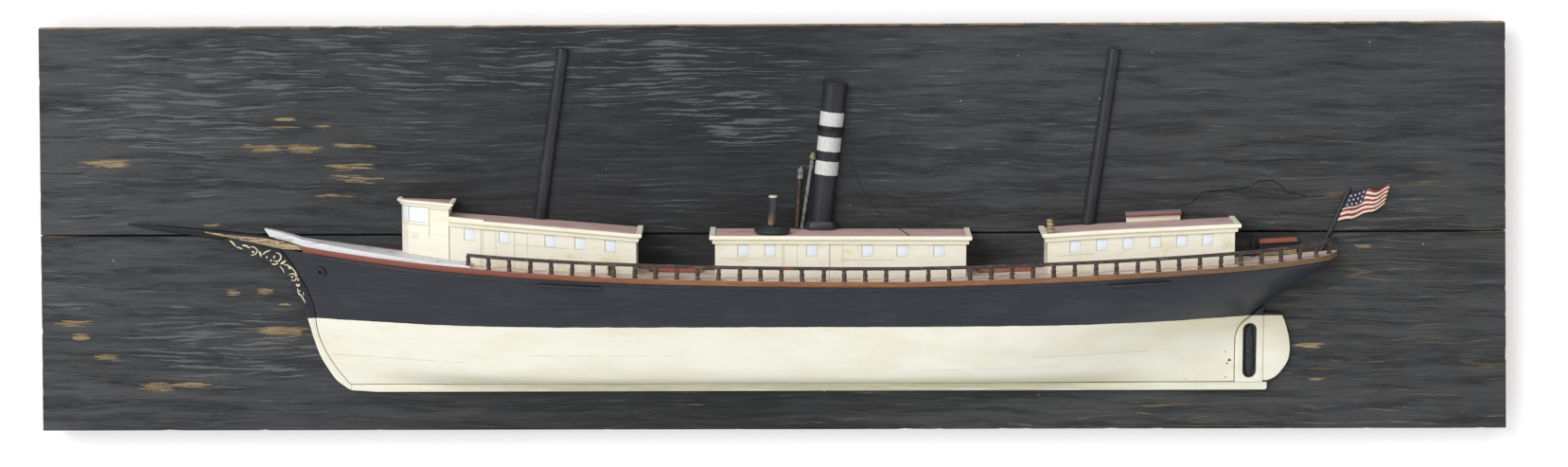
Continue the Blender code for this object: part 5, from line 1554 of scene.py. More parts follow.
def hull_row_points(row, stations):
    """One row of the hull's skin, from the stem to the stern."""
    bow, stern = -0.57, 0.6
    for _ in range(12):
        bow = stem_x(row(bow))
        stern = stern_x(row(stern))
    return [(x, hull_half(x, row(x)), row(x)) for x in spaced(bow, stern, stations)]


def hull_ends(end):
    """The hull's outline at its stem (end 0) or its stern (end -1), from the keel up, as (x, z)."""
    return [(points[end][0], points[end][2]) for points in (hull_row_points(row, 2) for row in hull_rows())]


CARVED_UNEVENNESS = 0.00018


def hull_block(hull, finish):
    """The carved block: its skin a little uneven from the gouge, and short of the stem and stern by the
    seams."""
    stations = hull.stations
    skin = [hull_row_points(row, stations) for row in hull_rows()]
    size = stations + 1
    points = []
    for j, row in enumerate(skin):
        for i, (x, out, z) in enumerate(row):
            uneven = noise.noise(Vector((x / 0.045, z / 0.022, 3.1)))
            uneven += 0.5 * noise.noise(Vector((x / 0.012, z / 0.009, 7.7)))
            inset = CARVED_UNEVENNESS * (0.6 + 0.6 * uneven)
            if i == 0:
                x += hull.seam * (z < 0)
            if i == stations:
                x -= hull.seam
            if j == 0:
                z += hull.seam
            points.append(place(x, max(out - inset, GAP * 2), z))
    faces = []
    for j in range(len(skin) - 1):
        for i in range(stations):
            corner = j * size + i
            faces.append((corner, corner + 1, corner + 1 + size, corner + size))
    top = (len(skin) - 1) * size
    border = list(range(size))
    border += [j * size + stations for j in range(1, len(skin))]
    border += [top + i for i in range(stations - 1, -1, -1)]
    border += [j * size for j in range(len(skin) - 2, 0, -1)]
    flat = []
    for index in border:
        flat.append(len(points))
        points.append(Vector((points[index].x, BOARD_FACE - GAP, points[index].z)))
    for k in range(len(border)):
        following = (k + 1) % len(border)
        faces.append((border[k], border[following], flat[following], flat[k]))
    faces.append(tuple(flat))
    return new_object("hull_block", points, faces, [finish])


STEM_FORE_EDGE = (
    (-0.6862, -0.0130),
    (-0.6774, -0.0188),
    (-0.6669, -0.0263),
    (-0.6552, -0.0334),
    (-0.6376, -0.0394),
    (-0.6248, -0.0444),
    (-0.6150, -0.0500),
    (-0.6073, -0.0597),
    (-0.5998, -0.0735),
    (-0.5912, -0.0895),
    (-0.5867, -0.1015),
    (-0.5819, -0.1135),
    (-0.5751, -0.1372),
    (-0.5665, -0.1611),
    (-0.5567, -0.1779),
    (-0.5474, -0.1910),
    (-0.5369, -0.1994),
    (KEEL_START - GAP, -0.2046),
)


def bowsprit_clearance():
    beyond_heel = (BOWSPRIT_HEEL[0] + 0.0040, BOWSPRIT_HEEL[1] - 0.0004)
    solid = half_round(BOWSPRIT_TIP, beyond_heel, BOWSPRIT_RADII, grow=CLEARANCE, sunk=0.002)
    return new_object("bowsprit_clearance", *solid, [])


def stem_solid():
    """The cutwater: its fore edge sweeps up to the knee of the head."""
    fore_edge = smooth_route(STEM_FORE_EDGE, 70)
    seam = [(KEEL_START - GAP, KEEL_TOP + trim(KEEL_START))]
    seam += [(x - GAP, z) for x, z in hull_ends(0)]
    top = [(x, wedge_low(x) - GAP) for x in (-0.6200, -0.6400, -0.6600, -0.6740)]
    return plate([tuple(point) for point in fore_edge] + seam + top, GAP, HALF_SIDING)


KEEL_CORNER = 0.003


def keel_solid():
    bottom = KEEL_TOP + trim(KEEL_END) - KEEL_DEPTH
    outline = [(KEEL_START, KEEL_TOP + trim(KEEL_START)), (KEEL_END, KEEL_TOP + trim(KEEL_END))]
    for step in range(8):
        angle = math.pi / 2 * step / 7
        corner_x = KEEL_END - KEEL_CORNER + KEEL_CORNER * math.cos(angle)
        outline.append((corner_x, bottom + KEEL_CORNER - KEEL_CORNER * math.sin(angle)))
    outline.append((-0.4950, KEEL_TOP + trim(-0.4950) - KEEL_DEPTH))
    outline.append((KEEL_START, -0.2048))
    return plate(outline, GAP, HALF_SIDING)


# The bow's carved strokes, as (half width, then (x, z) points from root to tip) in millimetres.
SCROLLS = (
    (1.0, (-677.4, -15.6), (-673.9, -18.4), (-670.4, -22.7)),
    (0.8, (-669.8, -23.6), (-665.7, -24.6), (-661.8, -26.3)),
    (1.1, (-662.1, -21.6), (-657.4, -22.2), (-652.8, -25.1)),
    (0.7, (-653.5, -23.6), (-648.0, -23.6), (-643.6, -27.5), (-645.6, -32.3), (-651.4, -34.3)),
    (1.3, (-650.2, -29.9), (-647.4, -29.9)), (1.1, (-641.4, -28.8), (-639.6, -32.0), (-638.8, -35.9)),
    (0.8, (-636.9, -33.2), (-632.8, -29.9), (-626.8, -27.5)), (1.2, (-632.9, -36.4), (-630.6, -36.6)),
    (1.7, (-623.4, -35.6), (-621.6, -36.3)),
    (0.8, (-620.2, -30.6), (-615.2, -32.8), (-614.2, -37.8), (-618.0, -41.6), (-623.2, -40.9)),
    (0.8, (-617.7, -43.6), (-621.6, -45.4), (-626.0, -44.8)), (1.1, (-627.6, -40.3), (-625.4, -41.0)),
    (1.2, (-614.6, -44.8), (-611.6, -43.4), (-608.2, -40.6)),
    (0.8, (-610.6, -45.4), (-604.7, -47.2), (-600.1, -50.8), (-596.6, -54.9), (-594.3, -59.7)),
    (0.6, (-615.4, -47.8), (-612.4, -51.6), (-610.2, -56.1)), (1.2, (-604.0, -47.6), (-603.2, -51.6)),
    (1.1, (-598.4, -56.8), (-597.2, -58.0)),
    (0.7, (-604.6, -58.6), (-599.8, -57.2), (-595.4, -60.6), (-596.6, -65.4), (-601.8, -65.6)),
    (1.3, (-601.4, -60.8), (-599.6, -61.8)), (0.8, (-593.4, -62.9), (-592.6, -66.9)),
    (1.2, (-595.7, -70.2), (-593.3, -72.4), (-590.9, -70.2)),
    (
        0.8, (-594.0, -75.8), (-593.4, -79.8), (-592.2, -82.6), (-589.2, -85.4), (-586.7, -89.6),
        (-584.5, -94.2)
    ),
    (1.0, (-591.9, -78.2), (-590.6, -79.4)), (0.9, (-587.4, -81.0), (-586.4, -82.0)),
    (0.8, (-587.2, -83.4), (-586.2, -84.2))
)
SCROLL_RELIEF = 0.0006
SCROLL_BREADTH = 1.1


def stroke(spine_mm, half_mm, out):
    """A raised carved stroke on a flat face: full in the middle, thin at both tips, with a rounded back."""
    route = smooth_route([(x * MM, z * MM) for x, z in spine_mm], 4 * len(spine_mm) + 2)
    rings = []
    for i, (x, z) in enumerate(route):
        before, after = route[max(i - 1, 0)], route[min(i + 1, len(route) - 1)]
        dx, dz = after[0] - before[0], after[1] - before[1]
        run = math.hypot(dx, dz)
        full = math.sin(math.pi * (0.10 + 0.80 * i / (len(route) - 1))) ** 0.7
        wide = half_mm * MM * SCROLL_BREADTH * full
        ring = []
        for k in range(7):
            across = math.cos(math.pi * k / 6) * wide
            rise = math.sin(math.pi * k / 6) ** 0.6 * SCROLL_RELIEF * full
            ring.append(place(x - dz / run * across, out + rise, z + dx / run * across))
        rings.append(ring)
    return ring_grid(rings)


class HALFHULL_OT_hull(bpy.types.Operator):
    """Builds the carved hull block, the stem with its scrollwork, and the keel"""

    bl_idname = "half_hull.hull"
    bl_label = "Hull, stem and keel"

    def execute(self, context):
        hull = context.scene.half_hull.hull
        finish = hull_paint(hull)
        settle(hull_block(hull, finish), ["hull"], sharp=50)
        stem = new_object("stem_post", *stem_solid(), [finish])
        carve(stem, bowsprit_clearance())
        settle(stem, ["stem"], edge=0.0007)
        settle(
            new_object("keel_plank", *keel_solid(), [keel_paint(hull)]), ["keel"], edge=0.0006
        )
        strokes = [stroke(spine, half, HALF_SIDING + 0.0001) for half, *spine in SCROLLS]
        settle(new_object("bow_scrollwork", *joined(*strokes), [gilding(hull)]), sharp=60)
        return {"FINISHED"}


FRAME_FRONT = 0.0074
APERTURE = {"left": 0.5879, "right": 0.6053, "low": -0.1890, "high": -0.1195}
RUDDER_HINGE = 0.6135
RUDDER_OUTLINE = (
    (0.6191, -0.1922),
    (0.6285, -0.1880),
    (0.6378, -0.1784),
    (0.6448, -0.1664),
    (0.6469, -0.1532),
    (0.6454, -0.1364),
    (0.6404, -0.1184),
    (0.6354, -0.1066),
)
SHAFT_HEIGHT = -0.1552
SCREW_REACH = 0.0318


def stadium(left, right, low, high, steps=20):
    """An upright slot with round ends."""
    radius = (right - left) / 2
    middle = (left + right) / 2
    outline = []
    for centre, start in ((high - radius, 0.0), (low + radius, math.pi)):
        for k in range(steps + 1):
            angle = start + math.pi * k / steps
            outline.append((middle + radius * math.cos(angle), centre + radius * math.sin(angle)))
    return outline


def frame_solid():
    """The stern frame, which fills the space between the run of the hull, the counter, the keel and the
    rudder."""
    keel_line = KEEL_TOP + trim(0.6) + GAP
    post = RUDDER_HINGE - GAP
    ends = hull_ends(-1)
    inside = [end for end in ends if end[0] < post]
    (x1, z1), (x2, z2) = inside[-1], ends[len(inside)]
    under_counter = (post, z1 + (z2 - z1) * (post - x1) / (x2 - x1))
    seam = [(x + GAP, z - GAP) for x, z in inside + [under_counter]]
    outline = [(seam[0][0], keel_line)] + seam[1:-1] + [(post, seam[-1][1]), (post, keel_line)]
    return plate(outline, GAP, FRAME_FRONT)


def screw_solid():
    """A two-bladed screw, edge on, in the aperture: long blades either side of a ringed hub."""
    middle = (APERTURE["left"] + APERTURE["right"]) / 2
    rings = []
    steps = 56
    for step in range(steps + 1):
        along_blade = -1 + 2 * step / steps
        hub = abs(along_blade) < 0.06
        waist = 1 - 0.30 * math.exp(-((abs(along_blade) - 0.11) / 0.05) ** 2)
        wide = 0.0058 * math.sqrt(max(1 - abs(along_blade) ** 3.5, 0.02)) * (1.12 if hub else waist)
        deep = 0.0046 if hub else 0.0034
        ring = []
        for k in range(15):
            angle = math.pi * k / 14
            out = GAP + deep * math.sin(angle)
            ring.append(place(middle + wide * math.cos(angle), out, SHAFT_HEIGHT + SCREW_REACH * along_blade))
        rings.append(ring)
    return ring_grid(rings)


class HALFHULL_OT_stern(bpy.types.Operator):
    """Builds the stern frame with its aperture, the rudder and the screw"""

    bl_idname = "half_hull.stern"
    bl_label = "Stern frame, rudder and screw"

    def execute(self, context):
        hull = context.scene.half_hull.hull
        finish = bpy.data.materials["hull_oil_paint"]
        stern_frame = new_object("stern_post_frame", *frame_solid(), [finish])
        carve(stern_frame, new_object("aperture_cutter", *plate(stadium(**APERTURE), -0.002, 0.02), []))
        settle(stern_frame, ["stern_frame"], edge=0.0005)
        fore = [(RUDDER_HINGE, -0.1066), (RUDDER_HINGE, -0.1922)]
        curve = [tuple(point) for point in smooth_route(RUDDER_OUTLINE, 40)]
        blade = new_object("rudder_blade", *plate(curve + fore, GAP, FRAME_FRONT - 0.0012), [finish])
        settle(blade, ["rudder"], edge=0.0007)
        settle(
            new_object("screw", *screw_solid(), [black_paint(hull)]), ["propeller"], sharp=50
        )
        return {"FINISHED"}


def deck_solid():
    """The deck board: its edge is a shallow half round that stands over the sheer strip."""
    stations = spaced(DECK_START, STERN_TIP + DECK_OVERHANG, 150)
    rings = []
    for x in stations:
        far = deck_half(min(x, STERN_TIP)) + DECK_OVERHANG
        low, high = sheer(x) + GAP, deck_top(x)
        edge = 0.0012
        ring = [place(x, GAP, low), place(x, far - edge, low)]
        for k in range(5):
            angle = -math.pi / 2 + math.pi * k / 4
            ring.append(
                place(
                    x, far - edge + edge * math.cos(angle),
                    (low + high) / 2 + (high - low) / 2 * math.sin(angle)
                )
            )
        ring.append(place(x, GAP, high))
        rings.append(ring)
    return ring_grid(rings)


SHEER_STRIP_SECTION = (
    (0.0, 0.25), (0.05, 0.75), (0.2, 1.0), (0.42, 0.92), (0.52, 0.55), (0.62, 0.92), (0.9, 0.92), (1.0, 0.7)
)


def sheer_strip_solid():
    """The black strip under the deck's edge, with a groove along its middle."""
    stations = 170
    skip = 12
    lower = hull_row_points(lambda x: sheer(x) - MOULDING_HEIGHT, stations)[skip:-2]
    upper = hull_row_points(sheer, stations)[skip:-2]
    rings = []
    for low, high in zip(lower, upper):
        ring = [place(low[0], low[1] + GAP, low[2])]
        for up, proud in SHEER_STRIP_SECTION:
            x, out, z = (low[axis] + (high[axis] - low[axis]) * up for axis in range(3))
            ring.append(place(x, out + GAP + (MOULDING_PROUD - GAP) * proud, z))
        ring.append(place(high[0], high[1] + GAP, high[2]))
        rings.append(ring)
    return ring_grid(rings)


def channel_solid(left, right):
    """A thin ledge on the topsides under the sheer strip."""
    rings = []
    for k in range(25):
        x = left + (right - left) * k / 24
        high = sheer(x) - MOULDING_HEIGHT - GAP
        side = hull_half(x, high) + 2 * GAP
        end = math.sin(math.pi * min(max(k, 0.4), 23.6) / 24) ** 0.12
        proud = CHANNEL_PROUD * end
        low = high - CHANNEL_HEIGHT
        section = ((0.0, high), (proud, high), (proud * 0.96, high - 0.0014), (proud * 0.72, low), (0.0, low))
        rings.append([place(x, side + out, z) for out, z in section])
    return ring_grid(rings)


FOREDECK_DROOP = 0.0036
FOREDECK_DROOP_RUN = 0.042
FOREDECK_END_SLANT = 0.0066
FOREDECK_END_RUN = 0.016


def raised_foredeck_solid():
    """The raised foredeck: a thin board whose tip droops a little and is cut on a slant."""
    stations = [LIFT_START + (LIFT_END - LIFT_START) * (k / 70) ** 1.2 for k in range(71)]
    points, faces = slab(
        stations,
        lambda x: (bow_half(x) if x < DECK_START else deck_half(x)) - 0.0006,
        lambda x, out: lift_bottom(x),
        lambda x, out: lift_top(x),
    )
    bent = []
    for x, y, z in points:
        droop = max(1 - (x - LIFT_START) / FOREDECK_DROOP_RUN, 0.0)
        near = max(1 - (x - LIFT_START) / FOREDECK_END_RUN, 0.0)
        below = (lift_top(x) - z) / (lift_top(x) - lift_bottom(x))
        bent.append((x + FOREDECK_END_SLANT * near * below, y, z - FOREDECK_DROOP * droop * droop))
    return bent, faces


HEAD_MEETS_DECK = -0.612


def head_board_solid():
    stations = [HEAD_TIP + (DECK_START - GAP - HEAD_TIP) * k / 50 for k in range(51)]
    return slab(
        stations,
        lambda x: bow_half(x) + DECK_OVERHANG,
        lambda x, out: max(wedge_low(x), sheer(x) + GAP) if x > HEAD_MEETS_DECK else wedge_low(x),
        lambda x, out: wedge_high(x),
    )


HAWSE_AT = (-0.5620, -0.0525)
HAWSE_OUTER = 0.0066
HAWSE_INNER = 0.0030


def hawse_ring_solid():
    """A turned ring standing on the bow's skin."""
    x, z = HAWSE_AT
    out = hull_half(x, z)
    step = 0.004
    slope_x = (hull_half(x + step, z) - hull_half(x - step, z)) / (2 * step)
    slope_z = (hull_half(x, z + step) - hull_half(x, z - step)) / (2 * step)
    normal = Vector((-slope_x, -1.0, -slope_z)).normalized()
    tilt = normal.to_track_quat("Z", "Y").to_matrix().to_4x4()
    turn = Matrix.Translation(place(x, out, z) + normal * 0.0008) @ tilt
    middle, thick = (HAWSE_OUTER + HAWSE_INNER) / 2, (HAWSE_OUTER - HAWSE_INNER) / 2
    sides, around = 40, 10
    points, faces = [], []
    for k in range(sides):
        turned_by = 2 * math.pi * k / sides
        for m in range(around):
            angle = 2 * math.pi * m / around
            radius = middle + thick * math.cos(angle)
            rise = 0.0007 + 0.0013 * math.sin(angle)
            points.append(turn @ Vector((radius * math.cos(turned_by), radius * math.sin(turned_by), rise)))
    for k in range(sides):
        for m in range(around):
            here, beside = k * around, (k + 1) % sides * around
            after = (m + 1) % around
            faces.append((here + m, here + after, beside + after, beside + m))
    return points, faces


class HALFHULL_OT_deck(bpy.types.Operator):
    """Builds the deck, the strip and ledges under its edge, and the raised foredeck"""

    bl_idname = "half_hull.deck"
    bl_label = "Deck and foredeck"

    def execute(self, context):
        deck, hull = context.scene.half_hull.deck, context.scene.half_hull.hull
        black = black_paint(hull)
        settle(new_object("deck_board", *deck_solid(), [deck_paint(deck)]), ["deck"], sharp=50)
        strip = new_object("sheer_strip", *sheer_strip_solid(), [black])
        settle(strip, ["sheer_moulding"], sharp=50)
        for name, node, ends in (
            ("fore_ledge", "channel_fore", FORE_CHANNEL),
            ("aft_ledge", "channel_aft", AFT_CHANNEL),
        ):
            settle(new_object(name, *channel_solid(*ends), [black]), [node], sharp=50)
        lift = new_object("foredeck_board", *raised_foredeck_solid(), [foredeck_paint(deck)])
        carve(lift, bowsprit_clearance())
        settle(lift, ["raised_foredeck"], edge=0.0005)
        head = new_object("head_board", *head_board_solid(), [bare_wood(deck)])
        carve(head, bowsprit_clearance())
        settle(head, ["head_rail"], edge=0.0004)
        spar = new_object(
            "bowsprit_spar", *half_round(BOWSPRIT_TIP, BOWSPRIT_HEEL, BOWSPRIT_RADII), [bowsprit_paint()]
        )
        settle(spar, ["bowsprit"], sharp=50)
        settle(
            new_object("hawse_roll", *hawse_ring_solid(), [black]), ["hawse_ring"], sharp=60
        )
        return {"FINISHED"}


CORNICE_PROFILE = (
    (0.0003, -0.0103),
    (0.0026, -0.0102),
    (0.0032, -0.0099),
    (0.0034, -0.0090),
    (0.0034, -0.0064),
    (0.0037, -0.0058),
    (0.0046, -0.0053),
    (0.0060, -0.0049),
    (0.0068, -0.0044),
    (0.0070, -0.0036),
    (0.0070, -0.0006),
    (0.0066, 0.0),
    (0.0003, 0.0),
)
DOOR_HEIGHT = 0.0380
PANE_THICKNESS = 0.0004
PANE_MARGIN = 0.0004


def house_stations(house, extra):
    left, right = house["ends"]
    count = 44
    inner = [left + (right - left) * k / count for k in range(1, count)]
    return sorted([left, right] + [x for x in inner if all(abs(x - e) > 0.001 for e in extra)] + list(extra))


def wall_top(house, x):
    return house_top(house, x) - ROOF_RECESS - ROOF_THICKNESS - 2 * GAP


def wall_box(house, x, width, low, high, inner, outer):
    """A box that follows the wall's slope in plan and the roof's fall, from inner to outer beyond the
    wall."""
    rings = []
    for side in (-width / 2, width / 2):
        wall = house_front(house, x + side)
        fall = house_top(house, x + side) - house_top(house, x)
        ends = ((inner, low), (outer, low), (outer, high), (inner, high))
        rings.append([place(x + side, wall + out, z + fall) for out, z in ends])
    return ring_grid(rings)


# Joints between the wall panels: houses' upright joints, and level ones as (left, right, height below the
# top).
UPRIGHT_JOINTS = {
    "forward_house": (-0.3603, -0.3189),
    "mid_house": (0.0119, 0.0695),
    "aft_house": (),
}
LEVEL_JOINTS = {
    "forward_house": ((-0.3180, -0.2540, 0.0265),),
    "mid_house": ((-0.0663, 0.0095, 0.0287), (0.0880, 0.1500, 0.0300)),
    "aft_house": ((0.3500, 0.3960, 0.0290),),
}
JOINT_DEPTH = 0.0004
JOINT_SIDE = 0.00003


def panel_depth(cuts, along_it, below):
    """How deep the wall is cut at a place, for cuts of (left, right, lowest, highest, depth)."""
    depth = 0.0
    for left, right, lowest, highest, cut in cuts:
        if left < along_it < right and highest < below < lowest:
            depth = max(depth, cut)
    return depth


def cut_lines(edges, low, high):
    """Places just outside and just inside each edge of the cuts, within two ends."""
    lines = {low, high}
    for edge in edges:
        for side in (-JOINT_SIDE, JOINT_SIDE):
            if low + JOINT_SIDE < edge + side < high - JOINT_SIDE:
                lines.add(edge + side)
    return sorted(lines)


def mark_cuts(piece, depths):
    """Keeps on the mesh how deep each point lies in a cut, for the soiling and painted shade of the joints
    and window recesses.
    """
    attribute = piece.data.attributes.new("cut", "FLOAT", "POINT")
    shares = [1.0 if depth > 0 else 0.0 for depth in depths]
    attribute.data.foreach_set("value", np.array(shares, np.float32))


def house_cuts(name, house, houses):
    """The windows, doors and joints of a wall, with heights measured down from the house's top."""
    cuts, panes = [], []
    top = -CORNICE_LOW + WINDOW_DROP
    half_window, half_door, half_joint = houses.window_width / 2, houses.door_width / 2, houses.groove / 2
    for x in house["windows"]:
        left, right = x - half_window, x + half_window
        cuts.append((left, right, top + houses.window_height, top, houses.window_depth))
        panes.append((left + PANE_MARGIN, right - PANE_MARGIN * 0.5))
    for x in house["doors"]:
        for side in (x - half_door, x + half_door):
            cuts.append(
                (side - half_joint * 0.6, side + half_joint * 0.6, top + DOOR_HEIGHT, top, JOINT_DEPTH)
            )
        cuts.append((x - half_door, x + half_door, top + half_joint, top - half_joint * 0.2, JOINT_DEPTH))
    for x in UPRIGHT_JOINTS[name]:
        cuts.append((x - half_joint, x + half_joint, 1.0, 0.0, JOINT_DEPTH))
    for left, right, below in LEVEL_JOINTS[name]:
        cuts.append((left, right, below + half_joint * 0.7, below - half_joint * 0.7, JOINT_DEPTH))
    return cuts, panes


def house_walls(name, house, houses, extra, finish):
    """A wall block whose front is sunk at its windows and cut along its joints."""
    cuts, panes = house_cuts(name, house, houses)
    left, right = house["ends"]
    columns = set(house_stations(house, extra))
    columns |= set(cut_lines([edge for cut in cuts for edge in cut[:2]], left, right))
    rows = cut_lines([edge for cut in cuts for edge in cut[2:4] if edge < 0.045], 0.0, 0.045)[1:-1]
    rings, depths = [], []
    for x in sorted(columns):
        wall, top = house_front(house, x), house_top(house, x)
        low, high = house_floor(x), wall_top(house, x)
        belows = [top - low, *reversed(rows), top - high]
        ring = [place(x, GAP, low)]
        ring_depths = [0.0]
        for below in belows:
            below = min(max(below, top - high), top - low)
            depth = panel_depth(cuts, x, below)
            ring.append(place(x, wall - depth, top - below))
            ring_depths.append(depth)
        for k in range(1, 7):
            out = wall + (GAP - wall) * k / 6
            ring.append(place(x, out, high + crown(house, x, out)))
            ring_depths.append(0.0)
        rings.append(ring)
        depths += ring_depths
    walls = new_object(name + "_boards", *ring_grid(rings), [finish])
    mark_cuts(walls, depths)
    settle(walls, [name + "_walls"], sharp=20)
    solids = []
    for start, end in panes:
        middle = (start + end) / 2
        high = house_top(house, middle) + CORNICE_LOW - WINDOW_DROP - PANE_MARGIN
        low = high - houses.window_height + 1.5 * PANE_MARGIN
        deep = -houses.window_depth + 0.00005
        solids.append(wall_box(house, middle, end - start, low, high, deep, deep + PANE_THICKNESS))
    settle(new_object(name + "_panes", *joined(*solids), [pane_paint(houses)]), edge=0.00015)


def house_cornice(name, house, extra, finish):
    left, right = house["ends"]
    turns = [x for x in house_stations(house, extra) if x not in extra]
    ledge = house.get("ledge")
    if ledge:
        turns = sorted(
            [x for x in turns if abs(x - ledge[0]) > 0.001] + [ledge[0] - 0.0002, ledge[0] + 0.0002]
        )
    path = [(x, house_front(house, x)) for x in turns] + [(right, GAP)]
    if not house.get("joins_left"):
        path.insert(0, (left, GAP))
    solid = sweep(path, CORNICE_PROFILE, lambda x, out: house_top(house, x) + crown(house, x, out), ledge)
    settle(new_object(name + "_moulding", *solid, [finish]), [name + "_cornice"], sharp=35)


def house_roof(name, house, finish):
    solid = slab(
        house_stations(house, ()),
        lambda x: house_front(house, x),
        lambda x, out: wall_top(house, x) + crown(house, x, out) + GAP,
        lambda x, out: house_top(house, x) - ROOF_RECESS + crown(house, x, out),
    )
    settle(new_object(name + "_top", *solid, [finish]), [name + "_roof"], edge=0.0003)


PILOTHOUSE_PLAN = ((-0.4615, GAP), (-0.4615, 0.0150), (-0.4530, 0.0270), (-0.4005, 0.0500), (-0.4005, GAP))


def plan_prism(plan, low, high):
    return ring_grid([[place(x, out, height(x)) for x, out in plan] for height in (low, high)])


def between(start, end, t):
    return start[0] + (end[0] - start[0]) * t, start[1] + (end[1] - start[1]) * t


def facet_box(start, end, low, high, inner, outer):
    """A box on an upright facet between two plan points, from inner to outer beyond the facet."""
    dx, dy = end[0] - start[0], end[1] - start[1]
    run = math.hypot(dx, dy)
    nx, ny = -dy / run, dx / run
    rings = []
    for x, out in (start, end):
        ends = ((inner, low), (outer, low), (outer, high), (inner, high))
        rings.append([place(x + nx * off, out + ny * off, pilothouse_top(x) + z) for off, z in ends])
    return ring_grid(rings)


# The pilothouse's windows and joints on its facets, as (facet, start, end, lowest, highest) with the start
# and end as shares of the facet and the heights below the top.
PILOTHOUSE_WINDOWS = ((1, 0.05, 0.97, 0.0272, 0.0078), (2, 0.012, 0.450, 0.0272, 0.0078))
PILOTHOUSE_JOINTS = (
    (2, 0.515, 0.531, 0.0450, 0.0066),
    (2, 0.000, 0.500, 0.0306, 0.0300),
    (2, 0.540, 0.985, 0.0100, 0.0094),
    (1, 0.000, 1.000, 0.0306, 0.0300),
)


def pilothouse_walls(houses, cream):
    """The pilothouse's block: each facet is sunk at its window and cut along its joints."""
    plan = PILOTHOUSE_PLAN
    cuts = [(*window, houses.window_depth) for window in PILOTHOUSE_WINDOWS]
    cuts += [(*joint, JOINT_DEPTH) for joint in PILOTHOUSE_JOINTS]
    rows = cut_lines([edge for cut in cuts for edge in cut[3:5]], 0.0, 0.070)[1:-1]
    places = []
    for facet, (start, end) in enumerate(zip(plan, plan[1:])):
        mine = [cut for cut in cuts if cut[0] == facet]
        run = math.dist(start, end)
        nx, ny = -(end[1] - start[1]) / run, (end[0] - start[0]) / run
        side = JOINT_SIDE / run
        shares = {0.0}
        for cut in mine:
            for edge in cut[1:3]:
                shares |= {edge + step for step in (-side, side) if 0.001 < edge + step < 0.999}
        for share in sorted(shares):
            places.append((between(start, end, share), (nx, ny), share, mine))
    places.append((plan[-1], (0.0, 0.0), 1.0, []))
    rings, depths = [], []
    for level in (None, *reversed(rows), 0.0):
        ring = []
        for (x, out), (nx, ny), share, mine in places:
            top = pilothouse_top(x)
            highest = ROOF_RECESS + ROOF_THICKNESS + GAP
            lowest = top - lift_top(x) - GAP
            below = lowest if level is None else min(max(level, highest), lowest)
            depth = panel_depth([cut[1:] for cut in mine], share, below)
            ring.append(place(x - nx * depth, out - ny * depth, top - below))
            depths.append(depth)
        rings.append(ring)
    walls = new_object("pilothouse_boards", *ring_grid(rings), [cream])
    mark_cuts(walls, depths)
    settle(walls, ["pilothouse_walls"], sharp=20)


# The pilothouse's cornice is slighter than the others: its overhang and height as shares of theirs.
PILOTHOUSE_CORNICE_SHARE = (0.80, 0.68)


def pilothouse(houses, cream, red):
    plan = list(PILOTHOUSE_PLAN)
    pilothouse_walls(houses, cream)
    panes = []
    for facet, start, end, lowest, highest in PILOTHOUSE_WINDOWS:
        run = math.dist(plan[facet], plan[facet + 1])
        inset = PANE_MARGIN / run
        sides = [between(plan[facet], plan[facet + 1], share) for share in (start + inset, end - inset * 0.5)]
        deep = -houses.window_depth + 0.00005
        panes.append(
            facet_box(*sides, PANE_MARGIN * 0.5 - lowest, -highest - PANE_MARGIN, deep, deep + PANE_THICKNESS)
        )
    settle(new_object("pilothouse_panes", *joined(*panes), [pane_paint(houses)]), edge=0.00015)
    slight = [
        (offset * PILOTHOUSE_CORNICE_SHARE[0], dz * PILOTHOUSE_CORNICE_SHARE[1])
        for (offset, dz) in CORNICE_PROFILE
    ]
    cornice = sweep(plan, slight, lambda x, out: pilothouse_top(x))
    settle(
        new_object("pilothouse_moulding", *cornice, [cream]), ["pilothouse_cornice"], sharp=35
    )
    roof_low = lambda x: pilothouse_top(x) - ROOF_RECESS - ROOF_THICKNESS
    roof = plan_prism(plan, roof_low, lambda x: pilothouse_top(x) - ROOF_RECESS)
    settle(new_object("pilothouse_top", *roof, [red]), ["pilothouse_roof"], edge=0.0003)


class HALFHULL_OT_houses(bpy.types.Operator):
    """Builds the pilothouse and the three deckhouses: walls with sunk windows, mouldings and roofs"""

    bl_idname = "half_hull.houses"
    bl_label = "Deckhouses"

    def execute(self, context):
        houses = context.scene.half_hull.houses
        cream, red = house_paint(houses), roof_paint(houses)
        pilothouse(houses, cream, red)
        for name, house in HOUSES.items():
            extra = (LIFT_END + 0.0001, LIFT_END + 0.0007) if name == "forward_house" else ()
            house_walls(name, house, houses, extra, cream)
            house_cornice(name, house, extra, cream)
            house_roof(name, house, red)
        return {"FINISHED"}


def rail_path():
    """Plan path of the railing, from the raised foredeck round the stern to the board."""
    tip = STERN_TIP + DECK_OVERHANG - RAIL_INSET
    path = []
    for x in spaced(RAIL_START, tip, 110, even=0.5):
        path.append((x, deck_half(min(x + RAIL_INSET * 0.6, STERN_TIP)) + DECK_OVERHANG - RAIL_INSET))
    path[-1] = (tip, STERN_SIDING + 0.001)
    path.append((tip + 0.0008, GAP))
    return path


def along_path(path, distance):
    """The point that lies a distance along a plan path."""
    for a, b in zip(path, path[1:]):
        step = math.dist(a, b)
        if distance <= step:
            return between(a, b, distance / step)
        distance -= step
    return path[-1]


# A baluster's turning, as (radius, share of its height) from foot to rail.
BALUSTER_PROFILE = (
    (0.0032, 0.0),
    (0.0033, 0.09),
    (0.0027, 0.14),
    (0.0025, 0.20),
    (0.0029, 0.30),
    (0.0032, 0.42),
    (0.0030, 0.54),
    (0.0026, 0.64),
    (0.0024, 0.72),
    (0.0029, 0.78),
    (0.0026, 0.83),
    (0.0031, 0.90),
    (0.0034, 1.0),
)


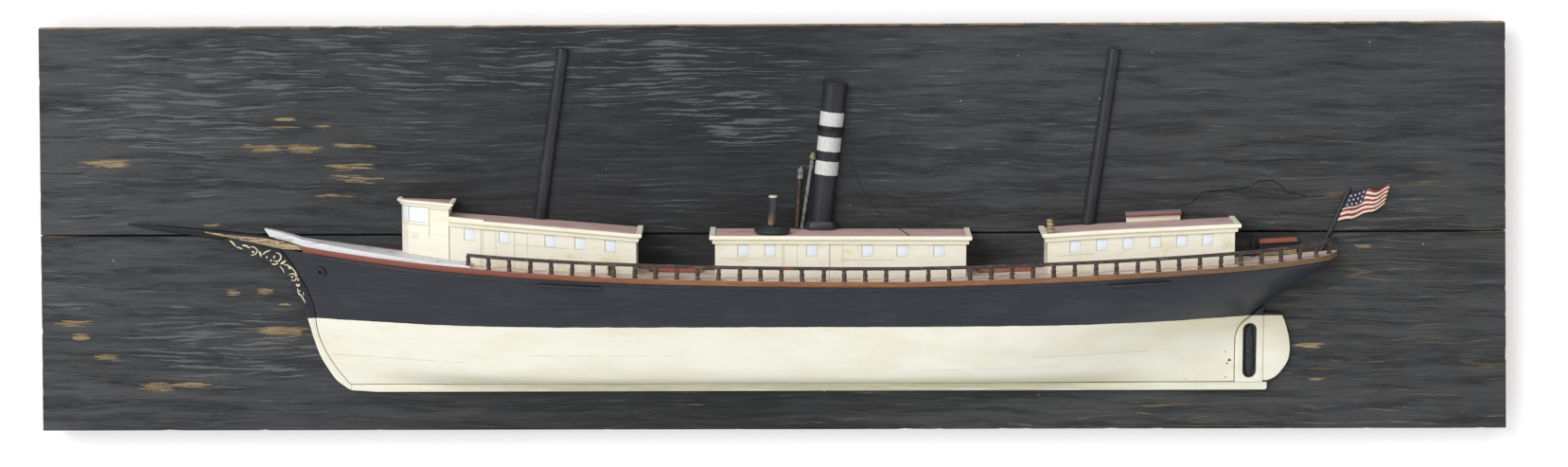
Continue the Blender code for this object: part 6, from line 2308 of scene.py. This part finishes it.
def railing_solid(deck):
    path = rail_path()
    half, tall = deck.rail_width / 2, deck.rail_depth
    section = (
        (-half, -tall),
        (half, -tall),
        (half * 1.05, -tall * 0.55),
        (half * 0.9, -tall * 0.2),
        (half * 0.5, 0.0),
        (-half * 0.5, 0.0),
        (-half * 0.9, -tall * 0.2),
        (-half * 1.05, -tall * 0.55),
    )
    solids = [sweep(path, section, lambda x, out: deck_top(min(x, STERN_TIP)) + RAIL_HEIGHT)]
    rng = np.random.default_rng(5)
    for number in range(deck.balusters):
        x, out = along_path(path, BALUSTER_FIRST - RAIL_START + deck.pitch * number)
        foot = deck_top(x) + GAP
        if x < LIFT_END + 0.004:
            foot = lift_top(LIFT_END - 0.003) + GAP
        height = deck_top(x) + RAIL_HEIGHT - tall * 0.7 - foot
        lean = float(rng.uniform(-0.05, 0.05))
        thick = float(rng.uniform(0.92, 1.0))
        x += float(rng.uniform(-0.0003, 0.0003))
        profile = [(radius * thick, share * height) for radius, share in BALUSTER_PROFILE]
        solids.append(turned(profile, sides=12, lean=lean, at=(x, out, foot)))
    return joined(*solids)


class HALFHULL_OT_railing(bpy.types.Operator):
    """Builds the railing: a rounded cap on small turned posts"""

    bl_idname = "half_hull.railing"
    bl_label = "Railing"

    def execute(self, context):
        deck = context.scene.half_hull.deck
        railing = new_object("rail_and_balusters", *railing_solid(deck), [rail_paint(deck)])
        settle(railing, ["railing"], sharp=50)
        return {"FINISHED"}


HATCH_LEFTS = {"hatch_fore": -0.1538, "hatch_aft": 0.2550}
HATCH_LENGTH = 0.0658
HATCH_DEPTH = 0.033
HATCH_HEIGHT = 0.0048
LOCKER = (0.6060, 0.6530)
LOCKER_MIDDLE = 0.6295
LOCKER_SLOPE = 0.06
BITT_AT = (-0.2010, 0.0770)
BINNACLE_AT = (0.5990, 0.0065)
BITT_PROFILE = (
    (0.0026, 0.0),
    (0.0025, 0.0009),
    (0.0020, 0.0014),
    (0.0018, 0.0040),
    (0.0018, 0.0060),
    (0.0023, 0.0074),
    (0.0025, 0.0090),
    (0.0023, 0.0106),
    (0.0015, 0.0118),
    (0.0009, 0.0120),
)
BINNACLE_PROFILE = (
    (0.0032, 0.0),
    (0.0031, 0.0009),
    (0.0024, 0.0016),
    (0.0018, 0.0040),
    (0.0016, 0.0085),
    (0.0020, 0.0120),
    (0.0032, 0.0142),
    (0.0034, 0.0152),
    (0.0034, 0.0188),
    (0.0028, 0.0202),
    (0.0014, 0.0212),
    (0.0017, 0.0235),
    (0.0013, 0.0246),
    (0.0006, 0.0252),
)


def locker_line(rise):
    return lambda x: deck_top(LOCKER_MIDDLE) + rise + LOCKER_SLOPE * (x - LOCKER_MIDDLE)


class HALFHULL_OT_deck_fittings(bpy.types.Operator):
    """Builds the hatches, the bitt, the binnacle and the stern locker"""

    bl_idname = "half_hull.deck_fittings"
    bl_label = "Deck fittings"

    def execute(self, context):
        deck = context.scene.half_hull.deck
        orange, wood, brown = lid_paint(deck), bare_wood(deck), brown_paint()
        black = bpy.data.materials["fitting_black_paint"]
        for node, left in HATCH_LEFTS.items():
            rows = [
                block(left, left + HATCH_LENGTH, GAP, HATCH_DEPTH, lambda x: deck_top(x) + GAP,
                      lambda x: deck_top(x) + HATCH_HEIGHT)
            ]
            settle(
                new_object(node + "_lid", *joined(*rows), [orange]), [node], edge=0.0008
            )
        x, out = BITT_AT
        bitt = new_object("bitt_post", *turned(BITT_PROFILE, at=(x, out, deck_top(x) + GAP)), [brown])
        settle(bitt, ["bitt"], sharp=50)
        x, out = BINNACLE_AT
        stand = new_object(
            "binnacle_stand", *turned(BINNACLE_PROFILE, at=(x, out, deck_top(x) + GAP)), [black]
        )
        settle(stand, ["binnacle"], sharp=50)

        left, right = LOCKER
        slats = []
        for k in range(3):
            low, high = 0.0008 + 0.0018 * k, 0.0008 + 0.0018 * (k + 1) - 0.0002
            slats.append(block(left, right, GAP, 0.0105 - 0.0012 * k, locker_line(low), locker_line(high)))
        settle(
            new_object("locker_slats", *joined(*slats), [wood]), ["stern_locker_plinth"],
            edge=0.0003
        )
        case = [block(left + 0.0005, right - 0.0005, GAP, 0.0072, locker_line(0.0065), locker_line(0.0158))]
        settle(
            new_object("locker_case", *joined(*case), [black]), ["stern_locker_case"],
            edge=0.0004
        )
        lid = [block(left, right, GAP, 0.0135, locker_line(0.0161), locker_line(0.0210))]
        settle(
            new_object("locker_lid", *joined(*lid), [orange]), ["stern_locker_lid"],
            edge=0.0009
        )
        return {"FINISHED"}


SKYLIGHT = (0.4405, 0.5075)
STUB_AT = (0.3440, 0.0585)
STUB_PROFILE = (
    (0.0044, 0.0),
    (0.0044, 0.0040),
    (0.0043, 0.0090),
    (0.0040, 0.0140),
    (0.0036, 0.0160),
    (0.0028, 0.0170),
    (0.0016, 0.0172),
)
SAUCER_AT = (-0.0010, 0.0425)
SAUCER_PROFILE = (
    (0.0190, 0.0),
    (0.0206, 0.0008),
    (0.0221, 0.0028),
    (0.0224, 0.0040),
    (0.0222, 0.0049),
    (0.0190, 0.0060),
    (0.0140, 0.0076),
    (0.0090, 0.0085),
    (0.0070, 0.0087),
    (0.0070, 0.0088),
)
PIPE_PROFILE = (
    (0.0052, 0.0), (0.0052, 0.0345), (0.0053, 0.0348), (0.0053, 0.0364), (0.0049, 0.037), (0.0038, 0.037)
)


class HALFHULL_OT_roof_fittings(bpy.types.Operator):
    """Builds the skylight, the stove's wooden stub and the ventilator on its saucer"""

    bl_idname = "half_hull.roof_fittings"
    bl_label = "Roof fittings"

    def execute(self, context):
        settings = context.scene.half_hull
        deck, funnel = settings.deck, settings.funnel
        left, right = SKYLIGHT
        seat = lambda x: max(roof_surface("aft_house", x, GAP), roof_surface("aft_house", x, 0.007)) + GAP
        body = block(left, right, GAP, 0.0072, seat, lambda x: seat(x) + 0.0066)
        cream = bpy.data.materials["house_cream_paint"]
        settle(new_object("skylight_body", *body, [cream]), ["skylight"], edge=0.0003)
        rings = []
        for x in (left - 0.0012, right + 0.0012):
            low = seat(x) + 0.0069
            ends = ((GAP, low), (0.0105, low), (0.0105, low + 0.0030), (GAP, low + 0.0060))
            rings.append([place(x, out, z) for out, z in ends])
        lid = new_object("skylight_cover", *ring_grid(rings), [skylight_paint(settings)])
        settle(lid, ["skylight_lid"], edge=0.0006)

        x, out = STUB_AT
        foot = roof_surface("aft_house", x, 0.0540) + GAP + 0.0009
        stub = new_object("stove_peg", *turned(STUB_PROFILE, lean=-0.2, at=(x, out, foot)), [bare_wood(deck)])
        settle(stub, ["stove_stub"], sharp=50)
        x, out = SAUCER_AT
        seat_at = roof_surface("mid_house", x, out) + 2 * GAP
        tilt = math.atan(2 * CROWN * out / house_front(HOUSES["mid_house"], 0.0) ** 2)
        saucer = turned(SAUCER_PROFILE, sides=48, tilt=tilt, at=(x, out, seat_at))
        settle(
            new_object("vent_saucer", *saucer, [slate_grey(funnel)]), ["ventilator_base"],
            sharp=50
        )
        pipe = turned(PIPE_PROFILE, lean=0.03, at=(x, out, seat_at + 0.0088 + 0.0010))
        settle(
            new_object("vent_pipe", *pipe, [vent_paint(settings)]), ["ventilator_pipe"],
            sharp=50
        )
        return {"FINISHED"}


def spar_radii(low, high):
    """A spar's taper, with its top edge rounded over."""
    edge = [(0.985, high), (0.994, high * 0.985), (0.998, high * 0.93), (1.0, high * 0.82)]
    return (0.0, low), (0.5, (low + high) / 2), *edge


class HALFHULL_OT_spars(bpy.types.Operator):
    """Builds the two cut-off masts and the flagstaff"""

    bl_idname = "half_hull.spars"
    bl_label = "Masts and flagstaff"

    def execute(self, context):
        black = spar_paint(context.scene.half_hull.funnel)
        masts = [("foremast", "forward_house", FOREMAST), ("mainmast", "aft_house", MAINMAST)]
        for node, house, mast in masts:
            roof = partial(roof_surface, house)
            solid = half_round(mast["foot"], mast["head"], spar_radii(*mast["radii"]), seat=roof)
            settle(new_object(node + "_spar", *solid, [black]), [node], sharp=40)
        staff = ((0.0, 0.0030), (0.6, 0.0029), (0.97, 0.0023), (0.99, 0.0021), (1.0, 0.0014))
        top = lambda x, out: deck_top(min(x, STERN_TIP)) + 0.0006
        solid = half_round(FLAGSTAFF_FOOT, FLAGSTAFF_HEAD, staff, sides=16, seat=top)
        settle(new_object("flagstaff_spar", *solid, [black]), ["flagstaff"], sharp=40)
        return {"FINISHED"}


COLLAR_PROFILE = ((0.0196, 0.0), (0.0198, 0.0056), (0.0164, 0.0104))
COLLAR_PLAN = ((-1.0, 0.0), (-1.0, 0.50), (-0.72, 0.98), (0.72, 0.98), (1.0, 0.50), (1.0, 0.0))
STRAP_UP = 0.1160
STRAP_WIDTH = 0.0062


def funnel_base_solid():
    rings = []
    for spread, rise in COLLAR_PROFILE:
        ring = []
        for side, depth in COLLAR_PLAN:
            x = FUNNEL_FOOT[0] + side * spread
            out = GAP + depth * spread
            ring.append(place(x, out, roof_surface("mid_house", x, out) + GAP + rise))
        rings.append(ring)
    return ring_grid(rings)


def up_funnel(distance):
    """The turn and place of something a distance up the funnel's axis."""
    rake = math.atan2(FUNNEL_HEAD[0] - FUNNEL_FOOT[0], FUNNEL_HEAD[1] - FUNNEL_FOOT[1])
    at = (FUNNEL_FOOT[0] + math.sin(rake) * distance, 0.0, FUNNEL_FOOT[1] + math.cos(rake) * distance)
    return Matrix.Translation(place(*at)) @ Matrix.Rotation(rake, 4, "Y")


def strap_solid():
    """A flat iron strap bent half round the funnel, with two small eyelets in front."""
    turn = up_funnel(STRAP_UP)
    inner, outer = FUNNEL_RADIUS + 0.0004, FUNNEL_RADIUS + 0.0016
    rings = []
    for k in range(37):
        angle = math.pi * k / 36
        ring = []
        section = ((inner, 0.0), (outer - 0.0003, 0.0), (outer, 0.0006), (outer, STRAP_WIDTH - 0.0006),
                   (outer - 0.0003, STRAP_WIDTH), (inner, STRAP_WIDTH))
        for radius, z in section:
            ring.append(turn @ Vector((radius * math.cos(angle), -GAP - radius * math.sin(angle), z)))
        rings.append(ring)
    solids = [ring_grid(rings)]
    for angle in (math.radians(128), math.radians(38)):
        middle = Vector((math.cos(angle), -math.sin(angle), 0.0)) * (outer - 0.0004) + Vector(
            (0, 0, STRAP_WIDTH / 2)
        )
        knob = []
        away = Vector((math.cos(angle), -math.sin(angle), 0.0))
        side = Vector((math.sin(angle), math.cos(angle), 0.0))
        for radius, rise in ((0.0012, 0.0), (0.0012, 0.0006), (0.0008, 0.0011), (0.0003, 0.0012)):
            ring = []
            for k in range(12):
                spin = 2 * math.pi * k / 12
                spot_at = middle + away * rise + side * radius * math.cos(spin) + Vector(
                    (0, 0, radius * math.sin(spin))
                )
                ring.append(turn @ spot_at)
            knob.append(ring)
        solids.append(ring_grid(knob))
    return joined(*solids)


class HALFHULL_OT_funnel(bpy.types.Operator):
    """Builds the funnel with its painted bands, its base and its iron strap"""

    bl_idname = "half_hull.funnel"
    bl_label = "Funnel"

    def execute(self, context):
        funnel = context.scene.half_hull.funnel
        rim = FUNNEL_RIM / math.dist(FUNNEL_FOOT, FUNNEL_HEAD)
        radii = (
            (0.0, FUNNEL_RADIUS - 0.0006),
            (1 - rim, FUNNEL_RADIUS),
            (1 - 0.85 * rim, FUNNEL_RADIUS + 0.0006),
            (1 - 0.6 * rim, FUNNEL_RADIUS + 0.0008),
            (1 - 0.2 * rim, FUNNEL_RADIUS + 0.0008),
            (1.0, FUNNEL_RADIUS + 0.0003),
        )
        roof = partial(roof_surface, "mid_house")
        body = half_round(FUNNEL_FOOT, FUNNEL_HEAD, radii, sides=44, seat=roof)
        settle(new_object("funnel_body", *body, [funnel_paint(funnel)]), ["funnel"], sharp=35)
        base = new_object("funnel_block", *funnel_base_solid(), [slate_grey(funnel)])
        below = (FUNNEL_FOOT[0] - 0.0010, FUNNEL_FOOT[1] - 0.0100)
        radii = ((0.0, FUNNEL_RADIUS), (1.0, FUNNEL_RADIUS))
        hole = half_round(below, FUNNEL_HEAD, radii, grow=CLEARANCE, sunk=0.002, sides=44)
        carve(base, new_object("funnel_hole", *hole, []))
        settle(base, ["funnel_base"], edge=0.0006)
        settle(
            new_object("funnel_band_iron", *strap_solid(), [dark_iron(funnel)]),
            ["funnel_strap"], sharp=50
        )
        return {"FINISHED"}


STEAM_PIPE = {"foot": (0.0360, 0.0032), "head": (0.0485, 0.0845), "radius": 0.0025}
GALLEY_PIPE = {"foot": (0.0298, 0.0032), "head": (0.0330, 0.0605), "radius": 0.0029}
WHISTLE_PROFILE = (
    (0.0014, 0.0),
    (0.0030, 0.0010),
    (0.0038, 0.0018),
    (0.0040, 0.0034),
    (0.0040, 0.0050),
    (0.0033, 0.0062),
    (0.0026, 0.0068),
    (0.0030, 0.0078),
    (0.0029, 0.0086),
    (0.0018, 0.0094),
    (0.0008, 0.0098),
)
LANTERN_PROFILE = (
    (0.0020, 0.0),
    (0.0036, 0.0006),
    (0.0040, 0.0014),
    (0.0034, 0.0026),
    (0.0034, 0.0096),
    (0.0042, 0.0102),
    (0.0040, 0.0110),
    (0.0026, 0.0130),
    (0.0012, 0.0148),
    (0.0006, 0.0160),
)


def pipe_solid(pipe, seat):
    """A turned pipe with a narrow collar near its foot and head."""
    foot = (*pipe["foot"], seat)
    span = math.dist((foot[0], foot[2]), pipe["head"])
    lean = math.atan2(pipe["head"][0] - foot[0], pipe["head"][1] - foot[2])
    radius = pipe["radius"]
    shares = ((0.0, 1.0), (0.03, 1.0), (0.04, 0.9), (0.90, 0.9), (0.91, 1.0), (0.97, 1.0), (1.0, 0.8))
    return turned([(radius * wide, span * share) for share, wide in shares], sides=20, lean=lean, at=foot)


class HALFHULL_OT_pipes(bpy.types.Operator):
    """Builds the steam pipe with its whistle and the galley pipe with its lantern"""

    bl_idname = "half_hull.pipes"
    bl_label = "Pipes"

    def execute(self, context):
        settings = context.scene.half_hull
        grey, brown = grey_paint(settings.funnel), bpy.data.materials["pipe_brown_paint"]
        seat = roof_surface("mid_house", STEAM_PIPE["foot"][0], 0.0) + GAP + 0.0004
        settle(
            new_object("steam_pipe_body", *pipe_solid(STEAM_PIPE, seat), [grey]),
            ["steam_pipe"], sharp=40
        )
        settle(
            new_object("galley_pipe_body", *pipe_solid(GALLEY_PIPE, seat), [brown]),
            ["galley_pipe"], sharp=40
        )
        whistle = turned(WHISTLE_PROFILE, sides=24, lean=0.14, at=(0.0487, 0.0042, 0.0850))
        settle(
            new_object("whistle_body", *whistle, [whistle_paint()]), ["steam_whistle"],
            sharp=50
        )
        lantern = turned(LANTERN_PROFILE, sides=24, lean=0.08, at=(0.0334, 0.0044, 0.0611))
        settle(new_object("lantern_body", *lantern, [grey]), ["pipe_lantern"], sharp=50)
        return {"FINISHED"}


FLAG_CORNERS = {
    "hoist_top": (0.7163, 0.0420),
    "fly_top": (0.7674, 0.0541),
    "hoist_low": (0.7026, 0.0090),
    "fly_low": (0.7609, 0.0291),
}
FLAG_THICKNESS = 0.0016
FLAG_CLEAR = 0.0016
STAR_RADIUS = 0.0016


def flag_point(u, v, wave):
    """A point of the carved flag: u along the fly, v up the hoist. It hangs in soft upright folds."""
    c = FLAG_CORNERS
    low = between(c["hoist_low"], c["fly_low"], u)
    high = between(c["hoist_top"], c["fly_top"], u)
    sag = -0.0030 * math.sin(math.pi * u) * (1 - v) + 0.0020 * math.sin(2 * math.pi * u) * v
    sag += 0.0011 * math.sin(2 * math.pi * (2.2 * u + 0.3 * v)) * min(1.0, 5 * u)
    x, z = between(low, high, v)
    out = 0.0026 + wave * math.sin(2 * math.pi * (1.6 * u + 0.25 * v)) * min(1.0, 4 * u)
    return x + FLAG_CLEAR, out, z + sag


def star_solid(u, v, wave):
    """A small raised star on the canton."""
    x, out, z = flag_point(u, v, wave)
    face = out + FLAG_THICKNESS
    outline = []
    for k in range(10):
        radius = STAR_RADIUS if k % 2 == 0 else STAR_RADIUS * 0.48
        angle = math.pi / 2 + math.pi * k / 5
        outline.append((x + radius * math.cos(angle), z + radius * math.sin(angle)))
    return plate(outline, face - 0.0002, face + 0.00025)


class HALFHULL_OT_flag(bpy.types.Operator):
    """Builds the carved flag with its stripes and stars"""

    bl_idname = "half_hull.flag"
    bl_label = "Flag"

    def execute(self, context):
        flag = context.scene.half_hull.flag
        across, up = 60, 26
        points, faces, fly, hoist = [], [], [], []
        for front in (0, 1):
            for i in range(across + 1):
                for j in range(up + 1):
                    u, v = i / across, j / up
                    x, out, z = flag_point(u, v, flag.wave)
                    rim = min(u, 1 - u, 0.4 * v, 0.4 * (1 - v)) * 40
                    thick = FLAG_THICKNESS - 0.0003 * max(1 - rim, 0.0) ** 2
                    points.append(place(x, out + front * thick, z))
                    fly.append(u)
                    hoist.append(v)
        size = (across + 1) * (up + 1)
        number = lambda i, j, front: front * size + i * (up + 1) + j
        for i in range(across):
            for j in range(up):
                for front in (0, 1):
                    corners = ((i, j), (i + 1, j), (i + 1, j + 1), (i, j + 1))
                    faces.append(tuple(number(a, b, front) for a, b in corners))
        border = [(i, 0) for i in range(across)] + [(across, j) for j in range(up)]
        border += [(i, up) for i in range(across, 0, -1)] + [(0, j) for j in range(up, 0, -1)]
        for (a, b), (c, d) in zip(border, border[1:] + border[:1]):
            faces.append((number(a, b, 0), number(c, d, 0), number(c, d, 1), number(a, b, 1)))
        cloth = new_object("flag_cloth", points, faces, [flag_paint(flag)])
        for name, values in (("fly", fly), ("hoist", hoist)):
            attribute = cloth.data.attributes.new(name, "FLOAT", "POINT")
            attribute.data.foreach_set("value", np.array(values, np.float32))
        settle(cloth, ["flag"], sharp=50)
        stars = []
        for row in range(3):
            for column in range(4):
                stars.append(star_solid(0.07 + 0.105 * column, 0.56 + 0.165 * row, flag.wave))
        settle(new_object("flag_stars", *joined(*stars), [star_paint(flag)]), sharp=30)
        return {"FINISHED"}


CHAIN_ROUTE = (
    (0.0858, 0.0140, 0.1165),
    (0.0901, 0.0215, 0.1001),
    (0.0977, 0.0271, 0.0845),
    (0.1054, 0.0337, 0.0650),
    (0.1140, 0.0396, 0.0468),
    (0.1241, 0.0448, 0.0325),
    (0.1345, 0.0496, 0.0212),
    (0.1456, 0.0540, 0.0122),
    (0.1554, 0.0575, 0.0058),
    (0.1635, 0.0602, 0.0012),
    (0.1678, 0.0620, -0.0019),
)
CHAIN_THICKNESS = 0.0018


def link_solid(middle, ahead, turned_by, link, wire):
    """One wire link: a stadium of round wire, in a plane turned about the chain's run."""
    across = ahead.orthogonal().normalized()
    across = Matrix.Rotation(turned_by, 3, ahead) @ across
    normal = ahead.cross(across)
    half_long, half_wide = link * 0.5, CHAIN_THICKNESS / 2 - wire / 2
    points, faces = [], []
    around, thick = 14, 6
    for k in range(around):
        angle = 2 * math.pi * k / around
        shift = half_long * (1 if math.cos(angle) > 0 else -1) * 0.5
        spine = ahead * (math.cos(angle) * half_wide + shift) + across * math.sin(angle) * half_wide
        outward = (ahead * math.cos(angle) + across * math.sin(angle)).normalized()
        for m in range(thick):
            spin = 2 * math.pi * m / thick
            points.append(middle + spine + (outward * math.cos(spin) + normal * math.sin(spin)) * wire / 2)
    for k in range(around):
        for m in range(thick):
            here, beside = k * thick, (k + 1) % around * thick
            after = (m + 1) % thick
            faces.append((here + m, here + after, beside + after, beside + m))
    return points, faces


class HALFHULL_OT_chain(bpy.types.Operator):
    """Builds the guy chain from the funnel's strap to the roof's edge, link by link"""

    bl_idname = "half_hull.chain"
    bl_label = "Guy chain"

    def execute(self, context):
        funnel = context.scene.half_hull.funnel
        route = [place(*point) for point in smooth_route(CHAIN_ROUTE, 400)]
        run = sum((b - a).length for a, b in zip(route, route[1:]))
        pitch = funnel.link
        count = int(run / pitch)
        solids = []
        travelled, step = 0.0, 0
        for number in range(count):
            wanted = (number + 0.5) * run / count
            while step < len(route) - 2 and travelled + (route[step + 1] - route[step]).length < wanted:
                travelled += (route[step + 1] - route[step]).length
                step += 1
            ahead = (route[step + 1] - route[step]).normalized()
            middle = route[step] + ahead * (wanted - travelled)
            turned_by = math.radians(45 if number % 2 else 135)
            solids.append(link_solid(middle, ahead, turned_by, pitch, funnel.wire))
        chain = new_object("chain_links", *joined(*solids), [dark_iron(funnel)])
        settle(chain, ["guy_chain"], sharp=60)
        return {"FINISHED"}


CAMERA_AT = (0.0136, -4.6998, 0.6058)
CAMERA_TILT = 82.5
WALL_SPAN = 60.0
FLOOR_DROP = -1.1
KEY_FROM = (-4.2, -5.0, 2.9)
TOP_FROM = (-0.6, -1.6, 3.0)
TOP_SPREAD = 1.2


def flat_sheet(name, corners, finish):
    mesh = bpy.data.meshes.new(name)
    mesh.from_pydata(corners, [], [(0, 1, 2, 3)])
    mesh.materials.append(finish)
    sheet = bpy.data.objects.new(name, mesh)
    bpy.context.scene.collection.objects.link(sheet)
    return sheet


def soft_light(name, source, strength, spread):
    """Even light from one side of the studio, as wide as a large diffuser."""
    light = bpy.data.lights.new(name, "SUN")
    light.energy = strength
    light.angle = spread
    lamp = bpy.data.objects.new(name, light)
    lamp.location = source
    lamp.rotation_euler = (-Vector(source)).to_track_quat("-Z", "Y").to_euler()
    bpy.context.scene.collection.objects.link(lamp)


class HALFHULL_OT_stage(bpy.types.Operator):
    """Sets the plain studio: white wall, pale floor, soft lamps and the camera"""

    bl_idname = "half_hull.stage"
    bl_label = "Wall, floor, lights and camera"

    def execute(self, context):
        stage = context.scene.half_hull.stage
        far = WALL_SPAN
        wall = flat_sheet(
            "stage_wall",
            [(-far, 0.0, -far), (far, 0.0, -far), (far, 0.0, far), (-far, 0.0, far)],
            stage_paint("stage_wall_emulsion", stage.wall, stage.glow),
        )
        wall.visible_shadow = False
        wall.visible_diffuse = False
        flat_sheet(
            "stage_floor",
            [
                (-far, -far, FLOOR_DROP), (far, -far, FLOOR_DROP), (far, far, FLOOR_DROP),
                (-far, far, FLOOR_DROP)
            ],
            stage_paint("stage_floor_paint", stage.floor, stage.floor_glow)
        )
        world = bpy.data.worlds.new("studio_sky")
        world.use_nodes = True
        sky = world.node_tree.nodes["Background"]
        sky.inputs["Color"].default_value = (1.0, 1.0, 1.0, 1.0)
        sky.inputs["Strength"].default_value = stage.fill
        context.scene.world = world
        soft_light("key_light", KEY_FROM, stage.key, stage.key_spread)
        soft_light("top_light", TOP_FROM, stage.top, TOP_SPREAD)
        camera_data = bpy.data.cameras.new("photo_camera")
        camera_data.lens = stage.lens
        camera_data.sensor_width = 36.0
        camera_data.clip_end = 200.0
        camera = bpy.data.objects.new("photo_camera", camera_data)
        camera.location = CAMERA_AT
        camera.rotation_euler = (math.radians(CAMERA_TILT), 0.0, 0.0)
        context.scene.collection.objects.link(camera)
        context.scene.camera = camera
        context.scene.view_settings.view_transform = "Standard"
        return {"FINISHED"}


class HALFHULL_PT_panel(bpy.types.Panel):
    """Lists the pieces of the half hull in the order in which they are built"""

    bl_idname = "HALFHULL_PT_panel"
    bl_label = "Half hull"
    bl_space_type = "VIEW_3D"
    bl_region_type = "UI"
    bl_category = "Half hull"

    def draw(self, context):
        for step in STEPS:
            self.layout.operator(step.bl_idname)


SETTINGS = (
    BoardSettings,
    HullSettings,
    HouseSettings,
    DeckSettings,
    FunnelSettings,
    FlagSettings,
    StageSettings,
    HalfHullSettings,
)
STEPS = (
    HALFHULL_OT_stage,
    HALFHULL_OT_backboard,
    HALFHULL_OT_hull,
    HALFHULL_OT_stern,
    HALFHULL_OT_deck,
    HALFHULL_OT_houses,
    HALFHULL_OT_railing,
    HALFHULL_OT_deck_fittings,
    HALFHULL_OT_roof_fittings,
    HALFHULL_OT_spars,
    HALFHULL_OT_funnel,
    HALFHULL_OT_pipes,
    HALFHULL_OT_flag,
    HALFHULL_OT_chain,
)


def register():
    for kind in (*SETTINGS, *STEPS, HALFHULL_PT_panel):
        bpy.utils.register_class(kind)
    bpy.types.Scene.half_hull = PointerProperty(type=HalfHullSettings)


def unregister():
    del bpy.types.Scene.half_hull
    for kind in reversed((*SETTINGS, *STEPS, HALFHULL_PT_panel)):
        bpy.utils.unregister_class(kind)


def main():
    register()
    for step in STEPS:
        group, name = step.bl_idname.split(".")
        getattr(getattr(bpy.ops, group), name)()


if __name__ == "__main__":
    main()
